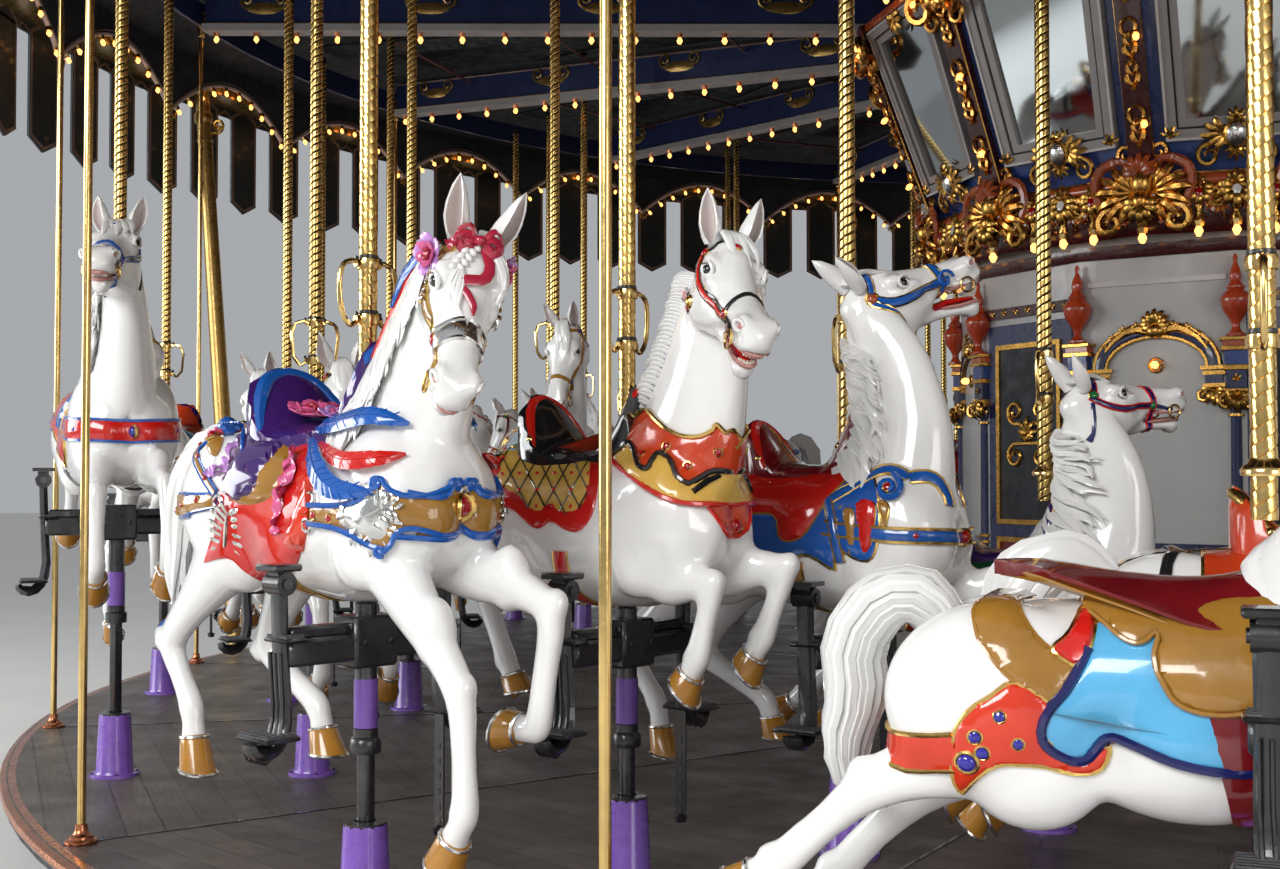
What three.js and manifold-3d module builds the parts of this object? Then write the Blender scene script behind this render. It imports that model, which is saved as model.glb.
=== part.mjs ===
// Fairground carousel with jumping horses, in millimetres, +Z up.
// Origin: on the turning axis, at ground level.
import * as THREE from "three";
import { mergeVertices } from "three/addons/utils/BufferGeometryUtils.js";
import Module from "manifold-3d";

const wasm = await Module();
wasm.setup();

// ---------------------------------------------------------------- driving dimensions
const SECTIONS = 16; // sections of the turning platform, one sweep and one rim pole each
const PITCH = 360 / SECTIONS; // degrees
const FIRST = 227.04; // angle of the first outer horse, degrees from +X
const ROW_R = [6920, 6080, 5300, 4500]; // pole circles, outer row first
const ROW_TURN = [0, 3.3, 7.7, 13.5]; // how far each row trails the outer one, degrees
const ROW_SCALE = [1, 0.96, 0.94, 0.9];
const STROKE = 400; // rise and fall of a horse

const FLOOR_Z = 360; // top of the platform
const FLOOR_T = 90;
const FLOOR_R = 7420;
const FLOOR_IN = 420;
const POLE_R = 30.5; // horse pole, and the rod under the horse
const POLE_TOP = 4930; // above the platform, at mid stroke
const ROD_LOW = 60; // lower end of the rod above the platform, at mid stroke
const COVER_IN = 4330; // the floor covering between the outer and inner rows
const COVER_OUT = 7060;
const COVER_T = 4;
const SLEEVE_H = 290;
const SLEEVE_TOP_R = 71;
const SLEEVE_LOW_R = 83;
const SLEEVE_BORE_R = 53; // centre to corner of the square bore

const RIM_R = 7272; // circle of the thin rim poles
const RIM_TURN = 10.32; // degrees after the outer horse
const RIM_POLE_R = 16.5;
const RIM_FOOT_R = 62;

const SWEEP_IN_R = 420;
const SWEEP_OUT_R = 7240;
const SWEEP_LOW_IN = 4465; // underside of a sweep above the platform, at radius 2 m
const SWEEP_SLOPE = -0.055; // the underside rises towards the rim
const SWEEP_H = 300;
const SWEEP_W = 60;
const FLANGE_W = 150;
const FLANGE_H = 60;

const MAST_R = 170;
const MAST_FOOT_R = 900;
const COLUMNS = 6;
const COLUMN_FIRST = 159;
const COLUMN_FOOT = 7760; // radius at the ground
const COLUMN_HEAD = 8190; // radius under the ring beam
const COLUMN_LOW_R = 85;
const COLUMN_HIGH_R = 62;
const BEAM_Z = 5080; // underside of the ring beam
const BEAM_H = 130;
const CANOPY_SIDES = 32;
const BOARD_AP = 8040; // apothem of the scalloped board's inner face
const BOARD_T = 20;
const BEAM_AP = [8060.4, 8319.6];
const SLAT_AP = 8320; // apothem of the slat valance's inner face
const SLAT_T = 20;
const SCALLOP_PEAK = 4790 + 360;
const SCALLOP_DIP = 4420 + 360;
const SLAT_TIP = 3800 + 360;
const SLAT_SHOULDER = 3890 + 360;
const SLOT_TOP = 4640 + 360;
const SLATS_PER_SIDE = 3;
const ROOF_EAVE_Z = 5210.4;
const ROOF_EAVE_R = 8470;
const ROOF_TOP_R = 700;
const ROOF_TOP_Z = 7900;

const CENTRE_SIDES = 12;
const CENTRE_TURN = 237.36; // a rib of the mirror casing; the house's corners lie half a side on
const DRUM_R = 1700;
const DRUM_TOP = 3150; // above the platform
const CORNICE_R = 1900;
const CORNICE_IN = 1764;
const CORNICE_LOW = 2760;
const CORNICE_TOP = 3090;
const CASING_LOW_R = 1850;
const CASING_TOP_R = 2340;
const CASING_TOP = 4440;

const COLOURS = {
  white: [0xf2f1ee, 0.18, 0],
  deck: [0x3a3532, 0.6, 0],
  brass: [0xc79a3e, 0.25, 1],
  gold: [0x9a7328, 0.4, 0.8],
  navy: [0x1c2b4a, 0.5, 0],
  pale: [0xc9c2bb, 0.5, 0],
  blue: [0x2f4d8c, 0.4, 0],
  orange: [0xb4522a, 0.4, 0.1],
  iron: [0x1a1a1c, 0.5, 0.6],
};

// ---------------------------------------------------------------- helpers
const V = (x, y, z) => new THREE.Vector3(x, y, z);
const rad = (d) => (d * Math.PI) / 180;

function solid(geometry) {
  const g = geometry.clone();
  for (const name of Object.keys(g.attributes))
    if (name !== "position") g.deleteAttribute(name);
  const m = mergeVertices(g, 1e-3);
  const s = new wasm.Manifold(
    new wasm.Mesh({
      numProp: 3,
      vertProperties: new Float32Array(m.attributes.position.array),
      triVerts: new Uint32Array(m.index.array),
    }),
  );
  if (s.volume() < 0) {
    const t = new Uint32Array(m.index.array);
    for (let i = 0; i < t.length; i += 3)
      [t[i + 1], t[i + 2]] = [t[i + 2], t[i + 1]];
    return new wasm.Manifold(
      new wasm.Mesh({
        numProp: 3,
        vertProperties: new Float32Array(m.attributes.position.array),
        triVerts: t,
      }),
    );
  }
  return s;
}

function shape(s) {
  const m = s.getMesh();
  const n = m.numProp;
  const p = new Float32Array(m.numVert * 3);
  for (let i = 0; i < m.numVert; i++)
    p.set(m.vertProperties.subarray(i * n, i * n + 3), i * 3);
  const g = new THREE.BufferGeometry();
  g.setAttribute("position", new THREE.BufferAttribute(p, 3));
  g.setIndex(new THREE.BufferAttribute(new Uint32Array(m.triVerts), 1));
  g.computeVertexNormals();
  return g;
}

const join = (list) => list.reduce((a, b) => a.add(b));

// A skin over rings of equal point count, closed at both ends.
function loft(rings) {
  const n = rings[0].length;
  const pos = [];
  const idx = [];
  for (const r of rings) for (const p of r) pos.push(p.x, p.y, p.z);
  for (let k = 0; k + 1 < rings.length; k++)
    for (let i = 0; i < n; i++) {
      const a = k * n + i;
      const b = k * n + ((i + 1) % n);
      idx.push(a, b, b + n, a, b + n, a + n);
    }
  for (let i = 1; i + 1 < n; i++) {
    idx.push(0, i + 1, i);
    const e = (rings.length - 1) * n;
    idx.push(e, e + i, e + i + 1);
  }
  const g = new THREE.BufferGeometry();
  g.setAttribute("position", new THREE.Float32BufferAttribute(pos, 3));
  g.setIndex(idx);
  return g;
}

// A ring of n points about a centre, across the direction dir, wide in y and deep across it.
function section(c, dir, wide, deep, n, turn = 0) {
  const d = dir.clone().normalize();
  const side = V(0, 1, 0);
  const up = new THREE.Vector3().crossVectors(d, side).normalize();
  const out = [];
  for (let i = 0; i < n; i++) {
    const a = turn + (2 * Math.PI * i) / n;
    out.push(
      c
        .clone()
        .addScaledVector(side, Math.cos(a) * wide)
        .addScaledVector(up, Math.sin(a) * deep),
    );
  }
  return out;
}

function limb(points, radii, n, flat = 1) {
  const rings = points.map((p, i) => {
    const a = points[Math.max(0, i - 1)];
    const b = points[Math.min(points.length - 1, i + 1)];
    return section(p, b.clone().sub(a), radii[i] * flat, radii[i], n, 0.4);
  });
  return loft(rings);
}

// An upright prism or cone frustum; angles from +X.
function upright(r0, z0, r1, z1, n, x0 = 0, y0 = 0, x1 = x0, y1 = y0, turn = 0) {
  const ring = (r, z, x, y) => {
    const out = [];
    for (let i = 0; i < n; i++) {
      const a = turn + (2 * Math.PI * i) / n;
      out.push(V(x + r * Math.cos(a), y + r * Math.sin(a), z));
    }
    return out;
  };
  return loft([ring(r0, z0, x0, y0), ring(r1, z1, x1, y1)]);
}

// A closed profile of [radius, height] pairs turned about the axis.
function turned(profile, sides, phase = 0) {
  const pts = [...profile, profile[0]].map(([r, z]) => new THREE.Vector2(r, z));
  const g = new THREE.LatheGeometry(pts, sides);
  g.rotateX(Math.PI / 2);
  g.rotateZ(phase);
  return g;
}

function material([color, roughness, metalness]) {
  return new THREE.MeshStandardMaterial({ color, roughness, metalness });
}

const carousel = new THREE.Group();
function node(name, s, colour, parent = carousel) {
  const mesh = new THREE.Mesh(
    s.isBufferGeometry ? s : shape(s),
    material(COLOURS[colour]),
  );
  mesh.name = name;
  parent.add(mesh);
  return mesh;
}

const at = (r, deg, z = 0) => V(r * Math.cos(rad(deg)), r * Math.sin(rad(deg)), z);
const acrossCorners = (apothem, n) => apothem / Math.cos(Math.PI / n);

// ---------------------------------------------------------------- the fixed frame
// Centre mast with its foot, up to the crown under the finial.
node(
  "centre_mast",
  solid(
    turned(
      [
        [0, 0],
        [MAST_FOOT_R, 0],
        [MAST_FOOT_R, 60],
        [330, 150],
        [MAST_R, 240],
        [MAST_R, ROOF_TOP_Z + 60],
        [ROOF_TOP_R + 60, ROOF_TOP_Z + 60],
        [ROOF_TOP_R - 40, ROOF_TOP_Z + 200],
        [240, ROOF_TOP_Z + 330],
        [90, ROOF_TOP_Z + 620],
        [150, ROOF_TOP_Z + 720],
        [90, ROOF_TOP_Z + 820],
        [0, ROOF_TOP_Z + 1250],
      ].slice(0, 13),
      16,
    ),
  ),
  "gold",
);

// Leaning columns and the ring beam that they carry.
const beamPhase = Math.PI / CANOPY_SIDES;
const frame = [
  solid(
    turned(
      [
        [acrossCorners(BEAM_AP[0], CANOPY_SIDES), BEAM_Z],
        [acrossCorners(BEAM_AP[1], CANOPY_SIDES), BEAM_Z],
        [acrossCorners(BEAM_AP[1], CANOPY_SIDES), BEAM_Z + BEAM_H],
        [acrossCorners(BEAM_AP[0], CANOPY_SIDES), BEAM_Z + BEAM_H],
      ],
      CANOPY_SIDES,
      beamPhase,
    ),
  ),
];
for (let i = 0; i < COLUMNS; i++) {
  const a = COLUMN_FIRST + (360 / COLUMNS) * i;
  const lo = at(COLUMN_FOOT, a);
  const hi = at(COLUMN_HEAD, a);
  frame.push(
    solid(
      upright(COLUMN_LOW_R, 20, COLUMN_HIGH_R, BEAM_Z + 40, 8, lo.x, lo.y, hi.x, hi.y),
    ),
  );
  frame.push(solid(upright(160, 0, 150, 40, 8, lo.x, lo.y)));
}
node("columns_and_ring_beam", join(frame), "gold");

// One closed skin round the whole ring from panels that meet edge to edge.
function beltOfPanels(apothem, thick, lower, top) {
  // lower: [u, z] from u = -1 to u = 1 along one side, first and last at the same height
  const n = lower.length;
  const contour = lower.map(([u, z]) => new THREE.Vector2(u, z));
  contour.push(new THREE.Vector2(1, top), new THREE.Vector2(-1, top));
  const scaled = contour.map((p) => new THREE.Vector2(p.x * 800, p.y));
  const faces = THREE.ShapeUtils.triangulateShape(scaled, []);
  const pos = [];
  const idx = [];
  const m = contour.length;
  const half = Math.tan(Math.PI / CANOPY_SIDES);
  for (let i = 0; i < CANOPY_SIDES; i++) {
    const mid = rad((360 / CANOPY_SIDES) * (i + 1));
    for (const ap of [apothem, apothem + thick])
      for (const p of contour) {
        const y = p.x * half * ap;
        pos.push(
          ap * Math.cos(mid) - y * Math.sin(mid),
          ap * Math.sin(mid) + y * Math.cos(mid),
          p.y,
        );
      }
    const b0 = i * 2 * m;
    for (const [a, b, c] of faces) {
      idx.push(b0 + a, b0 + c, b0 + b);
      idx.push(b0 + m + a, b0 + m + b, b0 + m + c);
    }
    for (let k = 0; k + 1 < n; k++)
      idx.push(b0 + k, b0 + k + 1, b0 + m + k + 1, b0 + k, b0 + m + k + 1, b0 + m + k);
    const r = n;
    const l = n + 1;
    idx.push(b0 + r, b0 + l, b0 + m + l, b0 + r, b0 + m + l, b0 + m + r);
  }
  const g = new THREE.BufferGeometry();
  g.setAttribute("position", new THREE.Float32BufferAttribute(pos, 3));
  g.setIndex(idx);
  return g;
}

// Scalloped lamp board inside the columns: one rounded arch to each side of the ring.
const arch = [];
for (let i = 0; i <= 6; i++) {
  const u = -1 + i / 3;
  const rise = i % 6 ? Math.pow(Math.cos((Math.PI / 2) * u), 0.9) : 0;
  arch.push([u, SCALLOP_DIP + (SCALLOP_PEAK - SCALLOP_DIP) * rise]);
}
node(
  "scalloped_lamp_board",
  solid(beltOfPanels(BOARD_AP, BOARD_T, arch, BEAM_Z + BEAM_H)),
  "pale",
);

// Slat valance outside the ring beam: pointed slats with slots between them.
const lower = [];
const slatHalf = 0.66 / SLATS_PER_SIDE;
for (let k = 0; k < SLATS_PER_SIDE; k++) {
  const c = -1 + (2 * k + 1) / SLATS_PER_SIDE;
  if (k === 0) lower.push([-1, SLOT_TOP]);
  lower.push([c - slatHalf, SLOT_TOP - 70]);
  lower.push([c - slatHalf, SLAT_SHOULDER]);
  lower.push([c, SLAT_TIP]);
  lower.push([c + slatHalf, SLAT_SHOULDER]);
  lower.push([c + slatHalf, SLOT_TOP - 70]);
  if (k === SLATS_PER_SIDE - 1) lower.push([1, SLOT_TOP]);
}
node(
  "slat_valance",
  solid(beltOfPanels(SLAT_AP, SLAT_T, lower, BEAM_Z + BEAM_H)),
  "navy",
);

// Cone-shaped canopy shell on the ring beam.
node(
  "canopy_roof",
  solid(
    turned(
      [
        [ROOF_EAVE_R, ROOF_EAVE_Z],
        [ROOF_EAVE_R, ROOF_EAVE_Z + 60],
        [ROOF_TOP_R, ROOF_TOP_Z + 59.6],
        [MAST_R + 10, ROOF_TOP_Z + 59.6],
        [MAST_R + 10, ROOF_TOP_Z],
        [ROOF_TOP_R - 30, ROOF_TOP_Z],
        [8100, ROOF_EAVE_Z + 125],
        [8100, ROOF_EAVE_Z],
      ],
      CANOPY_SIDES,
      beamPhase,
    ),
  ),
  "navy",
);

// ---------------------------------------------------------------- the turning frame
const horsePlaces = [];
for (let k = 0; k < SECTIONS; k++)
  for (let row = 0; row < (k % 2 ? 2 : 4); row++)
    horsePlaces.push({ k, row, angle: FIRST + PITCH * k + ROW_TURN[row] });

// Platform, bored for the horses' rods, with a shallow recess for the covering that carries the sleeves.
{
  const bores = horsePlaces.map((h) => {
    const c = at(ROW_R[h.row], h.angle);
    const t = rad(h.angle);
    return solid(
      upright(SLEEVE_BORE_R, FLOOR_Z - FLOOR_T - 50, SLEEVE_BORE_R, FLOOR_Z + SLEEVE_H + 50, 4, c.x, c.y, c.x, c.y, t),
    );
  });
  const deck = solid(
    turned(
      [
        [FLOOR_IN, FLOOR_Z - FLOOR_T],
        [FLOOR_R, FLOOR_Z - FLOOR_T],
        [FLOOR_R, FLOOR_Z],
        [COVER_OUT + 0.4, FLOOR_Z],
        [COVER_OUT + 0.4, FLOOR_Z - COVER_T - 0.3],
        [COVER_IN - 0.4, FLOOR_Z - COVER_T - 0.3],
        [COVER_IN - 0.4, FLOOR_Z],
        [FLOOR_IN, FLOOR_Z],
      ],
      48,
    ),
  );
  node("platform", deck.subtract(join(bores)), "deck");

  const cover = solid(
    turned(
      [
        [COVER_IN, FLOOR_Z - COVER_T],
        [COVER_OUT, FLOOR_Z - COVER_T],
        [COVER_OUT, FLOOR_Z],
        [COVER_IN, FLOOR_Z],
      ],
      48,
    ),
  );
  const cones = horsePlaces.map((h) => {
    const c = at(ROW_R[h.row], h.angle);
    return solid(
      upright(SLEEVE_LOW_R, FLOOR_Z - COVER_T / 2, SLEEVE_TOP_R, FLOOR_Z + SLEEVE_H, 6, c.x, c.y, c.x, c.y, rad(h.angle)),
    );
  });
  node("floor_cover_with_sleeves", cover.add(join(cones)).subtract(join(bores)), "navy");
}

// Thin rim poles between the platform and a band round the sweeps' ends.
{
  const hoopZ = FLOOR_Z + SWEEP_LOW_IN - (RIM_R - 2000) * SWEEP_SLOPE + 40;
  const list = [
    solid(
      turned(
        [
          [RIM_R - 20, hoopZ],
          [RIM_R + 20, hoopZ],
          [RIM_R + 20, hoopZ + 180],
          [RIM_R - 20, hoopZ + 180],
        ],
        3 * SECTIONS,
        rad(FIRST + RIM_TURN),
      ),
    ),
  ];
  for (let k = 0; k < SECTIONS; k++) {
    const c = at(RIM_R, FIRST + RIM_TURN + PITCH * k);
    const ring = (r, z) => {
      const out = [];
      for (let i = 0; i < 6; i++)
        out.push(V(c.x + r * Math.cos((i * Math.PI) / 3), c.y + r * Math.sin((i * Math.PI) / 3), z));
      return out;
    };
    list.push(
      solid(
        loft([
          ring(RIM_FOOT_R, FLOOR_Z + 0.4),
          ring(RIM_POLE_R, FLOOR_Z + 50),
          ring(RIM_POLE_R, hoopZ + 20),
        ]),
      ),
    );
  }
  node("rim_poles_and_hoop", join(list), "brass");
}

// Radial sweeps about a hub that turns on the mast.
{
  const list = [
    solid(
      turned(
        [
          [MAST_R + 20, FLOOR_Z + SWEEP_LOW_IN - 120],
          [520, FLOOR_Z + SWEEP_LOW_IN - 120],
          [520, FLOOR_Z + SWEEP_LOW_IN + SWEEP_H + 60],
          [MAST_R + 20, FLOOR_Z + SWEEP_LOW_IN + SWEEP_H + 60],
        ],
        16,
      ),
    ),
  ];
  const zAt = (r) => FLOOR_Z + SWEEP_LOW_IN - (r - 2000) * SWEEP_SLOPE;
  for (let k = 0; k < SECTIONS; k++) {
    const ring = (r, w, z0, z1) => [V(r, -w, z0), V(r, w, z0), V(r, w, z1), V(r, -w, z1)];
    for (const [w, z0, z1] of [
      [FLANGE_W / 2, 0, FLANGE_H],
      [SWEEP_W / 2, FLANGE_H - 10, SWEEP_H],
    ]) {
      const r0 = w > 50 ? 2075 : SWEEP_IN_R;
      const g = loft([
        ring(r0, w, zAt(r0) + z0, zAt(r0) + z1),
        ring(SWEEP_OUT_R, w, zAt(SWEEP_OUT_R) + z0, zAt(SWEEP_OUT_R) + z1),
      ]);
      g.rotateZ(rad(FIRST + RIM_TURN + PITCH * k));
      list.push(solid(g));
    }
  }
  node("sweeps_and_hub", join(list), "navy");
}

// Centre house: wall, cornice with drops, flared casing of the mirrors.
node(
  "centre_house_wall",
  solid(
    turned(
      [
        [MAST_R + 90, FLOOR_Z + 0.4],
        [DRUM_R, FLOOR_Z + 0.4],
        [DRUM_R, FLOOR_Z + DRUM_TOP],
        [MAST_R + 90, FLOOR_Z + DRUM_TOP],
      ],
      CENTRE_SIDES,
      rad(CENTRE_TURN + 180 / CENTRE_SIDES),
    ),
  ),
  "pale",
);
node(
  "carved_cornice",
  solid(
    turned(
      [
        [CORNICE_IN, FLOOR_Z + CORNICE_LOW + 40],
        [CORNICE_IN + 40, FLOOR_Z + CORNICE_LOW],
        [CORNICE_R - 40, FLOOR_Z + CORNICE_LOW + 90],
        [CORNICE_R, FLOOR_Z + CORNICE_TOP - 70],
        [CORNICE_R, FLOOR_Z + CORNICE_TOP],
        [CORNICE_IN, FLOOR_Z + CORNICE_TOP],
      ],
      CENTRE_SIDES,
      rad(CENTRE_TURN),
    ),
  ),
  "orange",
);
node(
  "mirror_casing",
  solid(
    turned(
      [
        [CORNICE_IN, FLOOR_Z + CORNICE_TOP + 0.4],
        [CASING_LOW_R, FLOOR_Z + CORNICE_TOP + 0.4],
        [CASING_TOP_R, FLOOR_Z + CASING_TOP],
        [CASING_TOP_R - 120, FLOOR_Z + CASING_TOP],
      ],
      CENTRE_SIDES,
      rad(CENTRE_TURN),
    ),
  ),
  "blue",
);

// ---------------------------------------------------------------- the horses
// Local frame: x forwards, y to the horse's left, pole on the z axis, z = 0 at the platform.
const LEGS = {
  striding: [
    [V(300, 120, 1150), V(730, 140, 1020), V(500, 140, 680)],
    [V(280, -120, 1130), V(640, -140, 800), V(500, -140, 290)],
    [V(-600, -120, 1190), V(-960, -140, 850), V(-820, -140, 350)],
    [V(-600, 120, 1190), V(-760, 140, 860), V(-560, 140, 380)],
  ],
  leaping: [
    [V(300, 120, 1150), V(720, 140, 1060), V(500, 140, 740)],
    [V(280, -120, 1130), V(660, -140, 960), V(430, -140, 640)],
    [V(-600, -120, 1190), V(-960, -140, 1010), V(-880, -140, 560)],
    [V(-600, 120, 1190), V(-900, 140, 980), V(-760, 140, 520)],
  ],
  tucked: [
    [V(300, 120, 1150), V(600, 140, 1150), V(420, 140, 830)],
    [V(280, -120, 1130), V(500, -140, 1090), V(360, -140, 800)],
    [V(-600, -120, 1190), V(-950, -140, 1040), V(-800, -140, 620)],
    [V(-600, 120, 1190), V(-900, 140, 1010), V(-720, 140, 620)],
  ],
};
// lift raises the body against the footrests' cross bar, bar raises both footrests
const KINDS = {
  a: { legs: "striding", lift: 0, bar: 0 },
  b: { legs: "leaping", lift: -200, bar: 0 },
  c: { legs: "leaping", lift: 110, bar: 110 },
  d: { legs: "tucked", lift: 0, bar: 0 },
  f: { legs: "leaping", lift: -200, bar: 200 },
};

function horse(kind, s) {
  const { legs, lift, bar: rise } = KINDS[kind];
  // Body, neck and head in one skin: [centre x, centre z, half width, half depth]
  const spine = [
    [-800, 1340, 110, 120],
    [-520, 1335, 265, 290],
    [320, 1330, 235, 290],
    [490, 1720, 120, 200],
    [570, 2030, 95, 150],
    [800, 1780, 65, 80],
  ];
  const way = [V(1, 0, 0), V(1, 0, 0), V(1, 0, 0.3), V(0.35, 0, 1), V(1, 0, 0.15), V(0.75, 0, -0.65)];
  const parts = [
    solid(loft(spine.map(([x, z, w, d], i) => section(V(x, 0, z), way[i], w, d, 5, -Math.PI / 2)))),
  ];
  LEGS[legs].forEach((p, i) =>
    parts.push(solid(limb(p, i < 2 ? [95, 68, 56] : [130, 72, 60], 3))),
  );
  parts.push(
    solid(limb([V(-700, 0, 1460), V(-1100, 0, 1280), V(-1130, 0, 760)], [60, 85, 60], 3)),
  );
  const body = join(parts).scale([s, s, s]).translate([0, 0, lift + (1 - s) * 1000]);
  // Pole and rod, and the footrests on their cross bar.
  const y = 355;
  const bar = new THREE.Shape();
  [
    [-y, 600], [y, 600], [y, 1000], [y - 50, 1000],
    [y - 50, 690], [-y + 50, 690], [-y + 50, 1000], [-y, 1000],
  ].forEach(([u, z], i) => (i ? bar.lineTo(u, z) : bar.moveTo(u, z)));
  const rest = new THREE.ExtrudeGeometry(bar, { depth: 60, bevelEnabled: false });
  // the outline's plane becomes y and z, its thickness x
  rest.applyMatrix4(new THREE.Matrix4().makeBasis(V(0, 1, 0), V(0, 0, 1), V(1, 0, 0)));
  rest.translate(-30, 0, rise);
  return body
    .add(solid(upright(POLE_R, ROD_LOW, POLE_R, POLE_TOP, 5, 0, 0)))
    .add(solid(rest));
}

// Where each horse stands in its stroke, from -1 at the bottom to 1 at the top.
function phase(k, row) {
  if (k === 0) return [0, -0.25, -0.5, -1][row];
  if (k === 1 && row === 0) return -1;
  if (k === 1 && row === 1) return -0.5;
  if (k === SECTIONS - 1 && row === 0) return 1;
  return Math.round(Math.sin(k * 2.4 + row * 1.9) * 20) / 20;
}
function kindOf(k, row) {
  if (k === 1 && row === 0) return "f";
  if (k === 0 && row === 1) return "d";
  if (row === 0) return "abac"[k % 4];
  if (row === 1) return "abcb"[k % 4];
  if (row === 2) return "aabb"[(k / 2) % 4];
  return "bcba"[(k / 2) % 4];
}

const built = new Map();
for (const { k, row, angle } of horsePlaces) {
  const kind = kindOf(k, row);
  const key = kind + row;
  if (!built.has(key)) built.set(key, shape(horse(kind, ROW_SCALE[row])));
  const name = "horse_" + "abcd"[row] + String(k + 1).padStart(2, "0");
  const mesh = node(name, built.get(key), "white");
  const c = at(ROW_R[row], angle);
  mesh.position.set(c.x, c.y, FLOOR_Z + (phase(k, row) * STROKE) / 2);
  mesh.rotation.z = rad(angle + 90);
}

export default carousel;
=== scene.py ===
import math
import random

import bpy
import numpy as np
from mathutils import Matrix, Vector
from mathutils.bvhtree import BVHTree
from mathutils.geometry import delaunay_2d_cdt


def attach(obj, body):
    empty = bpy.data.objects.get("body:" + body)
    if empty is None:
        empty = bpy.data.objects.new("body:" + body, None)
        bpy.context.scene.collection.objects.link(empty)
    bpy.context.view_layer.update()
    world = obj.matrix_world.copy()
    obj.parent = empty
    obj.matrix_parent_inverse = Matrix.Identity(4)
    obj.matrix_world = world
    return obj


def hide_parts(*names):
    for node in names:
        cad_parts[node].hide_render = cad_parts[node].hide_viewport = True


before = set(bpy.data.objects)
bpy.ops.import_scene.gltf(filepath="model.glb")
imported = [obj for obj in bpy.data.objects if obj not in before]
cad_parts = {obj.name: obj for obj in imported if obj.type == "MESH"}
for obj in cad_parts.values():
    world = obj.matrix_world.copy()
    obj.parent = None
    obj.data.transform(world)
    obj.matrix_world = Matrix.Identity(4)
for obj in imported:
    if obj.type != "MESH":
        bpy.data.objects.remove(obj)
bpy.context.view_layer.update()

RNG = random.Random(7)

# ---------------------------------------------------------------- numbers shared with the CAD model, in metres
SECTIONS, PITCH, FIRST = 16, 22.5, 227.04
ROW_R = [6.92, 6.08, 5.30, 4.50]
ROW_TURN = [0, 3.3, 7.7, 13.5]
ROW_SCALE = [1, 0.96, 0.94, 0.9]
FLOOR = 0.36
RIM_R, RIM_TURN = 7.272, 10.32
SIDES = 32


def rad(d):
    return d * math.pi / 180


def unit(v):
    v = np.asarray(v, float)
    return v / (np.linalg.norm(v, axis=-1, keepdims=True) + 1e-12)


# ---------------------------------------------------------------- materials
MATS = {}


def nodes_of(name):
    m = bpy.data.materials.new(name)
    m.use_nodes = True
    nt = m.node_tree
    bsdf = nt.nodes["Principled BSDF"]
    return m, nt, bsdf


def link(nt, a, b):
    nt.links.new(a, b)


def noise(nt, scale, detail=3.0, rough=0.55, stretch=None):
    co = nt.nodes.new("ShaderNodeTexCoord")
    n = nt.nodes.new("ShaderNodeTexNoise")
    n.inputs["Scale"].default_value = scale
    n.inputs["Detail"].default_value = detail
    n.inputs["Roughness"].default_value = rough
    if stretch:
        mp = nt.nodes.new("ShaderNodeMapping")
        mp.inputs["Scale"].default_value = stretch
        link(nt, co.outputs["Object"], mp.inputs["Vector"])
        link(nt, mp.outputs["Vector"], n.inputs["Vector"])
    else:
        link(nt, co.outputs["Object"], n.inputs["Vector"])
    return n


def ramp(nt, fac, stops):
    r = nt.nodes.new("ShaderNodeValToRGB")
    e = r.color_ramp.elements
    e[0].position, e[0].color = stops[0][0], (*stops[0][1], 1)
    e[1].position, e[1].color = stops[-1][0], (*stops[-1][1], 1)
    for p, c in stops[1:-1]:
        x = e.new(p)
        x.color = (*c, 1)
    link(nt, fac, r.inputs["Fac"])
    return r


def span(nt, fac, lo, hi, a=0.3, b=0.7):
    m = nt.nodes.new("ShaderNodeMapRange")
    m.inputs["From Min"].default_value = a
    m.inputs["From Max"].default_value = b
    m.inputs["To Min"].default_value = lo
    m.inputs["To Max"].default_value = hi
    link(nt, fac, m.inputs["Value"])
    return m


def bump(nt, height, strength, dist, normal_in):
    b = nt.nodes.new("ShaderNodeBump")
    b.inputs["Strength"].default_value = strength
    b.inputs["Distance"].default_value = dist
    link(nt, height, b.inputs["Height"])
    link(nt, b.outputs["Normal"], normal_in)
    return b


def paint(name, colour, rough=0.2, metal=0.0, coat=0.6, vary=0.10, scale=9.0, bumps=0.05, bump_scale=60.0, dirt=0.0, crease_shade_colour=(0.33, 0.31, 0.30)):
    """Enamel, gilt or varnish: a colour that drifts a little, uneven roughness and a fine brushed skin."""
    m, nt, b = nodes_of(name)
    n = noise(nt, scale)
    c = np.array(colour)
    lo, hi = c * (1 - vary), np.minimum(c * (1 + vary), 1)
    r = ramp(nt, n.outputs["Fac"], [(0.35, tuple(lo)), (0.65, tuple(hi))])
    out = r.outputs["Color"]
    # the hollowness attribute mixes in the darker second colour: painted shade in creases and hollows
    if dirt:
        at = nt.nodes.new("ShaderNodeAttribute")
        at.attribute_name = "dirt"
        mx = nt.nodes.new("ShaderNodeMix")
        mx.data_type = "RGBA"
        mx.inputs["B"].default_value = (*crease_shade_colour, 1)
        mr = nt.nodes.new("ShaderNodeMath")
        mr.operation = "MULTIPLY"
        mr.inputs[1].default_value = dirt
        link(nt, at.outputs["Fac"], mr.inputs[0])
        link(nt, mr.outputs[0], mx.inputs["Factor"])
        link(nt, out, mx.inputs["A"])
        out = mx.outputs["Result"]
    link(nt, out, b.inputs["Base Color"])
    n2 = noise(nt, scale * 3.1, 4)
    s = span(nt, n2.outputs["Fac"], rough * 0.75, rough * 1.35)
    link(nt, s.outputs["Result"], b.inputs["Roughness"])
    b.inputs["Metallic"].default_value = metal
    b.inputs["Coat Weight"].default_value = coat
    b.inputs["Coat Roughness"].default_value = 0.04
    if bumps:
        n3 = noise(nt, bump_scale, 2)
        bump(nt, n3.outputs["Fac"], bumps, 0.004, b.inputs["Normal"])
    MATS[name] = m
    return m


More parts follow.
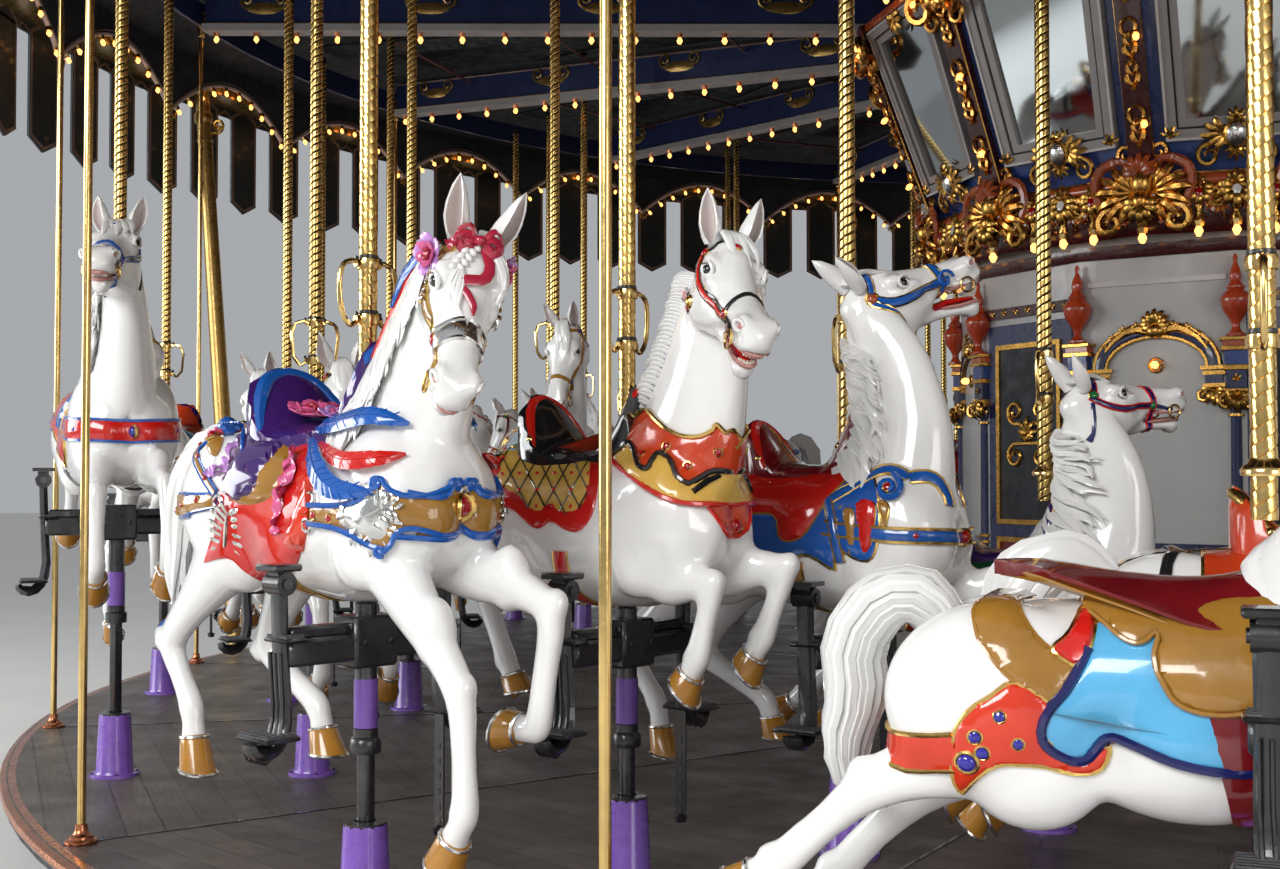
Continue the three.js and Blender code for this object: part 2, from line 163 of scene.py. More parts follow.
def glow(name, colour, strength):
    m, nt, b = nodes_of(name)
    b.inputs["Base Color"].default_value = (*colour, 1)
    n = noise(nt, 40)
    r = ramp(nt, n.outputs["Fac"], [(0.3, tuple(np.array(colour) * 0.92)), (0.7, colour)])
    link(nt, r.outputs["Color"], b.inputs["Emission Color"])
    b.inputs["Emission Strength"].default_value = strength
    b.inputs["Roughness"].default_value = 0.2
    MATS[name] = m
    return m


def rope(name, colour=(0.80, 0.56, 0.20), groove_shade=(0.20, 0.11, 0.03), spacing=0.035, starts=3):
    """Twisted brass tube: three rounded bands wind up the pole to the right."""
    m, nt, b = nodes_of(name)
    uv = nt.nodes.new("ShaderNodeUVMap")
    uv.uv_map = "spin"
    sp = nt.nodes.new("ShaderNodeSeparateXYZ")
    link(nt, uv.outputs["UV"], sp.inputs["Vector"])

    def op(kind, a, bb):
        x = nt.nodes.new("ShaderNodeMath")
        x.operation = kind
        for i, v in enumerate((a, bb)):
            if v is None:
                continue
            if isinstance(v, (int, float)):
                x.inputs[i].default_value = v
            else:
                link(nt, v, x.inputs[i])
        return x.outputs[0]

    rise = op("MULTIPLY", sp.outputs["Y"], 1 / spacing)
    turn = op("MULTIPLY", sp.outputs["X"], float(starts))
    f = op("FRACT", op("SUBTRACT", rise, turn), None)
    # rounded band: distance from the groove
    tri = op("ABSOLUTE", op("SUBTRACT", f, 0.5), None)  # 0 mid band, .5 in the groove
    inv = op("SUBTRACT", 1.0, op("POWER", op("MULTIPLY", tri, 2.0), 9.0))
    # painted shade: the colour falls to the dark groove colour in the grooves and to four fifths on the bands' flanks
    r = ramp(nt, inv, [(0.0, groove_shade), (0.45, tuple(np.array(colour) * 0.8)), (1.0, colour)])
    n = noise(nt, 14)
    mx = nt.nodes.new("ShaderNodeMix")
    mx.data_type = "RGBA"
    mx.blend_type = "MULTIPLY"
    mx.inputs["Factor"].default_value = 0.5
    r2 = ramp(nt, n.outputs["Fac"], [(0.3, (0.72, 0.66, 0.6)), (0.7, (1, 1, 1))])
    link(nt, r.outputs["Color"], mx.inputs["A"])
    link(nt, r2.outputs["Color"], mx.inputs["B"])
    link(nt, mx.outputs["Result"], b.inputs["Base Color"])
    b.inputs["Metallic"].default_value = 1.0
    s = span(nt, n.outputs["Fac"], 0.16, 0.30)
    link(nt, s.outputs["Result"], b.inputs["Roughness"])
    bump(nt, inv, 1.0, 0.007, b.inputs["Normal"])
    MATS[name] = m
    return m


def planks(name):
    """Worn dark decking: long boards across the ring, joints, grain and scuffs."""
    m, nt, b = nodes_of(name)
    uv = nt.nodes.new("ShaderNodeUVMap")
    uv.uv_map = "spin"
    br = nt.nodes.new("ShaderNodeTexBrick")
    br.offset = 0.37
    br.inputs["Scale"].default_value = 1.0
    br.inputs["Brick Width"].default_value = 1.7
    br.inputs["Row Height"].default_value = 0.145
    br.inputs["Mortar Size"].default_value = 0.0035
    br.inputs["Mortar Smooth"].default_value = 0.2
    br.inputs["Color1"].default_value = (0.125, 0.107, 0.096, 1)
    br.inputs["Color2"].default_value = (0.082, 0.071, 0.066, 1)
    br.inputs["Mortar"].default_value = (0.028, 0.025, 0.023, 1)
    link(nt, uv.outputs["UV"], br.inputs["Vector"])
    mp = nt.nodes.new("ShaderNodeMapping")
    mp.inputs["Scale"].default_value = (1.2, 22, 1)
    link(nt, uv.outputs["UV"], mp.inputs["Vector"])
    g = nt.nodes.new("ShaderNodeTexNoise")
    g.inputs["Scale"].default_value = 4
    g.inputs["Detail"].default_value = 6
    link(nt, mp.outputs["Vector"], g.inputs["Vector"])
    r = ramp(nt, g.outputs["Fac"], [(0.3, (0.62, 0.6, 0.58)), (0.7, (1.25, 1.2, 1.15))])
    mx = nt.nodes.new("ShaderNodeMix")
    mx.data_type = "RGBA"
    mx.blend_type = "MULTIPLY"
    mx.inputs["Factor"].default_value = 0.85
    link(nt, br.outputs["Color"], mx.inputs["A"])
    link(nt, r.outputs["Color"], mx.inputs["B"])
    link(nt, mx.outputs["Result"], b.inputs["Base Color"])
    n = noise(nt, 3.0, 5)
    s = span(nt, n.outputs["Fac"], 0.32, 0.6)
    link(nt, s.outputs["Result"], b.inputs["Roughness"])
    bump(nt, br.outputs["Fac"], -0.5, 0.003, b.inputs["Normal"])
    MATS[name] = m
    return m


paint("white_enamel", (0.86, 0.86, 0.85), 0.16, 0, 0.8, 0.02, 3, 0.02, 40, dirt=0.75)
paint("white_hair", (0.84, 0.84, 0.83), 0.2, 0, 0.7, 0.03, 5, 0.05, 90, dirt=1.0, crease_shade_colour=(0.24, 0.23, 0.22))
paint("black_gloss", (0.012, 0.012, 0.013), 0.12, 0, 1.0, 0.2)
paint("black_iron", (0.016, 0.016, 0.018), 0.32, 0.0, 0.5, 0.25, 12, 0.12, 120)
paint("tread_rubber", (0.07, 0.07, 0.075), 0.55, 0, 0.0, 0.2, 20, 0.3, 240)
paint("steel_rod", (0.09, 0.09, 0.095), 0.28, 0.9, 0.2, 0.2, 8, 0.05, 150)
paint("violet", (0.20, 0.085, 0.46), 0.28, 0, 0.5, 0.12, 10, 0.06)
paint("violet_tube", (0.17, 0.075, 0.38), 0.35, 0, 0.3, 0.15, 8, 0.06)
paint("purple_seat", (0.045, 0.012, 0.13), 0.14, 0, 0.8, 0.1)
paint("ochre", (0.34, 0.165, 0.025), 0.17, 0, 0.7, 0.07)
paint("ochre_hoof", (0.42, 0.19, 0.025), 0.2, 0, 0.7, 0.12, 14)
paint("royal_blue", (0.012, 0.10, 0.42), 0.15, 0, 0.7, 0.1)
paint("sky_blue", (0.10, 0.42, 0.72), 0.16, 0, 0.7, 0.05)
paint("navy", (0.008, 0.012, 0.10), 0.16, 0, 0.7, 0.1)
paint("scarlet", (0.60, 0.012, 0.008), 0.15, 0, 0.8, 0.08)
paint("vermilion", (0.66, 0.035, 0.008), 0.15, 0, 0.8, 0.07)
paint("maroon", (0.16, 0.006, 0.010), 0.14, 0, 0.8, 0.12)
paint("crimson", (0.40, 0.02, 0.05), 0.18, 0, 0.7, 0.12)
paint("pink", (0.62, 0.10, 0.26), 0.2, 0, 0.6, 0.2, 14)
paint("lilac", (0.46, 0.22, 0.56), 0.2, 0, 0.6, 0.2, 14)
paint("yellow", (0.72, 0.44, 0.09), 0.18, 0, 0.7, 0.08)
paint("green", (0.01, 0.12, 0.045), 0.17, 0, 0.7, 0.12)
paint("orange_red", (0.56, 0.05, 0.012), 0.17, 0, 0.7, 0.1)
paint("gold_leaf", (0.78, 0.52, 0.16), 0.22, 1.0, 0.1, 0.15, 16, 0.12, 110, dirt=0.7, crease_shade_colour=(0.12, 0.05, 0.015))
paint("silver_leaf", (0.80, 0.80, 0.78), 0.16, 1.0, 0.2, 0.10, 16, 0.10, 110, dirt=0.8, crease_shade_colour=(0.08, 0.08, 0.08))
paint("brass", (0.80, 0.56, 0.22), 0.16, 1.0, 0.0, 0.10, 10, 0.04, 90)
paint("brass_twist", (0.80, 0.55, 0.20), 0.17, 1.0, 0.0, 0.16, 12, 0.04, 90)
paint("copper_foot", (0.52, 0.20, 0.10), 0.26, 1.0, 0.0, 0.15, 12, 0.06)
paint("ruby", (0.35, 0.0, 0.006), 0.05, 0, 1.0, 0.1)
paint("sapphire", (0.02, 0.015, 0.30), 0.05, 0, 1.0, 0.1)
paint("emerald", (0.0, 0.16, 0.03), 0.05, 0, 1.0, 0.1)
paint("gum_pink", (0.55, 0.26, 0.24), 0.25, 0, 0.5, 0.15, 20)
paint("tooth", (0.80, 0.76, 0.66), 0.25, 0, 0.5, 0.06)
paint("ear_inside", (0.66, 0.58, 0.56), 0.3, 0, 0.3, 0.06)
rope("rope_brass")
planks("deck_boards")

# ---------------------------------------------------------------- geometry kit


def spline(ctrl, n):
    P = np.asarray(ctrl, float)
    m = len(P)
    if m == 2:
        t = np.linspace(0, 1, n)[:, None]
        return P[0] * (1 - t) + P[1] * t
    Q = np.vstack([2 * P[0] - P[1], P, 2 * P[-1] - P[-2]])
    t = np.linspace(0, m - 1, n)
    i = np.minimum(t.astype(int), m - 2)
    f = (t - i)[:, None]
    p0, p1, p2, p3 = Q[i], Q[i + 1], Q[i + 2], Q[i + 3]
    return 0.5 * ((2 * p1) + (-p0 + p2) * f + (2 * p0 - 5 * p1 + 4 * p2 - p3) * f**2 + (-p0 + 3 * p1 - 3 * p2 + p3) * f**3)


def frames(P, up=(0, 0, 1)):
    T = unit(np.gradient(P, axis=0))
    s = np.cross(up, T[0])
    if np.linalg.norm(s) < 1e-3:
        s = np.cross((1, 0, 0.01), T[0])
    S = np.zeros_like(P)
    S[0] = unit(s)
    for i in range(1, len(P)):
        S[i] = unit(S[i - 1] - T[i] * np.dot(S[i - 1], T[i]))
    return T, S, np.cross(T, S)


def fixed_frames(P, up=(0, 0, 1), side=None):
    T = unit(np.gradient(P, axis=0))
    if side is None:
        S = unit(np.cross(np.asarray(up, float), T))
    else:
        S = np.tile(unit(side), (len(P), 1))
        S = unit(S - T * (S * T).sum(1)[:, None])
    return T, S, np.cross(T, S)


def ring_faces(rings, sides, caps=True):
    k = np.arange(rings - 1)[:, None] * sides
    i = np.arange(sides)[None, :]
    j = (i + 1) % sides
    q = np.stack([k + i, k + j, k + sides + j, k + sides + i], -1).reshape(-1, 4)
    out = [tuple(f) for f in q.tolist()]
    if caps:
        out.append(tuple(range(sides - 1, -1, -1)))
        e = (rings - 1) * sides
        out.append(tuple(range(e, e + sides)))
    return out


def sweep(P, ra, rb=None, sides=8, up=(0, 0, 1), caps=True, prof=None, turn=0.0, fixed=False, side=None):
    """A closed skin along P. ra is the half width across, rb the half depth; prof(angle) gives (across, depth) factors."""
    P = np.asarray(P, float)
    n = len(P)
    ra = np.broadcast_to(np.asarray(ra, float), (n,))
    rb = ra if rb is None else np.broadcast_to(np.asarray(rb, float), (n,))
    T, S, U = fixed_frames(P, up, side) if (fixed or side is not None) else frames(P, up)
    a = turn + np.arange(sides) * 2 * math.pi / sides
    c, s = np.cos(a), np.sin(a)
    if prof:
        c, s = prof(a)
    V = P[:, None, :] + S[:, None, :] * (c[None, :] * ra[:, None])[..., None] + U[:, None, :] * (s[None, :] * rb[:, None])[..., None]
    return V.reshape(-1, 3), ring_faces(n, sides, caps)


def ball(c, r, seg=12, rings=8, rot=None):
    r = np.broadcast_to(np.asarray(r, float), (3,))
    V = [(0, 0, -1)]
    for k in range(1, rings):
        b = -math.pi / 2 + math.pi * k / rings
        for i in range(seg):
            a = 2 * math.pi * i / seg
            V.append((math.cos(a) * math.cos(b), math.sin(a) * math.cos(b), math.sin(b)))
    V.append((0, 0, 1))
    V = np.array(V) * r
    if rot is not None:
        V = V @ np.array(rot).T
    F = [(0, 1 + (i + 1) % seg, 1 + i) for i in range(seg)]
    for k in range(rings - 2):
        a0 = 1 + k * seg
        for i in range(seg):
            j = (i + 1) % seg
            F.append((a0 + i, a0 + j, a0 + seg + j, a0 + seg + i))
    e = 1 + (rings - 2) * seg
    F += [(e + i, e + (i + 1) % seg, e + seg) for i in range(seg)]
    return V + np.asarray(c, float), F


def box(lo, hi, bevel=0.0):
    """A box whose edges are cut back by bevel."""
    lo, hi = np.asarray(lo, float), np.asarray(hi, float)
    if bevel <= 0:
        bevel = 1e-4
    c, h = (lo + hi) / 2, (hi - lo) / 2
    b = min(bevel, *(h * 0.9))
    V, F, at = [], [], {}
    for x in (-1, 1):
        for y in (-1, 1):
            for z in (-1, 1):
                s = np.array([x, y, z], float)
                for ax in range(3):
                    p = s * (h - b)
                    p[ax] = s[ax] * h[ax]
                    at[(x, y, z, ax)] = len(V)
                    V.append(c + p)
    for ax in range(3):
        u, v = (ax + 1) % 3, (ax + 2) % 3
        for s in (-1, 1):
            q = []
            for a, bb in ((-1, -1), (1, -1), (1, 1), (-1, 1)):
                k = [0, 0, 0]
                k[ax], k[u], k[v] = s, a, bb
                q.append(at[(*k, ax)])
            F.append(tuple(q if s > 0 else q[::-1]))
    for ax in range(3):  # edges along ax
        u, v = (ax + 1) % 3, (ax + 2) % 3
        for a in (-1, 1):
            for bb in (-1, 1):
                k0, k1 = [0, 0, 0], [0, 0, 0]
                k0[ax], k1[ax] = -1, 1
                for k in (k0, k1):
                    k[u], k[v] = a, bb
                q = [at[(*k0, u)], at[(*k1, u)], at[(*k1, v)], at[(*k0, v)]]
                F.append(tuple(q if a * bb < 0 else q[::-1]))
    for x in (-1, 1):
        for y in (-1, 1):
            for z in (-1, 1):
                t = [at[(x, y, z, 0)], at[(x, y, z, 1)], at[(x, y, z, 2)]]
                F.append(tuple(t if x * y * z > 0 else t[::-1]))
    return np.array(V), F


def lathe(profile, sides, centre=(0, 0), phase=0.0, close=False):
    """A profile of (radius, height) turned about the vertical through centre; ends close on the axis or stay open."""
    P = np.asarray(profile, float)
    a = phase + np.arange(sides) * 2 * math.pi / sides
    V = np.stack([centre[0] + P[:, :1] * np.cos(a), centre[1] + P[:, :1] * np.sin(a), np.repeat(P[:, 1:], sides, 1)], -1).reshape(-1, 3)
    F = ring_faces(len(P), sides, False)
    if close:
        k = (len(P) - 1) * sides
        F += [(k + i, k + (i + 1) % sides, (i + 1) % sides, i) for i in range(sides)]
    else:
        if P[0, 0] > 1e-6:
            F.append(tuple(range(sides - 1, -1, -1)))
        if P[-1, 0] > 1e-6:
            F.append(tuple(range((len(P) - 1) * sides, len(P) * sides)))
    return V, F


class Piece:
    """Gathers shapes with their materials into one mesh."""

    def __init__(self):
        self.V, self.F, self.M, self.D, self.UV, self.mats, self.n = [], [], [], [], [], [], 0
        self.flat = []

    def add(self, shape, mat, dirt=None, uv=None, flat=False):
        V, F = shape
        V = np.asarray(V, float)
        if mat not in self.mats:
            self.mats.append(mat)
        k = self.mats.index(mat)
        self.V.append(V)
        n = self.n
        self.F += [tuple(n + i for i in f) for f in F]
        self.M += [k] * len(F)
        self.flat += [flat] * len(F)
        self.UV += list(uv) if uv is not None else [None] * len(F)
        self.D.append(np.zeros(len(V)) if dirt is None else np.asarray(dirt, float))
        self.n += len(V)
        return self

    def moved(self, M, s=1.0):
        M = np.array(M)
        for i, V in enumerate(self.V):
            self.V[i] = V @ M[:3, :3].T * s + M[:3, 3]
        return self

    def mesh(self, name, sharp=40):
        me = bpy.data.meshes.new(name)
        V = np.vstack(self.V)
        me.from_pydata(V.tolist(), [], self.F)
        for k in self.mats:
            me.materials.append(MATS[k])
        me.polygons.foreach_set("material_index", np.array(self.M, np.int32))
        me.polygons.foreach_set("use_smooth", np.array([not f for f in self.flat], bool))
        D = np.concatenate(self.D)
        if D.any():
            at = me.attributes.new("dirt", "FLOAT", "POINT")
            at.data.foreach_set("value", D.astype(np.float32))
        if any(u is not None for u in self.UV):
            uv = me.uv_layers.new(name="spin")
            flat = []
            for f, u in zip(self.F, self.UV):
                flat += [c for p in (u if u is not None else [(0, 0)] * len(f)) for c in p]
            uv.data.foreach_set("uv", np.array(flat, np.float32))
        me.update()
        me.set_sharp_from_angle(angle=rad(sharp))
        return me

    def tris(self):
        return sum(len(f) - 2 for f in self.F)

    def thinned(self, target, keep=()):
        """The same shapes in fewer triangles; faces of the kept materials, and those with their own map, stay."""
        stay = np.array([u is not None or self.mats[m] in keep for m, u in zip(self.M, self.UV)], bool)
        n_stay = sum(len(f) - 2 for f, s in zip(self.F, stay) if s)
        n_go = self.tris() - n_stay
        if n_go == 0 or target >= n_stay + n_go:
            return self
        V, D = np.vstack(self.V), np.concatenate(self.D)

        def part(pick):
            idx = np.nonzero(pick)[0]
            F = [self.F[i] for i in idx]
            used = np.unique(np.concatenate([np.array(f) for f in F]))
            where = np.full(len(V), -1)
            where[used] = np.arange(len(used))
            return idx, V[used], D[used], [tuple(int(where[i]) for i in f) for f in F]

        idx, v, d, F = part(~stay)
        me = bpy.data.meshes.new("tmp")
        me.from_pydata(v.tolist(), [], F)
        me.polygons.foreach_set("material_index", np.array([self.M[i] for i in idx], np.int32))
        me.polygons.foreach_set("use_smooth", np.array([not self.flat[i] for i in idx], bool))
        me.attributes.new("dirt", "FLOAT", "POINT").data.foreach_set("value", d.astype(np.float32))
        for k in self.mats:
            me.materials.append(MATS[k])
        ob = new_object("tmp", me)
        mod = ob.modifiers.new("d", "DECIMATE")
        mod.ratio = max(0.02, (target - n_stay) / n_go)
        m2 = bpy.data.meshes.new_from_object(ob.evaluated_get(bpy.context.evaluated_depsgraph_get()))
        co = np.zeros(len(m2.vertices) * 3, np.float32)
        m2.vertices.foreach_get("co", co)
        dd = np.zeros(len(m2.vertices), np.float32)
        m2.attributes["dirt"].data.foreach_get("value", dd)
        mi, sm = np.zeros(len(m2.polygons), np.int32), np.zeros(len(m2.polygons), bool)
        m2.polygons.foreach_get("material_index", mi)
        m2.polygons.foreach_get("use_smooth", sm)
        out = Piece()
        out.mats = list(self.mats)
        out.V, out.D = [co.reshape(-1, 3).astype(float)], [dd.astype(float)]
        out.F = [tuple(p.vertices) for p in m2.polygons]
        out.M, out.flat, out.UV = mi.tolist(), [not x for x in sm], [None] * len(out.F)
        out.n = len(dd)
        bpy.data.objects.remove(ob)
        bpy.data.meshes.remove(me)
        bpy.data.meshes.remove(m2)
        if stay.any():
            idx, v, d, F = part(stay)
            out.V.append(v)
            out.D.append(d)
            out.F += [tuple(out.n + i for i in f) for f in F]
            out.M += [self.M[i] for i in idx]
            out.flat += [self.flat[i] for i in idx]
            out.UV += [self.UV[i] for i in idx]
            out.n += len(v)
        return out


def new_object(name, me):
    o = bpy.data.objects.new(name, me)
    bpy.context.scene.collection.objects.link(o)
    return o


COUNT = {}


def put(piece, name, body, replaces=(), sharp=40, matrix=None):
    me = piece if isinstance(piece, bpy.types.Mesh) else piece.mesh(name, sharp)
    o = new_object(name, me)
    if matrix is not None:
        o.matrix_world = matrix
    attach(o, body)
    if replaces:
        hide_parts(*replaces)
    me.calc_loop_triangles()
    COUNT[name] = len(me.loop_triangles)
    return o


def relaxed(co, ed, weight, passes):
    """Moves points towards their neighbours' middle, by a weight for each."""
    n = len(co)
    a, b = ed[:, 0], ed[:, 1]
    cnt = np.maximum(np.bincount(a, minlength=n) + np.bincount(b, minlength=n), 1)
    w = (weight * 0.6)[:, None]
    for _ in range(passes):
        av = np.stack([np.bincount(a, co[b, k], n) + np.bincount(b, co[a, k], n) for k in range(3)], 1) / cnt[:, None]
        co = co + (av - co) * w
    return co


def remeshed(shapes, voxel, smooth, dents=None, target=None, weight=None, passes=18):
    """One skin round all the closed shapes, smoothed, dented and thinned to a triangle count."""
    V, F, n = [], [], 0
    for v, f in shapes:
        V.append(v)
        F += [tuple(n + i for i in q) for q in f]
        n += len(v)
    me = bpy.data.meshes.new("tmp")
    me.from_pydata(np.vstack(V).tolist(), [], F)
    ob = new_object("tmp", me)
    r = ob.modifiers.new("r", "REMESH")
    r.mode = "VOXEL"
    r.voxel_size = voxel
    s = ob.modifiers.new("s", "SMOOTH")
    s.factor = 0.5
    s.iterations = smooth
    dg = bpy.context.evaluated_depsgraph_get()
    m2 = bpy.data.meshes.new_from_object(ob.evaluated_get(dg))
    ob.modifiers.clear()
    ob.data = m2
    bpy.data.meshes.remove(me)
    co = np.zeros(len(m2.vertices) * 3, np.float32)
    m2.vertices.foreach_get("co", co)
    co = co.reshape(-1, 3).astype(float)
    if weight is not None:
        ed = np.zeros(len(m2.edges) * 2, np.int32)
        m2.edges.foreach_get("vertices", ed)
        co = relaxed(co, ed.reshape(-1, 2), weight(co), passes)
        m2.vertices.foreach_set("co", co.astype(np.float32).ravel())
        m2.update()
    if dents:
        nn = np.zeros(len(m2.vertices) * 3, np.float32)
        m2.vertices.foreach_get("normal", nn)
        nn = nn.reshape(-1, 3)
        for c, rr, d in dents:
            rr = np.broadcast_to(np.asarray(rr, float), (3,))
            q = ((co - np.asarray(c)) / rr)
            w = np.clip(1 - (q**2).sum(1), 0, 1) ** 1.5
            co = co + nn * (w * d)[:, None]
        m2.vertices.foreach_set("co", co.astype(np.float32).ravel())
        m2.update()
    m2.calc_loop_triangles()
    have = len(m2.loop_triangles)
    if target and have > target:
        d = ob.modifiers.new("d", "DECIMATE")
        d.ratio = target / have
        dg = bpy.context.evaluated_depsgraph_get()
        m3 = bpy.data.meshes.new_from_object(ob.evaluated_get(dg))
        ob.data = m3
        bpy.data.meshes.remove(m2)
        m2 = m3
    co = np.zeros(len(m2.vertices) * 3, np.float32)
    m2.vertices.foreach_get("co", co)
    co = co.reshape(-1, 3).astype(float)
    faces = [tuple(p.vertices) for p in m2.polygons]
    nn = np.zeros(len(m2.vertices) * 3, np.float32)
    m2.vertices.foreach_get("normal", nn)
    nn = nn.reshape(-1, 3).astype(float)
    ed = np.zeros(len(m2.edges) * 2, np.int32)
    m2.edges.foreach_get("vertices", ed)
    ed = ed.reshape(-1, 2)
    bpy.data.objects.remove(ob)
    bpy.data.meshes.remove(m2)
    # how hollow each place is, for the painted shade that darkens the creases
    su, ct, ln = np.zeros_like(co), np.zeros(len(co)), np.zeros(len(co))
    for a, b in ((0, 1), (1, 0)):
        np.add.at(su, ed[:, a], co[ed[:, b]])
        np.add.at(ct, ed[:, a], 1)
        np.add.at(ln, ed[:, a], np.linalg.norm(co[ed[:, 0]] - co[ed[:, 1]], axis=1))
    k = ct > 0
    lap = np.zeros(len(co))
    lap[k] = (((su[k] / ct[k, None]) - co[k]) * nn[k]).sum(1) / (ln[k] / ct[k] + 1e-9)
    for _ in range(2):
        acc = np.zeros(len(co))
        for a, b in ((0, 1), (1, 0)):
            np.add.at(acc, ed[:, a], lap[ed[:, b]])
        lap = 0.4 * lap + 0.6 * acc / np.maximum(ct, 1)
    dirt = np.clip((lap - 0.06) / 0.22, 0, 1)
    tree = BVHTree.FromPolygons([tuple(v) for v in co], faces)
    return (co, faces), dirt, tree


def near(tree, p):
    loc, nor, _, _ = tree.find_nearest(Vector(p))
    return np.array(loc), np.array(nor)


def loop2d(pts, step=0.02):
    """A closed outline through points; a third value of 0 marks a sharp corner."""
    pts = [tuple(p) + (1,) * (3 - len(p)) for p in pts]
    n = len(pts)
    sharp = [i for i, p in enumerate(pts) if p[2] == 0]
    out = []
    if not sharp:
        P = np.array([p[:2] for p in pts])
        Q = np.vstack([P[-2:], P, P[:3]])
        m = len(Q)
        dense = spline(Q, (m - 1) * 12 + 1)
        out = list(dense[24 : 24 + n * 12])
    else:
        for a, i in enumerate(sharp):
            j = sharp[(a + 1) % len(sharp)]
            run = [pts[i][:2]]
            k = i
            while True:
                k = (k + 1) % n
                run.append(pts[k][:2])
                if k == j:
                    break
            dense = spline(run, max(3, (len(run) - 1) * 12 + 1))
            out += list(dense[:-1])
    P = np.array(out)
    L = np.linalg.norm(np.diff(np.vstack([P, P[:1]]), axis=0), axis=1)
    s = np.concatenate([[0], np.cumsum(L)])
    keep = max(8, int(s[-1] / step))
    t = np.linspace(0, s[-1], keep, endpoint=False)
    PP = np.vstack([P, P[:1]])
    even = np.stack([np.interp(t, s, PP[:, 0]), np.interp(t, s, PP[:, 1])], 1)
    for i in sharp:  # the nearest even point snaps to the corner
        c = np.array(pts[i][:2])
        even[np.argmin(((even - c) ** 2).sum(1))] = c
    return even


def inside(poly, q):
    x, y = q[:, 0][:, None], q[:, 1][:, None]
    x0, y0 = poly[:, 0][None], poly[:, 1][None]
    x1, y1 = np.roll(poly[:, 0], -1)[None], np.roll(poly[:, 1], -1)[None]
    c = ((y0 > y) != (y1 > y)) & (x < (x1 - x0) * (y - y0) / (y1 - y0 + 1e-12) + x0)
    return c.sum(1) % 2 == 1


def barrel(x, v, z0=1.30, r=0.27, y0=0.0):
    """Ray to the trunk: x along it, v the way round from the spine, to the horse's right."""
    a = v / r
    d = np.array([0, -math.sin(a), math.cos(a)])
    return np.array([x, y0, z0]) + d * 0.62, -d


def girdle(u, z, cx=0.12, r=0.30):
    """Ray to the chest or rump: u the way round from straight ahead, to the horse's right."""
    a = u / r
    d = np.array([math.cos(a), -math.sin(a), 0])
    return np.array([cx, 0, z]) + d * 1.0, -d


def patch(P, tree, outline, ray, thick, mat, edge=None, er=0.006, step=0.022, lift=None, mirror=False, far=0.75, rim=0.45, dome=0.0):
    """A raised field on the carved body, its outline in the ray's two coordinates, with a rope of its edge colour."""
    o2 = loop2d(outline, step) if not isinstance(outline, np.ndarray) else outline
    if mirror:
        o2 = o2 * np.array([1, -1])
    lo, hi = o2.min(0), o2.max(0)
    gx = np.arange(lo[0] + step * 0.5, hi[0], step)
    gy = np.arange(lo[1] + step * 0.5, hi[1], step)
    g = np.stack(np.meshgrid(gx, gy), -1).reshape(-1, 2)
    if len(g):
        g = g[inside(o2, g)]
    if len(g):
        d = np.sqrt(((g[:, None] - o2[None]) ** 2).sum(-1)).min(1)
        g, d = g[d > step * 0.45], d[d > step * 0.45]
    n = len(o2)
    pts = [Vector(p) for p in o2] + [Vector(p) for p in g]
    res = delaunay_2d_cdt(pts, [(i, (i + 1) % n) for i in range(n)], [], 1, 1e-5)
    v2, faces = np.array([tuple(v) for v in res[0]]), [tuple(f) for f in res[2]]
    border = {i for i, orig in enumerate(res[3]) if any(k < n for k in orig)}
    top, base = [], []
    for i, (a, b) in enumerate(v2):
        ori, dr = ray(a, b)
        loc, nor, _, dist = tree.ray_cast(Vector(ori), Vector(dr), far)
        if loc is None:
            loc, nor, _, _ = tree.find_nearest(Vector(ori + dr * far * 0.45))
        loc, nor = np.array(loc), np.array(nor)
        if nor @ dr > 0:
            nor = -nor
        h = thick * (rim if i in border else 1.0)
        p = loc + nor * h
        if lift:
            p = p + lift(a, b, nor, i in border)
        top.append(p)
        base.append(loc - nor * 0.006)
    top, base = np.array(top), np.array(base)
    # faces turn outwards
    flip = 0
    for f in faces[:40]:
        a, b, c = (top[i] for i in f[:3])
        oo, dr = ray(*v2[f[0]])
        flip += 1 if np.cross(b - a, c - a) @ np.asarray(dr) > 0 else -1
    if flip > 0:
        faces = [f[::-1] for f in faces]
    m = len(top)
    order = []
    for k in range(n):
        hit = [i for i, orig in enumerate(res[3]) if k in orig]
        if hit:
            order.append(hit[0])
    order = [o for i, o in enumerate(order) if o != order[i - 1]]
    V = np.vstack([top, base[order]])
    side = []
    k = len(order)
    fw = []
    for i in range(k):
        a, b = order[i], order[(i + 1) % k]
        fw.append((a, b, m + (i + 1) % k, m + i))
    # outward for the wall: compare with the outline's way round
    area = 0.5 * sum(v2[order[i]][0] * v2[order[(i + 1) % k]][1] - v2[order[(i + 1) % k]][0] * v2[order[i]][1] for i in range(k))
    a, b = top[order[0]], top[order[1 % k]]
    mid = top[order].mean(0)
    q = fw[0]
    nn = np.cross(V[q[1]] - V[q[0]], V[q[2]] - V[q[0]])
    votes = 0
    for q in fw:
        nn = np.cross(V[q[1]] - V[q[0]], V[q[2]] - V[q[0]])
        votes += 1 if nn @ (V[q[0]] - mid) > 0 else -1
    if votes < 0:
        fw = [q[::-1] for q in fw]
    P.add((V, faces + fw), mat)
    if edge:
        bead(P, top[order] - 0.3 * (top[order] - base[order]) * 0.5, er, edge, closed=True)
    return v2, top


def bead(P, pts, r, mat, closed=False, sides=5):
    pts = np.asarray(pts, float)
    if closed:
        pts = np.vstack([pts, pts[:2]])
    P.add(sweep(pts, r, r, sides, caps=not closed), mat)


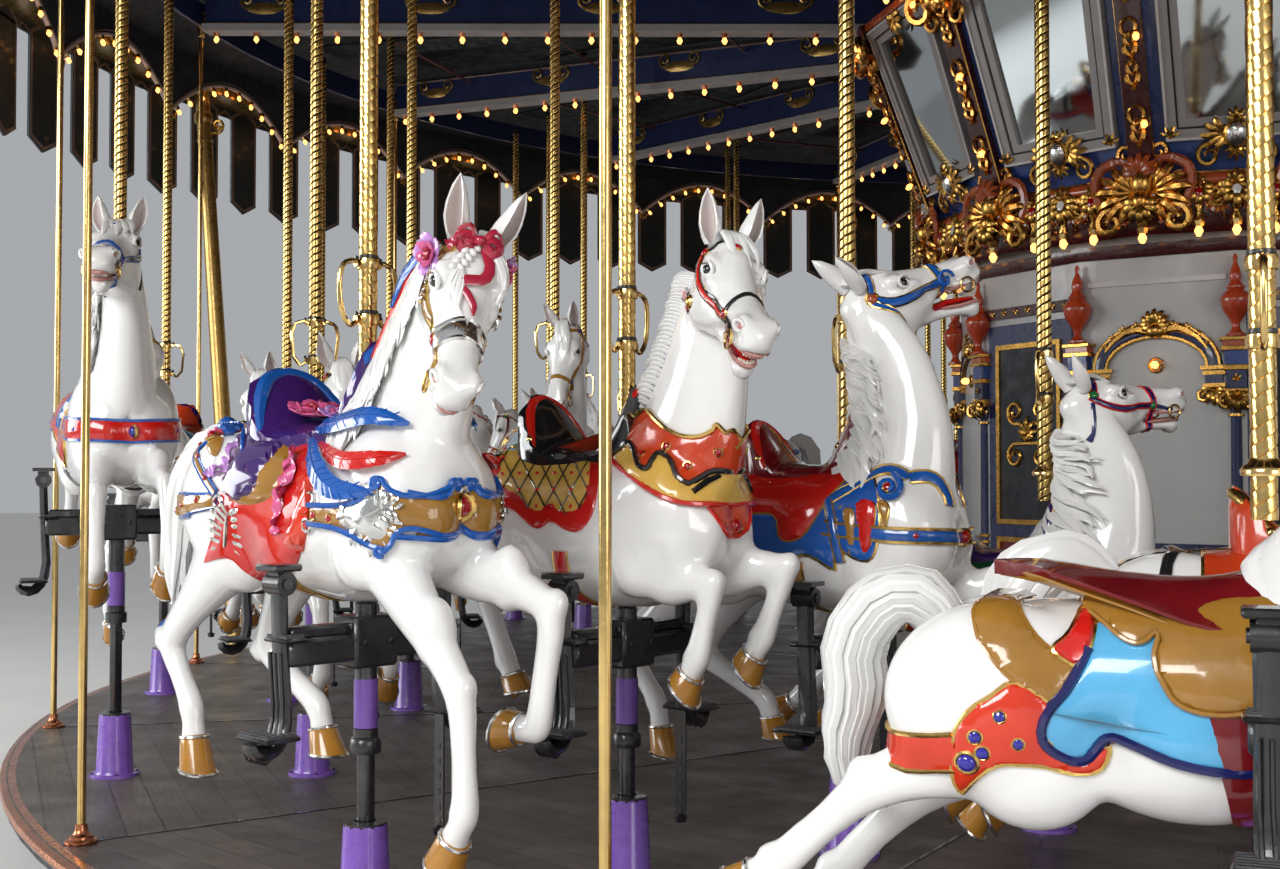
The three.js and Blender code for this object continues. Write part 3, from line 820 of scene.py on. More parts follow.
def strap(P, tree, ctrl, width, thick, mat, edge=None, er=0.005, step=0.025, across=4, w_end=None):
    """A band that lies on the body along control points near it."""
    c = np.asarray(ctrl, float)
    L = np.linalg.norm(np.diff(c, axis=0), axis=1).sum()
    n = max(4, int(L / step) + 1)
    pts = spline(c, n)
    hit = [near(tree, p) for p in pts]
    S = np.array([h[0] for h in hit])
    N = unit(np.array([h[1] for h in hit]))
    for _ in range(2):
        S[1:-1] = 0.25 * S[:-2] + 0.5 * S[1:-1] + 0.25 * S[2:]
        N[1:-1] = unit(0.25 * N[:-2] + 0.5 * N[1:-1] + 0.25 * N[2:])
    T = unit(np.gradient(S, axis=0))
    B = unit(np.cross(N, T))
    w = width(np.linspace(0, 1, n)) if callable(width) else np.broadcast_to(np.asarray(width, float), (n,)) if w_end is None else np.linspace(width, w_end, n)
    rows = []
    us = np.linspace(-0.5, 0.5, across + 1)
    for u in us:
        row = []
        for i in range(n):
            q = S[i] + B[i] * w[i] * u
            loc, nor = near(tree, q)
            h = thick * (0.55 if abs(u) > 0.49 else 1.0)
            row.append(loc + N[i] * h)
        rows.append(row)
    low = []
    for u in (-0.5, 0.5):
        low.append([near(tree, S[i] + B[i] * w[i] * u)[0] - N[i] * 0.004 for i in range(n)])
    grid = np.array([low[0]] + rows + [low[1]])  # (k, n, 3)
    k = len(grid)
    V = grid.transpose(1, 0, 2).reshape(-1, 3)
    F = []
    for i in range(n - 1):
        for j in range(k - 1):
            F.append((i * k + j, (i + 1) * k + j, (i + 1) * k + j + 1, i * k + j + 1))
    a = np.cross(V[F[k // 2][1]] - V[F[k // 2][0]], V[F[k // 2][2]] - V[F[k // 2][0]])
    if a @ N[0] < 0:
        F = [f[::-1] for f in F]
    P.add((V, F), mat)
    if edge:
        for r in (rows[0], rows[-1]):
            bead(P, r, er, edge)
    return S, N, B


def gem(P, tree, p, r, mat, ring=None, flatness=0.6):
    loc, nor = near(tree, p)
    z = unit(nor)
    x = unit(np.cross(z, (0.3, 0.2, 1)))
    y = np.cross(z, x)
    R = np.stack([x, y, z], 1)
    P.add(ball(loc + z * r * 0.25, (r, r, r * flatness), 8, 6, R), mat)
    if ring:
        a = np.linspace(0, 2 * math.pi, 13)[:-1]
        bead(P, [loc + (x * math.cos(t) + y * math.sin(t)) * r * 1.15 + z * r * 0.1 for t in a], r * 0.28, ring, closed=True, sides=4)


def lock(path, w, t, n=10, sides=6, up=(0, 0, 1), wave=0.0, seed=0, ridge=0.0):
    """One lock of carved hair: a flattened strand that thins to its tip."""
    c = spline(path, n)
    k = np.linspace(0, 1, n)
    if wave:
        r = random.Random(seed)
        ph = r.random() * 6.28
        T, S, U = frames(c, up)
        c = c + S * (np.sin(k * 9 + ph) * wave * k)[:, None]
    prof = np.clip(np.sin(np.pi * np.clip(0.16 + 0.84 * k, 0, 1)) ** 0.75, 0.06, 1)
    return sweep(c, w * prof, t * prof, sides, up)


def feather(P, path, w, mat, rib=None, n=14, up=(0, 0, 1), flip=False):
    """A carved feather: a leaf with a raised quill and notched barbs."""
    c = spline(path, n)
    k = np.linspace(0, 1, n)
    T, S, U = frames(c, up)
    prof = np.sin(np.pi * np.clip(0.08 + 0.9 * k, 0, 1)) ** 0.6
    notch = 1 - 0.10 * (np.arange(n) % 2)
    W = (w * prof * notch)[:, None]
    th = w * 0.22
    rows = [c - S * W, c - S * W * 0.5 + U * th * 0.6, c + U * th, c + S * W * 0.5 + U * th * 0.6, c + S * W, c + S * W * 0.5 - U * th * 0.5, c - U * th * 0.7, c - S * W * 0.5 - U * th * 0.5]
    V = np.stack(rows, 1).reshape(-1, 3)
    P.add((V, ring_faces(n, 8)), mat)
    if rib:
        bead(P, c + U * th * 1.0, w * 0.07, rib, sides=4)


def petal_flower(P, c, nrm, r, outer, inner, heart, petals=6):
    z = unit(nrm)
    x = unit(np.cross(z, (0.2, 0.1, 1)))
    y = np.cross(z, x)
    for ring_r, tilt, size, mat, cnt, off in ((0.62, 0.35, 0.46, outer, petals, 0), (0.38, 0.75, 0.34, inner, 5, 0.4), (0.16, 1.15, 0.2, heart, 3, 0.9)):
        for i in range(cnt):
            a = 2 * math.pi * i / cnt + off
            rd = x * math.cos(a) + y * math.sin(a)
            ta = -x * math.sin(a) + y * math.cos(a)
            ax = rd * math.cos(tilt) + z * math.sin(tilt)
            nn = np.cross(ax, ta)
            R = np.stack([ax, ta, nn], 1)
            P.add(ball(c + rd * r * ring_r + z * r * 0.15 * (1 + tilt), (r * size, r * size * 0.95, r * 0.10), 8, 5, R), mat)
    P.add(ball(c + z * r * 0.3, r * 0.16, 6, 5), heart)

# ---------------------------------------------------------------- the carved horse
V3 = lambda *a: np.array(a, float)
LEFT = V3(0, 1, 0)


def head_matrix(poll, pitch, yaw, roll=0.0, s=1.0):
    p, w = rad(pitch), rad(yaw)
    X = V3(math.cos(p) * math.cos(w), math.cos(p) * math.sin(w), -math.sin(p))
    Y = V3(-math.sin(w), math.cos(w), 0)
    Z = np.cross(X, Y)
    if roll:
        c, d = math.cos(rad(roll)), math.sin(rad(roll))
        Y, Z = Y * c + Z * d, Z * c - Y * d
    M = np.eye(4)
    M[:3, 0], M[:3, 1], M[:3, 2], M[:3, 3] = X * s, Y * s, Z * s, np.asarray(poll, float)
    return M


def at(M, pts):
    pts = np.asarray(pts, float)
    return pts @ M[:3, :3].T + M[:3, 3]


def oval_rings(stations, sides=18, sq=0.9):
    """Loft along x of (x, top, bottom, half width[, y])."""
    a = np.arange(sides) * 2 * math.pi / sides
    c, s = np.cos(a), np.sin(a)
    c = np.sign(c) * np.abs(c) ** sq
    s = np.sign(s) * np.abs(s) ** sq
    V = []
    for st in stations:
        x, zt, zb, w = st[:4]
        y = st[4] if len(st) > 4 else 0
        for i in range(sides):
            V.append((x, y + w * c[i], (zt + zb) / 2 + (zt - zb) / 2 * s[i]))
    return np.array(V), [f[::-1] for f in ring_faces(len(stations), sides)]


def polyline(points, keys, per=10, passes=4):
    """Even samples along straight runs with rounded corners, and values carried along them."""
    P, R = [], []
    for i in range(len(points) - 1):
        a, b = np.asarray(points[i], float), np.asarray(points[i + 1], float)
        ks = keys[i]
        t = np.linspace(0, 1, per, endpoint=False) if i < len(points) - 2 else np.linspace(0, 1, per + 1)
        for u in t:
            P.append(a + (b - a) * u)
            R.append([np.interp(u, [k[0] for k in ks], [k[j] for k in ks]) for j in (1, 2)])
    P, R = np.array(P), np.array(R)
    for _ in range(passes):
        P[1:-1] = 0.25 * P[:-2] + 0.5 * P[1:-1] + 0.25 * P[2:]
        R[1:-1] = 0.25 * R[:-2] + 0.5 * R[1:-1] + 0.25 * R[2:]
    return P, R


FORE = [[(0, 0.10, 0.125), (1, 0.092, 0.115)], [(0, 0.092, 0.115), (0.35, 0.07, 0.09), (0.7, 0.05, 0.062), (0.9, 0.046, 0.052), (1, 0.048, 0.054)],
        [(0, 0.048, 0.054), (0.15, 0.041, 0.047), (0.5, 0.031, 0.038), (0.82, 0.034, 0.042), (1, 0.042, 0.050)], [(0, 0.042, 0.050), (0.5, 0.035, 0.039), (1, 0.044, 0.048)]]
HIND = [[(0, 0.12, 0.18), (1, 0.115, 0.17)], [(0, 0.115, 0.17), (0.3, 0.085, 0.115), (0.6, 0.058, 0.072), (0.88, 0.045, 0.055), (1, 0.046, 0.062)],
        [(0, 0.046, 0.062), (0.15, 0.042, 0.052), (0.5, 0.034, 0.041), (0.82, 0.036, 0.044), (1, 0.043, 0.051)], [(0, 0.043, 0.051), (0.5, 0.036, 0.040), (1, 0.045, 0.049)]]


def limb(A, K, F, H, hind, shapes, sides=14):
    A, K, F, H = (np.asarray(v, float) for v in (A, K, F, H))
    C = F + (H - F) * 0.5
    y = np.sign(A[1])
    if hind:
        pts = [A + V3(-0.03, 0, 0.12), A + V3(0.05, y * 0.01, -0.02), K, F, C]
        keys = HIND
    else:
        pts = [A + V3(-0.01, 0, 0.10), A + V3(0.01, 0, -0.02), K, F, C]
        keys = FORE
    P, R = polyline(pts, keys)
    shapes.append(sweep(P, R[:, 0], R[:, 1], sides, side=LEFT))
    up = unit(K - pts[1])
    low = unit(F - K)
    fr = unit(np.cross(up, LEFT))
    fl = unit(np.cross(low, LEFT))
    if hind:
        shapes.append(ball(K - unit(fr + fl) * 0.042 - low * 0.012, (0.034, 0.030, 0.040), 10, 8))
        shapes.append(ball(K - unit(fr + fl) * 0.01, (0.050, 0.046, 0.055), 10, 8))
        shapes.append(sweep(spline([A + (K - A) * 0.55 - fr * 0.05, A + (K - A) * 0.8 - fr * 0.052, K - unit(fr + fl) * 0.045], 6), 0.02, 0.02, 8, side=LEFT))
    else:
        shapes.append(ball(K + unit(fr + fl) * 0.008, (0.043, 0.044, 0.050), 10, 8))
        shapes.append(ball(K - up * 0.20 + fr * 0.02, (0.07, 0.066, 0.11), 10, 8))
    shapes.append(ball(F - fl * 0.014 - low * 0.002, (0.046, 0.042, 0.046), 10, 8))
    shapes.append(ball(F - fl * 0.042 + low * 0.012, (0.020, 0.022, 0.024), 8, 6))
    for yy in (-1, 1):  # tendons and the cannon's splint
        shapes.append(sweep([K + low * 0.05 - fl * 0.032 + LEFT * yy * 0.010, F - low * 0.03 - fl * 0.034 + LEFT * yy * 0.010], 0.012, 0.014, 6, side=LEFT))


def hoof(P, F, H, horn="ochre_hoof", rim="silver_leaf", sides=16):
    F, H = np.asarray(F, float), np.asarray(H, float)
    a = unit(H - F)
    sd = unit(LEFT - a * (LEFT @ a))
    f = unit(np.cross(a, sd))
    C = F + (H - F) * 0.47
    ang = np.arange(sides) * 2 * math.pi / sides
    L = np.linalg.norm(H - C)
    rows = []
    for k, (t, rs, rf, tilt, off) in enumerate([(-0.06, 0.042, 0.045, 0.0, 0), (0.0, 0.0475, 0.051, 0.004, 0.001), (0.12, 0.0505, 0.055, 0.008, 0.003), (0.55, 0.0565, 0.063, 0.014, 0.007), (1.0, 0.062, 0.070, 0.020, 0.012)]):
        c = C + a * L * t + f * off
        heel = 1 - 0.10 * np.clip(-np.cos(ang), 0, 1) ** 2
        rows.append(c + np.outer(np.cos(ang) * rf * heel, f) + np.outer(np.sin(ang) * rs, sd) + np.outer(np.cos(ang) * tilt, a))
    c = C + a * L * 1.0 + f * 0.012
    rows.append(c + np.outer(np.cos(ang) * 0.056, f) + np.outer(np.sin(ang) * 0.048, sd) + np.outer(np.cos(ang) * 0.018, a) + a * 0.002)
    rows.append(c + np.outer(np.cos(ang) * 0.050, f) + np.outer(np.sin(ang) * 0.042, sd) + np.outer(np.cos(ang) * 0.016, a) - a * 0.010)
    V = np.array(rows).reshape(-1, 3)
    P.add((V, ring_faces(len(rows), sides)), horn)
    bead(P, rows[4] - a * 0.004, 0.0065, rim, closed=True, sides=6)
    bead(P, rows[1] - a * 0.002, 0.0058, rim, closed=True, sides=6)
    # frog
    P.add(sweep([c - f * 0.045 - a * 0.006, c + f * 0.02 - a * 0.002], [0.018, 0.006], [0.010, 0.004], 6, side=sd), horn)


def ear(P, M, base, tip, open_dir, width=0.036, out="white_enamel", inn="ear_inside", n=9, k=9):
    """A cupped leaf: outer skin and inner skin joined along its rim, in head coordinates."""
    base, tip = np.asarray(base, float), np.asarray(tip, float)
    ax = unit(tip - base)
    o = unit(np.asarray(open_dir, float) - ax * (np.asarray(open_dir, float) @ ax))
    b = np.cross(ax, o)
    L = np.linalg.norm(tip - base)
    t = np.linspace(0, 1, n)
    w = width * np.clip(np.interp(t, [0, 0.15, 0.4, 0.7, 0.9, 1], [0.72, 0.9, 1.0, 0.72, 0.34, 0.03]), 0, 2)
    span_ = np.interp(t, [0, 0.2, 1], [2.9, 2.3, 1.9])  # half opening of the wall in radians, from the back
    bend = -o * 1.0
    outer, inner = [], []
    for i in range(n):
        c = base + ax * L * t[i] + o * (0.012 * math.sin(math.pi * t[i]))
        aa = np.linspace(-span_[i], span_[i], k)
        for q in aa:
            d = bend * math.cos(q) + b * math.sin(q)
            outer.append(c + d * w[i])
            inner.append(c + d * max(w[i] - 0.0065, w[i] * 0.55) + ax * (0.004 if i == 0 else 0) - ax * (0.006 if i == n - 1 else 0))
    V = at(M, np.array(outer + inner))
    m = n * k
    Fo, Fi = [], []
    for i in range(n - 1):
        for j in range(k - 1):
            q = (i * k + j, i * k + j + 1, (i + 1) * k + j + 1, (i + 1) * k + j)
            Fo.append(q)
            Fi.append(tuple(m + v for v in q[::-1]))
        for j, sgn in ((0, 1), (k - 1, -1)):
            q = (i * k + j, (i + 1) * k + j, m + (i + 1) * k + j, m + i * k + j)
            Fo.append(q if sgn > 0 else q[::-1])
    for i, sgn in ((0, -1), (n - 1, 1)):
        for j in range(k - 1):
            q = (i * k + j, i * k + j + 1, m + i * k + j + 1, m + i * k + j)
            Fo.append(q if sgn > 0 else q[::-1])
    # the way round is settled by the first face
    v0, v1, v2 = (V[q] for q in Fo[0][:3])
    mid = at(M, base + ax * L * 0.3)
    if np.cross(v1 - v0, v2 - v0) @ (v0 - mid) < 0:
        Fo = [q[::-1] for q in Fo]
        Fi = [q[::-1] for q in Fi]
    keep = len(P.mats)
    P.add((V, Fo), out)
    P.n -= 0
    # the lining shares the points by position only
    P.add((V[m:], [tuple(v - m for v in q) for q in Fi]), inn)


HEAD = [(-0.075, 0.00, -0.05, 0.03), (-0.05, 0.035, -0.075, 0.058), (0.0, 0.066, -0.115, 0.078), (0.05, 0.085, -0.16, 0.092), (0.10, 0.092, -0.195, 0.104), (0.15, 0.088, -0.20, 0.108),
        (0.20, 0.078, -0.19, 0.098), (0.27, 0.064, -0.145, 0.078), (0.33, 0.052, -0.085, 0.066), (0.40, 0.047, -0.060, 0.062), (0.46, 0.046, -0.055, 0.064),
        (0.51, 0.040, -0.056, 0.060), (0.545, 0.020, -0.055, 0.048), (0.563, -0.012, -0.050, 0.026)]


def head_shapes(M, gape=0.03, shapes=None):
    h = []
    h.append(oval_rings(HEAD, 18, 0.92))
    for y in (-1, 1):
        h.append(ball((0.115, y * 0.050, -0.105), (0.105, 0.056, 0.098), 14, 10))  # cheek
        h.append(ball((0.135, y * 0.080, 0.050), (0.050, 0.030, 0.026), 10, 8))  # brow
        h.append(ball((0.195, y * 0.086, 0.012), (0.055, 0.022, 0.022), 10, 8))  # under the eye
        h.append(sweep(spline([(0.20, y * 0.088, 0.0), (0.27, y * 0.074, -0.008), (0.36, y * 0.058, -0.005)], 8), [0.014] * 6 + [0.010, 0.006], None, 8))
        h.append(ball((0.492, y * 0.046, 0.010), (0.044, 0.028, 0.036), 12, 8))  # nostril
        h.append(ball((0.525, y * 0.030, -0.036), (0.034, 0.030, 0.024), 10, 8))  # upper lip
        h.append(sweep(spline([(0.40, y * 0.050, -0.052), (0.47, y * 0.054, -0.058), (0.53, y * 0.036, -0.058)], 6), 0.012, 0.010, 8))
    h.append(ball((0.09, 0, 0.075), (0.10, 0.060, 0.026), 12, 8))
    # lower jaw: two bars that meet at the chin
    g = gape
    jaw = [(0.17, -0.10, -0.175, 0.052), (0.24, -0.098 - 0.1 * g, -0.162 - 0.15 * g, 0.046), (0.31, -0.088 - 0.4 * g, -0.136 - 0.45 * g, 0.040), (0.38, -0.078 - 0.7 * g, -0.118 - 0.75 * g, 0.038),
           (0.44, -0.074 - 0.9 * g, -0.114 - 0.95 * g, 0.040), (0.485, -0.068 - g, -0.116 - g, 0.041), (0.520, -0.070 - g, -0.104 - g, 0.030)]
    h.append(oval_rings(jaw, 14, 0.9))
    h.append(ball((0.485, 0, -0.108 - g), (0.040, 0.034, 0.026), 10, 8))
    out = [(at(M, v), f) for v, f in h]
    if shapes is not None:
        shapes += out
    return out


def head_dents(M):
    d = []
    for y in (-1, 1):
        d.append((at(M, (0.165, y * 0.105, 0.030)), 0.030, -0.010))
        d.append((at(M, (0.505, y * 0.066, 0.012)), 0.022, -0.020))
        d.append((at(M, (0.27, y * 0.075, -0.045)), 0.050, -0.010))
        d.append((at(M, (0.34, y * 0.062, 0.030)), 0.060, -0.006))
        d.append((at(M, (0.085, y * 0.085, 0.055)), 0.030, -0.008))
        d.append((at(M, (0.42, y * 0.066, -0.020)), 0.045, -0.006))
        d.append((at(M, (0.03, y * 0.09, -0.06)), 0.035, -0.010))
    return d


def face_parts(P, M, gape=0.03, tongue=False, lips="gum_pink", teeth=True, fine=True):
    """Eyes, lids, nostril rims, lips and teeth."""
    g = gape
    for y in (-1, 1):
        c = at(M, (0.166, y * 0.0935, 0.031))
        P.add(ball(c, 0.0215, 12, 9), "black_gloss")
        nrm = unit(at(M, (0.166 + 0.35, y * 1.0, 0.031 + 0.25)) - at(M, (0.166, 0, 0.031)))
        X, Z = M[:3, 0] / np.linalg.norm(M[:3, 0]), M[:3, 2] / np.linalg.norm(M[:3, 2])
        u = unit(X - nrm * (X @ nrm))
        w = np.cross(nrm, u)
        a = np.linspace(0, 2 * math.pi, 15)[:-1]
        ring = [c + nrm * 0.0085 + (u * math.cos(t) * 0.0255 + w * math.sin(t) * 0.0195) for t in a]
        bead(P, ring, 0.0075, "white_enamel", closed=True, sides=6)
        top = 1 if w @ Z > 0 else -1
        arc = [c + nrm * (0.010 + 0.004 * math.sin(t)) + u * math.cos(t) * 0.029 + w * top * (math.sin(t) * 0.026 + 0.002) for t in np.linspace(0.15, math.pi - 0.15, 8)]
        P.add(sweep(arc, [0.004, 0.008, 0.009, 0.010, 0.010, 0.009, 0.008, 0.004], 0.006, 6), "white_enamel")
        if fine:
            lash = [c + nrm * 0.016 + u * math.cos(t) * 0.0245 + w * top * math.sin(t) * 0.018 for t in np.linspace(0.1, math.pi - 0.1, 8)]
            bead(P, lash, 0.0022, "black_gloss", sides=4)
        n0 = at(M, (0.505, y * 0.0665, 0.012))
        rim = at(M, [(0.505 + 0.021 * math.cos(t), y * (0.066 - 0.010 * math.cos(t)), 0.012 + 0.017 * math.sin(t)) for t in np.linspace(0.3, 2 * math.pi - 0.6, 12)])
        P.add(sweep(rim, [0.003] + [0.0065] * 10 + [0.003], None, 6), "white_enamel")
        P.add(ball(at(M, (0.505, y * 0.058, 0.010)), (0.015, 0.010, 0.013), 8, 6), "gum_pink")
    up = [(0.36, 0.046, -0.062), (0.44, 0.050, -0.064), (0.51, 0.040, -0.062), (0.548, 0.018, -0.060), (0.552, 0, -0.060), (0.548, -0.018, -0.060), (0.51, -0.040, -0.062), (0.44, -0.050, -0.064), (0.36, -0.046, -0.062)]
    P.add(sweep(at(M, spline(up, 18)), [0.004] + [0.0085] * 16 + [0.004], None, 6), lips)
    lo = [(0.34, 0.036, -0.088 - 0.5 * g), (0.42, 0.036, -0.076 - 0.85 * g), (0.49, 0.034, -0.068 - g), (0.519, 0.014, -0.070 - g), (0.522, 0, -0.070 - g), (0.519, -0.014, -0.070 - g), (0.49, -0.034, -0.068 - g), (0.42, -0.036, -0.076 - 0.85 * g), (0.34, -0.036, -0.088 - 0.5 * g)]
    P.add(sweep(at(M, spline(lo, 18)), [0.004] + [0.008] * 16 + [0.004], None, 6), lips)
    # roof and floor of the mouth
    P.add((lambda s: (at(M, s[0]), s[1]))(oval_rings([(0.26, -0.088, -0.130, 0.03), (0.34, -0.056, -0.075, 0.042), (0.45, -0.052, -0.064, 0.046), (0.54, -0.050, -0.060, 0.022)], 8)), "crimson" if tongue else lips)
    P.add((lambda s: (at(M, s[0]), s[1]))(oval_rings([(0.26, -0.100, -0.14, 0.03), (0.34, -0.079 - 0.5 * g, -0.10 - 0.5 * g, 0.032), (0.43, -0.069 - 0.85 * g, -0.09 - 0.85 * g, 0.032), (0.505, -0.065 - g, -0.085 - g, 0.024)], 8)), "crimson" if tongue else lips)
    if tongue:
        P.add((lambda s: (at(M, s[0]), s[1]))(oval_rings([(0.30, -0.074 - 0.4 * g, -0.10 - 0.4 * g, 0.014), (0.38, -0.060 - 0.55 * g, -0.080 - 0.6 * g, 0.024), (0.46, -0.058 - 0.75 * g, -0.074 - 0.8 * g, 0.024), (0.505, -0.066 - 0.8 * g, -0.078 - 0.85 * g, 0.014)], 10)), "scarlet")
    if teeth:
        for i in range(-3, 4):
            a = i * 0.38
            P.add(ball(at(M, (0.522 + 0.018 * math.cos(a), 0.034 * math.sin(a), -0.064)), (0.0065, 0.0065, 0.013), 6, 5), "tooth")
            P.add(ball(at(M, (0.494 + 0.018 * math.cos(a), 0.028 * math.sin(a), -0.066 - g)), (0.006, 0.006, 0.012), 6, 5), "tooth")


TORSO = [(-0.86, 1.345, 1.255, 0.055), (-0.82, 1.44, 1.14, 0.135), (-0.75, 1.51, 1.07, 0.205), (-0.65, 1.552, 1.05, 0.250), (-0.55, 1.565, 1.05, 0.266), (-0.45, 1.568, 1.045, 0.266), (-0.30, 1.555, 1.02, 0.258),
         (-0.15, 1.540, 1.00, 0.252), (0.0, 1.540, 0.99, 0.250), (0.12, 1.565, 1.00, 0.243), (0.24, 1.60, 1.03, 0.232), (0.34, 1.58, 1.07, 0.212), (0.42, 1.52, 1.12, 0.172), (0.465, 1.44, 1.20, 0.110)]
LEAN = [(-0.80, 1.36, 1.27, 0.055), (-0.77, 1.43, 1.18, 0.13), (-0.71, 1.475, 1.12, 0.19), (-0.62, 1.50, 1.10, 0.230), (-0.50, 1.51, 1.11, 0.240), (-0.38, 1.515, 1.14, 0.238), (-0.26, 1.52, 1.135, 0.236),
        (-0.12, 1.528, 1.09, 0.238), (0.0, 1.54, 1.05, 0.240), (0.12, 1.565, 1.03, 0.238), (0.24, 1.60, 1.04, 0.230), (0.34, 1.58, 1.07, 0.212), (0.42, 1.52, 1.12, 0.172), (0.465, 1.44, 1.20, 0.110)]
NECK = [(0.20, 0, 1.40, 0.175, 0.28), (0.33, 0, 1.58, 0.135, 0.235), (0.43, 0, 1.77, 0.105, 0.195), (0.49, -0.01, 1.93, 0.088, 0.165), (0.52, -0.02, 2.05, 0.078, 0.135), (0.515, -0.02, 2.12, 0.07, 0.10)]
LEGS = {
    "striding": dict(RF=((.27, -.12, 1.16), (.64, -.14, .79), (.66, -.14, .44), (.55, -.14, .27)), LF=((.30, .12, 1.15), (.73, .14, 1.02), (.66, .14, .64), (.50, .14, .64)),
                     RH=((-.58, -.13, 1.20), (-.985, -.14, .81), (-.82, -.14, .59), (-.79, -.14, .365)), LH=((-.58, .12, 1.19), (-.80, .14, .77), (-.46, .14, .60), (-.41, .14, .43))),
    "leaping": dict(RF=((.28, -.12, 1.14), (.62, -.14, 1.02), (.66, -.14, .70), (.52, -.14, .60)), LF=((.30, .12, 1.14), (.70, .14, 1.06), (.80, .14, .76), (.68, .14, .62)),
                    RH=((-.56, -.13, 1.22), (-.89, -.14, 1.06), (-1.10, -.14, .86), (-1.24, -.14, .78)), LH=((-.56, .12, 1.20), (-.84, .14, .98), (-1.02, .14, .78), (-1.14, .14, .68))),
    "tucked": dict(RF=((.28, -.12, 1.14), (.50, -.14, 1.11), (.43, -.14, .85), (.36, -.14, .745)), LF=((.30, .12, 1.15), (.61, .14, 1.16), (.50, .14, .90), (.42, .14, .79)),
                   RH=((-.58, -.13, 1.19), (-.93, -.14, 1.02), (-.80, -.14, .74), (-.73, -.14, .61)), LH=((-.58, .12, 1.19), (-.88, .14, 1.00), (-.75, .14, .73), (-.68, .14, .60))),
}


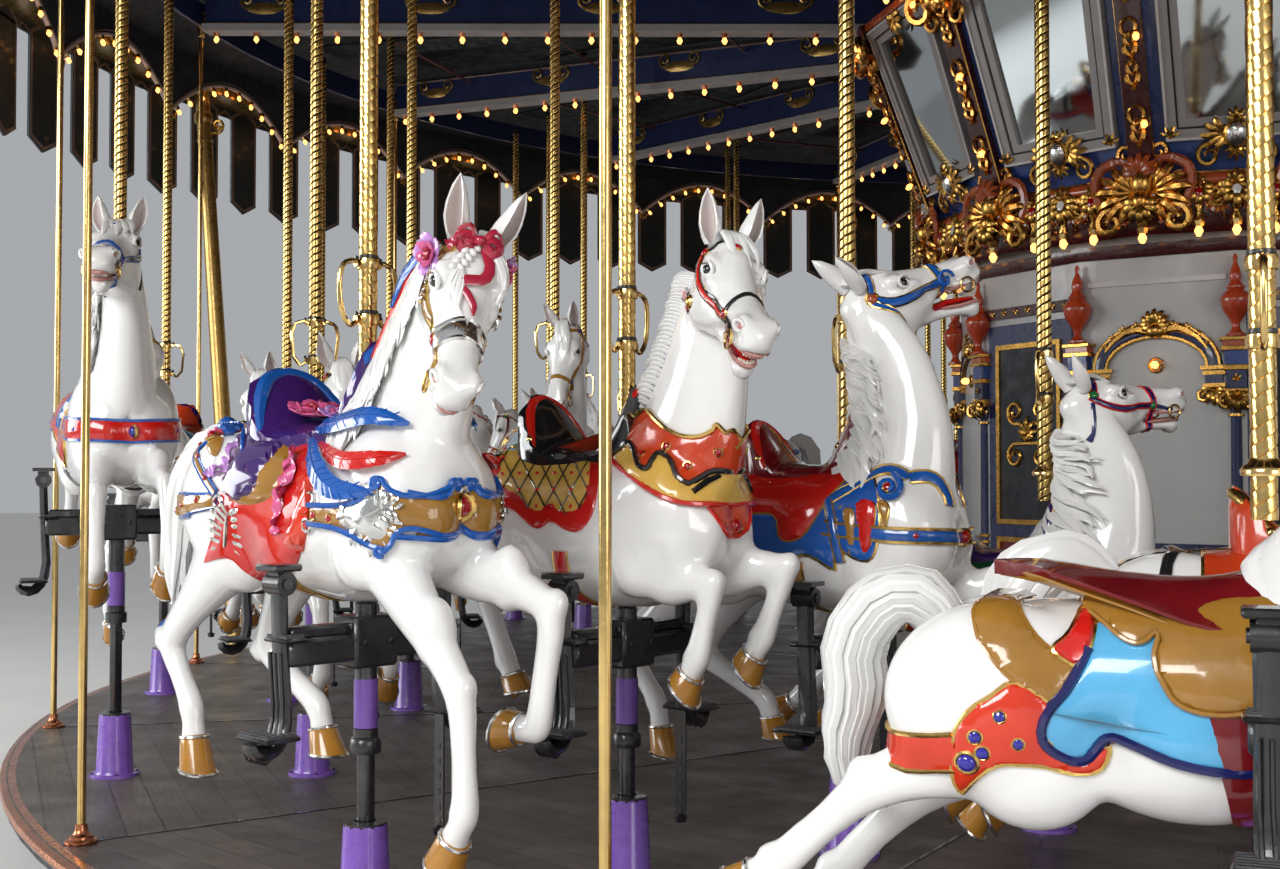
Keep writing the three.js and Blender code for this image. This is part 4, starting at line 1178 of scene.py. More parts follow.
class Horse:
    """A carved horse in its own frame: x ahead, y to its left, z up from the platform."""

    def __init__(self, legs="striding", torso=TORSO, neck=NECK, poll=(0.52, -0.02, 2.14), pitch=68, yaw=-55, roll=0, gape=0.03, tongue=False, voxel=0.010, target=30000, fine=True, head_s=1.0, lips="gum_pink", ears=1.0):
        self.P = P = Piece()
        self.M = M = head_matrix(poll, pitch, yaw, roll, head_s)
        shapes = [oval_rings(torso, 20, 0.94)]
        lean = torso is LEAN
        dz = -0.03 if lean else 0
        for y in (-1, 1):
            shapes.append(ball((-0.58, y * 0.13, 1.31 + dz), (0.27, 0.138, 0.235), 18, 12))
            shapes.append(ball((-0.50, y * 0.125, 1.17 + dz * 0.5), (0.18, 0.12, 0.17), 14, 10))
            shapes.append(ball((0.25, y * 0.140, 1.30), (0.20, 0.105, 0.25), 16, 12))
            shapes.append(ball((0.375, y * 0.075, 1.275), (0.115, 0.105, 0.145), 14, 10))
            shapes.append(ball((0.19, y * 0.15, 1.16), (0.13, 0.09, 0.12), 14, 10))
            shapes.append(ball((-0.16, y * 0.09, 1.22), (0.30, 0.165, 0.20), 16, 12))
        n = np.array(neck, float)
        path = spline(n[:, :3], 22)
        ra, rb = spline(n[:, 3:4], 22)[:, 0], spline(n[:, 4:5], 22)[:, 0]
        self.neck = (path, ra, rb)

        def teardrop(a):
            c, s = np.cos(a), np.sin(a)
            return c * (1 - 0.42 * np.clip(s, 0, 1) ** 1.6), s

        shapes.append(sweep(path, ra, rb, 20, side=LEFT, prof=teardrop))
        T, S, U = fixed_frames(path, side=LEFT)
        self.nf = (T, S, U)
        # throat, from the neck's end to the cheeks
        shapes.append(sweep(spline([path[-6], at(M, (0.03, 0, -0.06)), at(M, (0.10, 0, -0.08))], 6), [0.085, 0.082, 0.08, 0.075, 0.07, 0.06], [0.12, 0.105, 0.095, 0.09, 0.08, 0.06], 14))
        head_shapes(M, gape, shapes)
        lg = LEGS[legs]
        for k, hind in (("RF", 0), ("LF", 0), ("RH", 1), ("LH", 1)):
            limb(*lg[k], hind, shapes)
        dents = head_dents(M)
        for y in (-1, 1):
            dents += [((-0.34, y * 0.24, 1.17), (0.10, 0.1, 0.12), -0.016), ((0.385, y * 0.05, 1.17), (0.05, 0.05, 0.10), -0.010), ((0.09, y * 0.24, 1.16), (0.05, 0.1, 0.14), -0.010),
                      ((0.36, y * 0.15, 1.44), (0.06, 0.08, 0.13), -0.012), ((-0.70, y * 0.14, 1.20), (0.07, 0.1, 0.14), -0.010), ((-0.40, y * 0.26, 1.38), (0.05, 0.1, 0.12), -0.008)]
        dents.append(((0.48, 0, 1.27), (0.05, 0.022, 0.13), -0.022))
        dents.append(((-0.84, 0, 1.22), (0.06, 0.03, 0.16), -0.022))
        Mi = np.linalg.inv(M)

        def weight(co):
            q = at(Mi, co)
            w = np.clip((q[:, 0] * -1 - 0.02) / 0.12, 0, 1)  # the head keeps its detail
            w = np.where((q[:, 0] > -0.14) & (np.abs(q[:, 1]) < 0.25) & (q[:, 0] < 0.7) & (np.abs(q[:, 2]) < 0.3), w, 1)
            return w * np.clip((co[:, 2] - 0.86) / 0.22, 0.22, 1)

        (co, faces), dirt, self.tree = remeshed(shapes, voxel, 4 if voxel < 0.012 else 2, dents, target, weight, 18 if voxel < 0.012 else 8)
        # the body keeps its hollowness per point, which the enamel turns into painted shade in its creases
        P.add((co, faces), "white_enamel", dirt=dirt)
        for k in ("RF", "LF", "RH", "LH"):
            hoof(P, lg[k][2], lg[k][3], sides=16 if fine else 10)
        face_parts(P, M, gape, tongue, lips, True, fine)
        for y in (-1, 1):
            ear(P, M, (0.005, y * 0.052, 0.058), (0.005 - 0.090 * ears, y * (0.052 + 0.046 * ears), 0.058 + 0.157 * ears), (0.9, y * 0.55, 0.25), 0.040, n=9 if fine else 6, k=9 if fine else 7)

    def H(self, *pts):
        return at(self.M, np.array(pts, float)) if len(pts) > 1 else at(self.M, pts[0])

    def neckpt(self, t, ang, off=1.0):
        """Point round the neck: t 0 base to 1 poll; ang in degrees, 90 the crest, 180 the right side, 0 the left, -90 the throat."""
        path, ra, rb = self.neck
        T, S, U = self.nf
        f = np.clip(t, 0, 1) * (len(path) - 1)
        i = int(min(f, len(path) - 2))
        w = f - i
        p = path[i] * (1 - w) + path[i + 1] * w
        a_, b_ = ra[i] * (1 - w) + ra[i + 1] * w, rb[i] * (1 - w) + rb[i + 1] * w
        c, s = math.cos(rad(ang)), math.sin(rad(ang))
        c *= 1 - 0.42 * max(s, 0) ** 1.6
        return p + (S[i] * c * a_ + U[i] * s * b_) * off

    def side_v(self, pts):
        """Side-view outline (x, z) of the right side as (x, way round from the spine)."""
        out = []
        for q in pts:
            x, z = q[0], q[1]
            loc, nor, _, _ = self.tree.ray_cast(Vector((x, -0.8, z)), Vector((0, 1, 0)), 0.8)
            y = abs(loc[1]) if loc is not None else 0.02
            a = math.atan2(y, z - 1.30)
            out.append((x, 0.27 * a) + tuple(q[2:]))
        return out

    def both(self, outline, thick, mat, edge=None, sides=(0, 1), **kw):
        for m in sides:
            patch(self.P, self.tree, outline, barrel, thick, mat, edge, mirror=bool(m), **kw)


def mane(h, n=26, side=-1, length=0.34, w=0.030, wave=0.014, seed=3, t0=0.12, t1=1.0, blow=(-0.05, 0, 0), rings=12, sides=6, mat="white_hair", layers=2, lift=1.10, sweep_deg=105):
    r = random.Random(seed)
    for layer in range(layers):
        for i in range(n):
            t = t0 + (t1 - t0) * (i + 0.5 * layer + 0.2 * r.random()) / n
            L = length * (0.75 + 0.4 * r.random()) * (1 if layer == 0 else 0.7)
            drop = L / 0.95
            pts = []
            ph = r.random() * 6.28
            for k in range(5):
                f = k / 4
                ang = 90 - side * (-8 + sweep_deg * f * (0.8 + 0.3 * r.random())) * -1
                ang = 90 + (sweep_deg * f * (0.85 + 0.25 * r.random()) - 6) * (1 if side < 0 else -1)
                tt = t - drop * f * 0.62
                p = h.neckpt(max(tt, -0.05), ang, lift + 0.06 * (1 - layer) + 0.10 * math.sin(f * 5 + ph) * f)
                if tt < 0:
                    p = p + np.array([tt * 0.25, 0, tt * 0.6])
                pts.append(p + np.array(blow) * f * f * (0.6 + 0.8 * r.random()))
            h.P.add(lock(pts, w * (0.8 + 0.5 * r.random()), w * 0.42, rings, sides, wave=wave, seed=r.randrange(999)), mat, dirt=None)


def tail(h, path, n=14, spread=0.07, w=0.035, wave=0.02, rings=16, sides=6, seed=5, up=(0, 1, 0), thin=1.0, mat="white_hair"):
    r = random.Random(seed)
    c = spline(path, 12)
    T, S, U = frames(c, up)
    k = np.linspace(0, 1, 12)
    env = np.interp(k, [0, 0.25, 0.6, 0.85, 1], [0.35, 0.9, 1.0, 0.7, 0.25])
    core = np.interp(k, [0, 0.2, 0.6, 0.9, 1], [0.4, 0.75, 0.7, 0.25, 0.04])
    h.P.add(sweep(c, spread * core, spread * core, 10), mat)
    for i in range(n):
        a = 2 * math.pi * i / n + r.random() * 0.3
        rr = spread * (0.75 + 0.35 * r.random())
        cut = 12 - r.randrange(0, 3)
        pts = c[:cut] + (S[:cut] * math.cos(a) + U[:cut] * math.sin(a)) * (rr * env[:cut])[:, None]
        h.P.add(lock(pts[:: 2] if cut > 8 else pts, w * (0.8 + 0.5 * r.random()), w * 0.5 * thin, rings, sides, up=up, wave=wave, seed=r.randrange(999)), mat)


def forelock(h, n=5, length=0.20, w=0.018, seed=2, sway=0.02, mat="white_hair"):
    r = random.Random(seed)
    for i in range(n):
        y = (i - (n - 1) / 2) * 0.022
        L = length * (0.75 + 0.35 * r.random())
        pts = h.H((-0.03, y * 0.4, 0.085), (0.03, y * 0.9, 0.118), (0.03 + L * 0.5, y * 1.3 + sway, 0.108 - L * 0.05), (0.03 + L, y * 1.2 + sway * 1.5, 0.090 - L * 0.12))
        h.P.add(lock(pts, w, w * 0.5, 9, 6, wave=0.006, seed=r.randrange(99)), mat)

# ---------------------------------------------------------------- places taken from the photograph's frame, and what lies there
CAM = np.array((-3.835, -9.841, 1.76))
TILT, FOCAL = rad(1.6), 1479.1
CAM_UP, CAM_FWD = V3(0, -math.sin(TILT), math.cos(TILT)), V3(0, math.cos(TILT), math.sin(TILT))


def horse_place(k, row, lift=0.0):
    """World matrix of a horse's body frame, and of its unscaled hardware."""
    th = FIRST + PITCH * k + ROW_TURN[row]
    s = ROW_SCALE[row]
    at_ = Matrix.Translation((ROW_R[row] * math.cos(rad(th)), ROW_R[row] * math.sin(rad(th)), FLOOR + phase(k, row) * 0.2))
    turn = Matrix.Rotation(rad(th + 90), 4, "Z")
    return at_ @ turn @ Matrix.Translation((0, 0, lift + (1 - s))) @ Matrix.Scale(s, 4), at_ @ turn


def phase(k, row):
    if k == 0:
        return [0, -0.25, -0.5, -1][row]
    if k == 1 and row == 0:
        return -1
    if k == 1 and row == 1:
        return -0.5
    if k == 15 and row == 0:
        return 1
    return math.floor(math.sin(k * 2.4 + row * 1.9) * 20 + 0.5) / 20


class View:
    """Turns a place in the photograph's frame into a ray in a horse's own frame, or its mirror image there."""

    def __init__(self, world, h, M=None):
        self.inv = np.array(world.inverted())
        self.h, self.M = h, (np.eye(4) if M is None else np.array(M))
        self.Mi = np.linalg.inv(self.M)

    def ray(self, px, py, mirror=False):
        d = V3(1, 0, 0) * ((px - 640) / FOCAL) + CAM_UP * ((434.5 - py) / FOCAL) + CAM_FWD
        o = CAM
        o, d = at(self.inv, o), self.inv[:3, :3] @ d
        if mirror:
            o, d = at(self.Mi, o), self.Mi[:3, :3] @ d
            o, d = o * V3(1, -1, 1), d * V3(1, -1, 1)
            o, d = at(self.M, o), self.M[:3, :3] @ d
        return o, unit(d)

    def hit(self, px, py, mirror=False, out=0.0):
        o, d = self.ray(px, py, mirror)
        loc, nor, _, _ = self.h.tree.ray_cast(Vector(o), Vector(d), 12)
        if loc is None:
            best, bp = 9, None
            for t in np.linspace(np.linalg.norm(V3(0.1, 0, 1.4) - o) - 1.3, np.linalg.norm(V3(0.1, 0, 1.4) - o) + 1.3, 60):
                l2, n2, _, dist = self.h.tree.find_nearest(Vector(o + d * t))
                if dist < best:
                    best, bp = dist, (np.array(l2), np.array(n2))
            loc, nor = bp
        loc, nor = np.array(loc), np.array(nor)
        return loc + nor * out, nor

    def pts(self, pts, mirror=False, out=0.0):
        return np.array([self.hit(*p[:2], mirror=mirror, out=p[2] if len(p) > 2 else out)[0] for p in pts])

    def field(self, outline, thick, mat, edge=None, er=0.006, step=6.0, sides=(0, 1), **kw):
        """A raised field with its outline given in the photograph's frame."""
        for m in sides:
            patch(self.h.P, self.h.tree, outline, lambda a, b, m=m: self.ray(a, b, bool(m)), thick, mat, edge, er, step, far=14, **kw)

    def line(self, pts, r, mat, out=0.004, sides=(0, 1), n=None, closed=False, seg=6, taper=False, spl=True):
        for m in sides:
            q = self.pts(pts, bool(m), out)
            if spl:
                q = spline(q, n or len(pts) * 4)
            if taper:
                rr = r * np.clip(np.sin(np.pi * np.linspace(0.08, 0.97, len(q))) ** 0.6, 0.1, 1)
                self.h.P.add(sweep(q, rr, rr, seg), mat)
            else:
                bead(self.h.P, q, r, mat, closed, seg)

    def band(self, pts, width, thick, mat, edge=None, er=0.005, sides=(0, 1), **kw):
        for m in sides:
            strap(self.h.P, self.h.tree, self.pts(pts, bool(m)), width, thick, mat, edge, er, **kw)

    def gem(self, px, py, r, mat, ring=None, sides=(0, 1), up=0.0):
        for m in sides:
            p, n = self.hit(px, py, bool(m))
            z = unit(n)
            p = p + z * up
            x = unit(np.cross(z, (0.3, 0.2, 1)))
            y = np.cross(z, x)
            self.h.P.add(ball(p + z * r * 0.25, (r, r, r * 0.6), 10, 7, np.stack([x, y, z], 1)), mat)
            if ring:
                a = np.linspace(0, 2 * math.pi, 13)[:-1]
                bead(self.h.P, [p + (x * math.cos(t) + y * math.sin(t)) * r * 1.15 + z * r * 0.12 for t in a], r * 0.26, ring, True, 5)


def saddle(h, x0=-0.42, x1=0.07, half=0.19, cantle=0.13, pommel=0.075, seat=0.035, mat="maroon", edge=None, roll="maroon", roll_r=0.022, dish=0.03, step=0.026, button="brass", tip=0.0, wing=0.42):
    """The seat: a padded sheet that rises to a cantle behind and a pommel in front."""
    L = x1 - x0
    pts = []
    for t, w in ((0.0, 0.50), (0.10, 0.86), (0.28, 1.0), (0.5, 0.92), (0.72, 0.70), (0.90, 0.58), (1.0, 0.34)):
        pts.append((x0 + L * t, half * w))
    outline = pts + [(x, -v) for x, v in pts[::-1]]

    def rise(a, b):
        u = (a - x0) / L
        e = min(abs(b) / half, 1)
        back = np.clip((0.36 - u) / 0.36, 0, 1)
        front = np.clip((u - 0.72) / 0.28, 0, 1)
        return seat + cantle * (back * back * (3 - 2 * back)) * (1 - wing * e**2) + pommel * (front * front * (3 - 2 * front)) * (1 - 0.6 * e**2) - dish * 0.5 * (1 - e**2) * (1 - back) * (1 - front)

    def lift(a, b, nor, border):
        k = 0.72 if border else 1.0
        return V3(-tip * np.clip((0.2 - (a - x0) / L) / 0.2, 0, 1), 0, 1) * rise(a, b) * k + nor * (0.0 if border else 0.006)

    patch(h.P, h.tree, outline, barrel, 0.012, mat, None, step=step, lift=lift)
    # roll along the cantle
    ring = []
    for t in np.linspace(-1, 1, 15):
        v = half * 0.90 * t
        a = x0 + L * (0.02 + 0.24 * abs(t) ** 2.2)
        o, d = barrel(a, v)
        loc, nor, _, _ = h.tree.ray_cast(Vector(o), Vector(d), 0.9)
        if loc is None:
            loc, nor, _, _ = h.tree.find_nearest(Vector(o + d * 0.35))
        ring.append(np.array(loc) + V3(-tip * 0.6, 0, 1) * rise(a, v) * 0.93 + np.array(nor) * 0.006)
    ring = np.array(ring)
    rr = roll_r * np.interp(np.linspace(-1, 1, 15), [-1, -0.7, 0, 0.7, 1], [0.45, 0.9, 1.0, 0.9, 0.45])
    h.P.add(sweep(ring, rr, rr, 8), roll)
    fr = []
    for t in np.linspace(-1, 1, 9):
        v = half * 0.50 * t
        a = x1 - L * (0.015 + 0.09 * abs(t) ** 2)
        o, d = barrel(a, v)
        loc, nor, _, _ = h.tree.ray_cast(Vector(o), Vector(d), 0.9)
        if loc is None:
            loc, nor, _, _ = h.tree.find_nearest(Vector(o + d * 0.35))
        fr.append(np.array(loc) + V3(0, 0, 1) * rise(a, v) * 0.93 + np.array(nor) * 0.004)
    rr = roll_r * 0.72 * np.interp(np.linspace(-1, 1, 9), [-1, 0, 1], [0.5, 1, 0.5])
    h.P.add(sweep(np.array(fr), rr, rr, 8), roll)
    if button:
        for y in (-1, 1):
            q = ring[1] if y > 0 else ring[-2]
            h.P.add(ball(q + V3(0, np.sign(q[1]) * 0.012, -0.004), (0.016, 0.012, 0.016), 8, 6), button)
    return ring


def loop_band(h, ctrl, width, thick, mat, edge=None, er=0.005, scallop=0.0, waves=6, step=0.03, trim=None):
    """A band round the body through points near it, with wavy edges."""
    S, N, B = strap(h.P, h.tree, ctrl, width, thick, mat, None if scallop else edge, er, step)
    if scallop and edge:
        k = np.linspace(0, waves * 2 * math.pi, len(S))
        w = width if not callable(width) else width(np.linspace(0, 1, len(S)))
        for s in (-1, 1):
            pts = [near(h.tree, S[i] + B[i] * s * (np.broadcast_to(w, (len(S),))[i] / 2 + scallop * (0.5 - 0.5 * math.cos(k[i]))))[0] + N[i] * (thick * 0.6) for i in range(len(S))]
            bead(h.P, pts, er, edge)
    return S, N, B


def bridle(h, mat="maroon", edge=None, gem_mat="ruby", buckle="gold_leaf", rein=None, w=0.026, nose=True, brow=True, wide=0.0):
    """Noseband, cheek straps, brow band and throat lash, in head coordinates."""
    H = h.H
    t = 0.007
    if nose:
        loop = [(0.345, 0, 0.06), (0.35, -0.055, 0.03), (0.355, -0.072, -0.03), (0.35, -0.05, -0.10), (0.345, 0, -0.13), (0.35, 0.05, -0.10), (0.355, 0.072, -0.03), (0.35, 0.055, 0.03), (0.345, 0, 0.06)]
        strap(h.P, h.tree, H(*loop), w + wide, t, mat, edge, 0.0045, step=0.02)
    for y in (-1, 1):
        strap(h.P, h.tree, H((0.345, y * 0.07, -0.03), (0.26, y * 0.085, -0.03), (0.17, y * 0.115, -0.035), (0.07, y * 0.10, -0.01), (0.01, y * 0.085, 0.03)), w * 0.9, t, mat, edge, 0.004, step=0.022)
        strap(h.P, h.tree, H((0.35, y * 0.07, -0.03), (0.43, y * 0.066, -0.045), (0.455, y * 0.062, -0.05)), w * 0.8, t, mat, None, step=0.02)
        if brow:
            strap(h.P, h.tree, H((0.03, y * 0.085, 0.03), (0.05, y * 0.06, 0.085), (0.055, 0, 0.10)), w * 0.9, t, mat, edge, 0.004, step=0.02)
        strap(h.P, h.tree, H((0.02, y * 0.085, 0.0), (0.02, y * 0.085, -0.07), (0.05, y * 0.055, -0.15), (0.06, 0, -0.17)), w * 0.7, t, mat, None, step=0.025)
        gem(h.P, h.tree, H((0.03, y * 0.085, 0.035)), 0.018, gem_mat, buckle)
        gem(h.P, h.tree, H((0.35, y * 0.075, -0.03)), 0.016, gem_mat, buckle)
        a = np.linspace(0, 2 * math.pi, 13)[:-1]
        bead(h.P, H(*[(0.462 + 0.030 * math.cos(q), y * 0.068, -0.062 + 0.030 * math.sin(q)) for q in a]), 0.0045, buckle, True, 5)
    gem(h.P, h.tree, H((0.10, 0, 0.10)), 0.014, gem_mat, buckle)
    if rein:
        for y in (-1, 1):
            pts = [H((0.47, y * 0.075, -0.07)), H((0.40, y * 0.12, -0.16)), h.neckpt(0.55, -20 if y > 0 else 200, 1.12), h.neckpt(0.25, 20 if y > 0 else 160, 1.10), h.neckpt(0.08, 70 if y > 0 else 110, 1.08), V3(0.08, y * 0.05, 1.62)]
            q = spline(pts, 22)
            h.P.add(sweep(q, 0.004, 0.011, 6, up=(0, 0, 1)), rein)


GENERIC = {
    0: dict(blanket=[(-0.50, 0.06, 0), (-0.47, 0.30), (-0.56, 0.52, 0), (-0.40, 0.56), (-0.22, 0.50), (-0.10, 0.58), (0.02, 0.46), (0.06, 0.30), (0.10, 0.06, 0)], collar=(0.075, 0.022), skirt=[(-0.34, 0.10), (-0.33, 0.34), (-0.24, 0.43), (-0.12, 0.38), (0.00, 0.22), (0.04, 0.10)]),
    1: dict(blanket=[(-0.54, 0.06, 0), (-0.55, 0.34, 0), (-0.44, 0.46), (-0.36, 0.60, 0), (-0.20, 0.50), (-0.04, 0.60, 0), (0.04, 0.42), (0.11, 0.30, 0), (0.12, 0.06, 0)], collar=(0.095, 0.0), skirt=[(-0.36, 0.10), (-0.36, 0.30), (-0.30, 0.40), (-0.20, 0.36), (-0.12, 0.43), (-0.02, 0.34), (0.05, 0.18), (0.06, 0.10)]),
    2: dict(blanket=[(-0.46, 0.06, 0), (-0.52, 0.28), (-0.50, 0.48), (-0.36, 0.58), (-0.18, 0.61), (-0.02, 0.54), (0.07, 0.38), (0.12, 0.20), (0.10, 0.06, 0)], collar=(0.065, 0.030), skirt=[(-0.30, 0.10), (-0.34, 0.26), (-0.28, 0.42), (-0.14, 0.46), (0.0, 0.36), (0.06, 0.20), (0.05, 0.10)]),
    3: dict(blanket=[(-0.50, 0.06, 0), (-0.52, 0.42, 0), (-0.60, 0.56, 0), (-0.38, 0.50), (-0.20, 0.56), (-0.06, 0.50), (0.06, 0.56, 0), (0.08, 0.30), (0.12, 0.06, 0)], collar=(0.085, 0.018), skirt=[(-0.34, 0.10), (-0.38, 0.32), (-0.20, 0.34), (-0.16, 0.44), (-0.06, 0.42), (0.02, 0.26), (0.05, 0.10)]),
}


def dress(h, style, c, fine=True):
    """Harness for a horse that the photograph shows little of. c names nine materials: blanket, its edge, skirt, its edge, seat, band, band edge, strap, jewel."""
    g = GENERIC[style]
    st = 0.03 if fine else 0.045
    h.both(g["blanket"], 0.011, c[0], c[1], er=0.008, step=st)
    h.both(g["skirt"], 0.026, c[2], c[3], er=0.006, step=st)
    saddle(h, mat=c[4], roll=c[3], step=st * 0.9, cantle=0.12 + 0.02 * (style % 2), tip=0.02 * (style == 1))
    W, sc = g["collar"]
    ctrl = [(0.02, -0.30, 1.33), (0.14, -0.33, 1.315), (0.28, -0.32, 1.30), (0.40, -0.22, 1.295), (0.475, -0.10, 1.29), (0.50, 0, 1.285), (0.475, 0.10, 1.29), (0.40, 0.22, 1.295), (0.28, 0.32, 1.30), (0.14, 0.33, 1.315), (0.02, 0.30, 1.33)]
    loop_band(h, ctrl, W, 0.012, c[5], c[6], 0.008, sc, 8, 0.035)
    gem(h.P, h.tree, (0.50, 0, 1.285), 0.026, c[8], "gold_leaf")
    for y in (-1, 1):
        gem(h.P, h.tree, (0.40, y * 0.24, 1.295), 0.017, c[8], "gold_leaf")
        gem(h.P, h.tree, (0.20, y * 0.33, 1.31), 0.013, c[8], None)
    back = [(-0.46, -0.30, 1.36), (-0.60, -0.32, 1.36), (-0.74, -0.26, 1.37), (-0.84, -0.12, 1.38), (-0.88, 0, 1.385), (-0.84, 0.12, 1.38), (-0.74, 0.26, 1.37), (-0.60, 0.32, 1.36), (-0.46, 0.30, 1.36)]
    loop_band(h, back, 0.06, 0.011, c[5], c[6], 0.006, 0, 8, 0.035)
    strap(h.P, h.tree, [(-0.40, 0, 1.64), (-0.55, 0, 1.62), (-0.68, 0, 1.60), (-0.78, 0, 1.52)], 0.04, 0.009, c[7], None, step=0.04)
    for y in (-1, 1):
        strap(h.P, h.tree, [(-0.56, y * 0.02, 1.62), (-0.60, y * 0.20, 1.56), (-0.62, y * 0.28, 1.40)], 0.035, 0.009, c[7], None, step=0.04)
        gem(h.P, h.tree, (-0.62, y * 0.30, 1.365), 0.018, c[8], "gold_leaf")
        gem(h.P, h.tree, (-0.74, y * 0.27, 1.37), 0.012, c[8], None)
    girth = [(-0.10, -0.26, 1.10), (-0.10, -0.12, 0.98), (-0.10, 0, 0.96), (-0.10, 0.12, 0.98), (-0.10, 0.26, 1.10)]
    strap(h.P, h.tree, girth, 0.06, 0.009, c[7], None, step=0.04)
    bridle(h, c[7], c[6] if fine else None, c[8])


# ---------------------------------------------------------------- horses whose harness the photograph shows
def seat(P, st, mat, thick=0.030, n=11, rows=22):
    """A seat that stands free of the back: stations of x, half width, height at the middle and at the edge."""
    q = spline(np.array(st, float), rows)
    u = np.linspace(-1, 1, n)
    V = []
    for x, w, zc, ze in q:
        z = ze + (zc - ze) * np.cos(u * math.pi / 2) ** 1.2
        e = np.clip((1 - np.abs(u)) / 0.18, 0, 1) ** 0.5
        top = np.stack([np.full(n, x), u * max(w, 0.012), z], 1)
        low = top - V3(0, 0, 1) * (thick * (0.22 + 0.78 * e))[:, None]
        V.append(np.vstack([top, low[::-1]]))
    P.add((np.array(V).reshape(-1, 3), ring_faces(rows, 2 * n)), mat)


def breast(h, width, sc, band, edge, jewel, z=1.285, fine=True):
    """A band round the breast with its jewels."""
    d = z - 1.285
    ctrl = [(0.02, -0.30, 1.33 + d), (0.14, -0.33, 1.315 + d), (0.28, -0.32, 1.30 + d), (0.40, -0.22, 1.295 + d), (0.475, -0.10, 1.29 + d), (0.50, 0, 1.285 + d)]
    ctrl += [(x, -y, q) for x, y, q in ctrl[-2::-1]]
    loop_band(h, ctrl, width, 0.012, band, edge, 0.008, sc, 8, 0.035)
    gem(h.P, h.tree, (0.50, 0, z), 0.026, jewel, "gold_leaf")
    for y in (-1, 1):
        gem(h.P, h.tree, (0.40, y * 0.24, z + 0.01), 0.017, jewel, "gold_leaf")
        gem(h.P, h.tree, (0.20, y * 0.33, z + 0.025), 0.013, jewel, None)


def hogged(h, n=44, height=0.062, t0=0.10, t1=0.99, seed=4):
    """A short upright mane of carved tufts."""
    r = random.Random(seed)
    for i in range(n):
        t = t0 + (t1 - t0) * i / (n - 1)
        for s in (-7, 7):
            p0, p1 = h.neckpt(t, 90 + s, 0.93), h.neckpt(t, 90 + s, 1.0)
            u = unit(p1 - p0)
            L = height * (0.8 + 0.4 * r.random())
            b = h.neckpt(max(t - 0.03, 0), 90 + s, 1.0) - p1
            h.P.add(lock([p0, p1 + u * L * 0.5, p1 + u * L * 0.9 + b * 0.8, p1 + u * L + b * 1.5], 0.017, 0.011, 6, 5), "white_hair")


def long_mane(h, n=30, t0=0.06, t1=0.99, side=-1, length=0.46, w=0.020, seed=6, spread=0.16, layers=3, wave=0.016, rings=13):
    """Long wavy strands that fall down one side of the neck."""
    r = random.Random(seed)
    path = h.neck[0]
    for layer in range(layers):
        for i in range(n):
            t = t0 + (t1 - t0) * (i + layer / layers + 0.25 * r.random()) / n
            L = length * (0.72 + 0.35 * r.random()) * (1 - 0.12 * layer)
            ph = r.random() * 6.28
            base = h.neckpt(t, 90, 1.02)
            pts = []
            for k in range(6):
                f = k / 5
                ang = 90 + (-side) * (-4 + 84 * (1 - (1 - f) ** 1.7) + 8 * r.random() * f)
                tt = t - (L / 0.95) * f * 0.72
                p = h.neckpt(max(tt, -0.02), ang, 1.07 + 0.05 * (layers - layer) / layers + spread * f * 0.5 + 0.04 * math.sin(f * 6 + ph) * f)
                if tt < -0.02:
                    p = p + V3((tt + 0.02) * 0.2, 0, (tt + 0.02) * 0.75)
                pts.append(p)
            h.P.add(lock(pts, w * (0.8 + 0.5 * r.random()), w * 0.50, rings, 5, wave=wave * (0.7 + 0.6 * r.random()), seed=r.randrange(999)), "white_hair")


def curled_tail(h, path, spread, n=14, w=0.030, rings=14, seed=7):
    """A thick tail whose locks all follow one curve."""
    c = spline(np.array(path, float), 16)
    T, S, U = frames(c, (0, 1, 0))
    k = np.linspace(0, 1, 16)
    core = np.interp(k, [0, 0.12, 0.5, 0.85, 1], [0.55, 0.9, 1.0, 0.6, 0.10]) * spread
    h.P.add(sweep(c, core * 0.86, core * 0.86, 12), "white_hair")
    r = random.Random(seed)
    for i in range(n):
        a = 2 * math.pi * i / n + 0.2 * r.random()
        tw = 0.5 * (r.random() - 0.5)
        cut = 16 - r.randrange(0, 3)
        ang = a + tw * k[:cut]
        p = c[:cut] + (S[:cut] * np.cos(ang)[:, None] + U[:cut] * np.sin(ang)[:, None]) * (core[:cut] * 0.86)[:, None]
        h.P.add(lock(p[::2] if cut > 10 else p, w * (0.85 + 0.4 * r.random()), w * 0.55, rings, 6, wave=0.006, seed=r.randrange(999)), "white_hair")


def crupper(h, mat, edge, jewel, strapm, width=0.06):
    """The band round the rump, with the strap along the back that holds it."""
    back = [(-0.46, -0.30, 1.36), (-0.60, -0.32, 1.36), (-0.74, -0.26, 1.37), (-0.84, -0.12, 1.38), (-0.88, 0, 1.385)]
    back += [(x, -y, z) for x, y, z in back[-2::-1]]
    loop_band(h, back, width, 0.011, mat, edge, 0.006, 0, 8, 0.03)
    strap(h.P, h.tree, [(-0.40, 0, 1.64), (-0.55, 0, 1.62), (-0.68, 0, 1.60), (-0.78, 0, 1.52)], 0.04, 0.009, strapm, None, step=0.04)
    for y in (-1, 1):
        gem(h.P, h.tree, (-0.62, y * 0.30, 1.365), 0.018, jewel, "gold_leaf")
        gem(h.P, h.tree, (-0.74, y * 0.27, 1.37), 0.012, jewel, None)


def cinch(h, mat, edge=None, width=0.06, x=-0.10):
    strap(h.P, h.tree, [(x, -0.27, 1.20), (x, -0.26, 1.10), (x, -0.12, 0.98), (x, 0, 0.96), (x, 0.12, 0.98), (x, 0.26, 1.10), (x, 0.27, 1.20)], width, 0.009, mat, edge, 0.004, step=0.035)


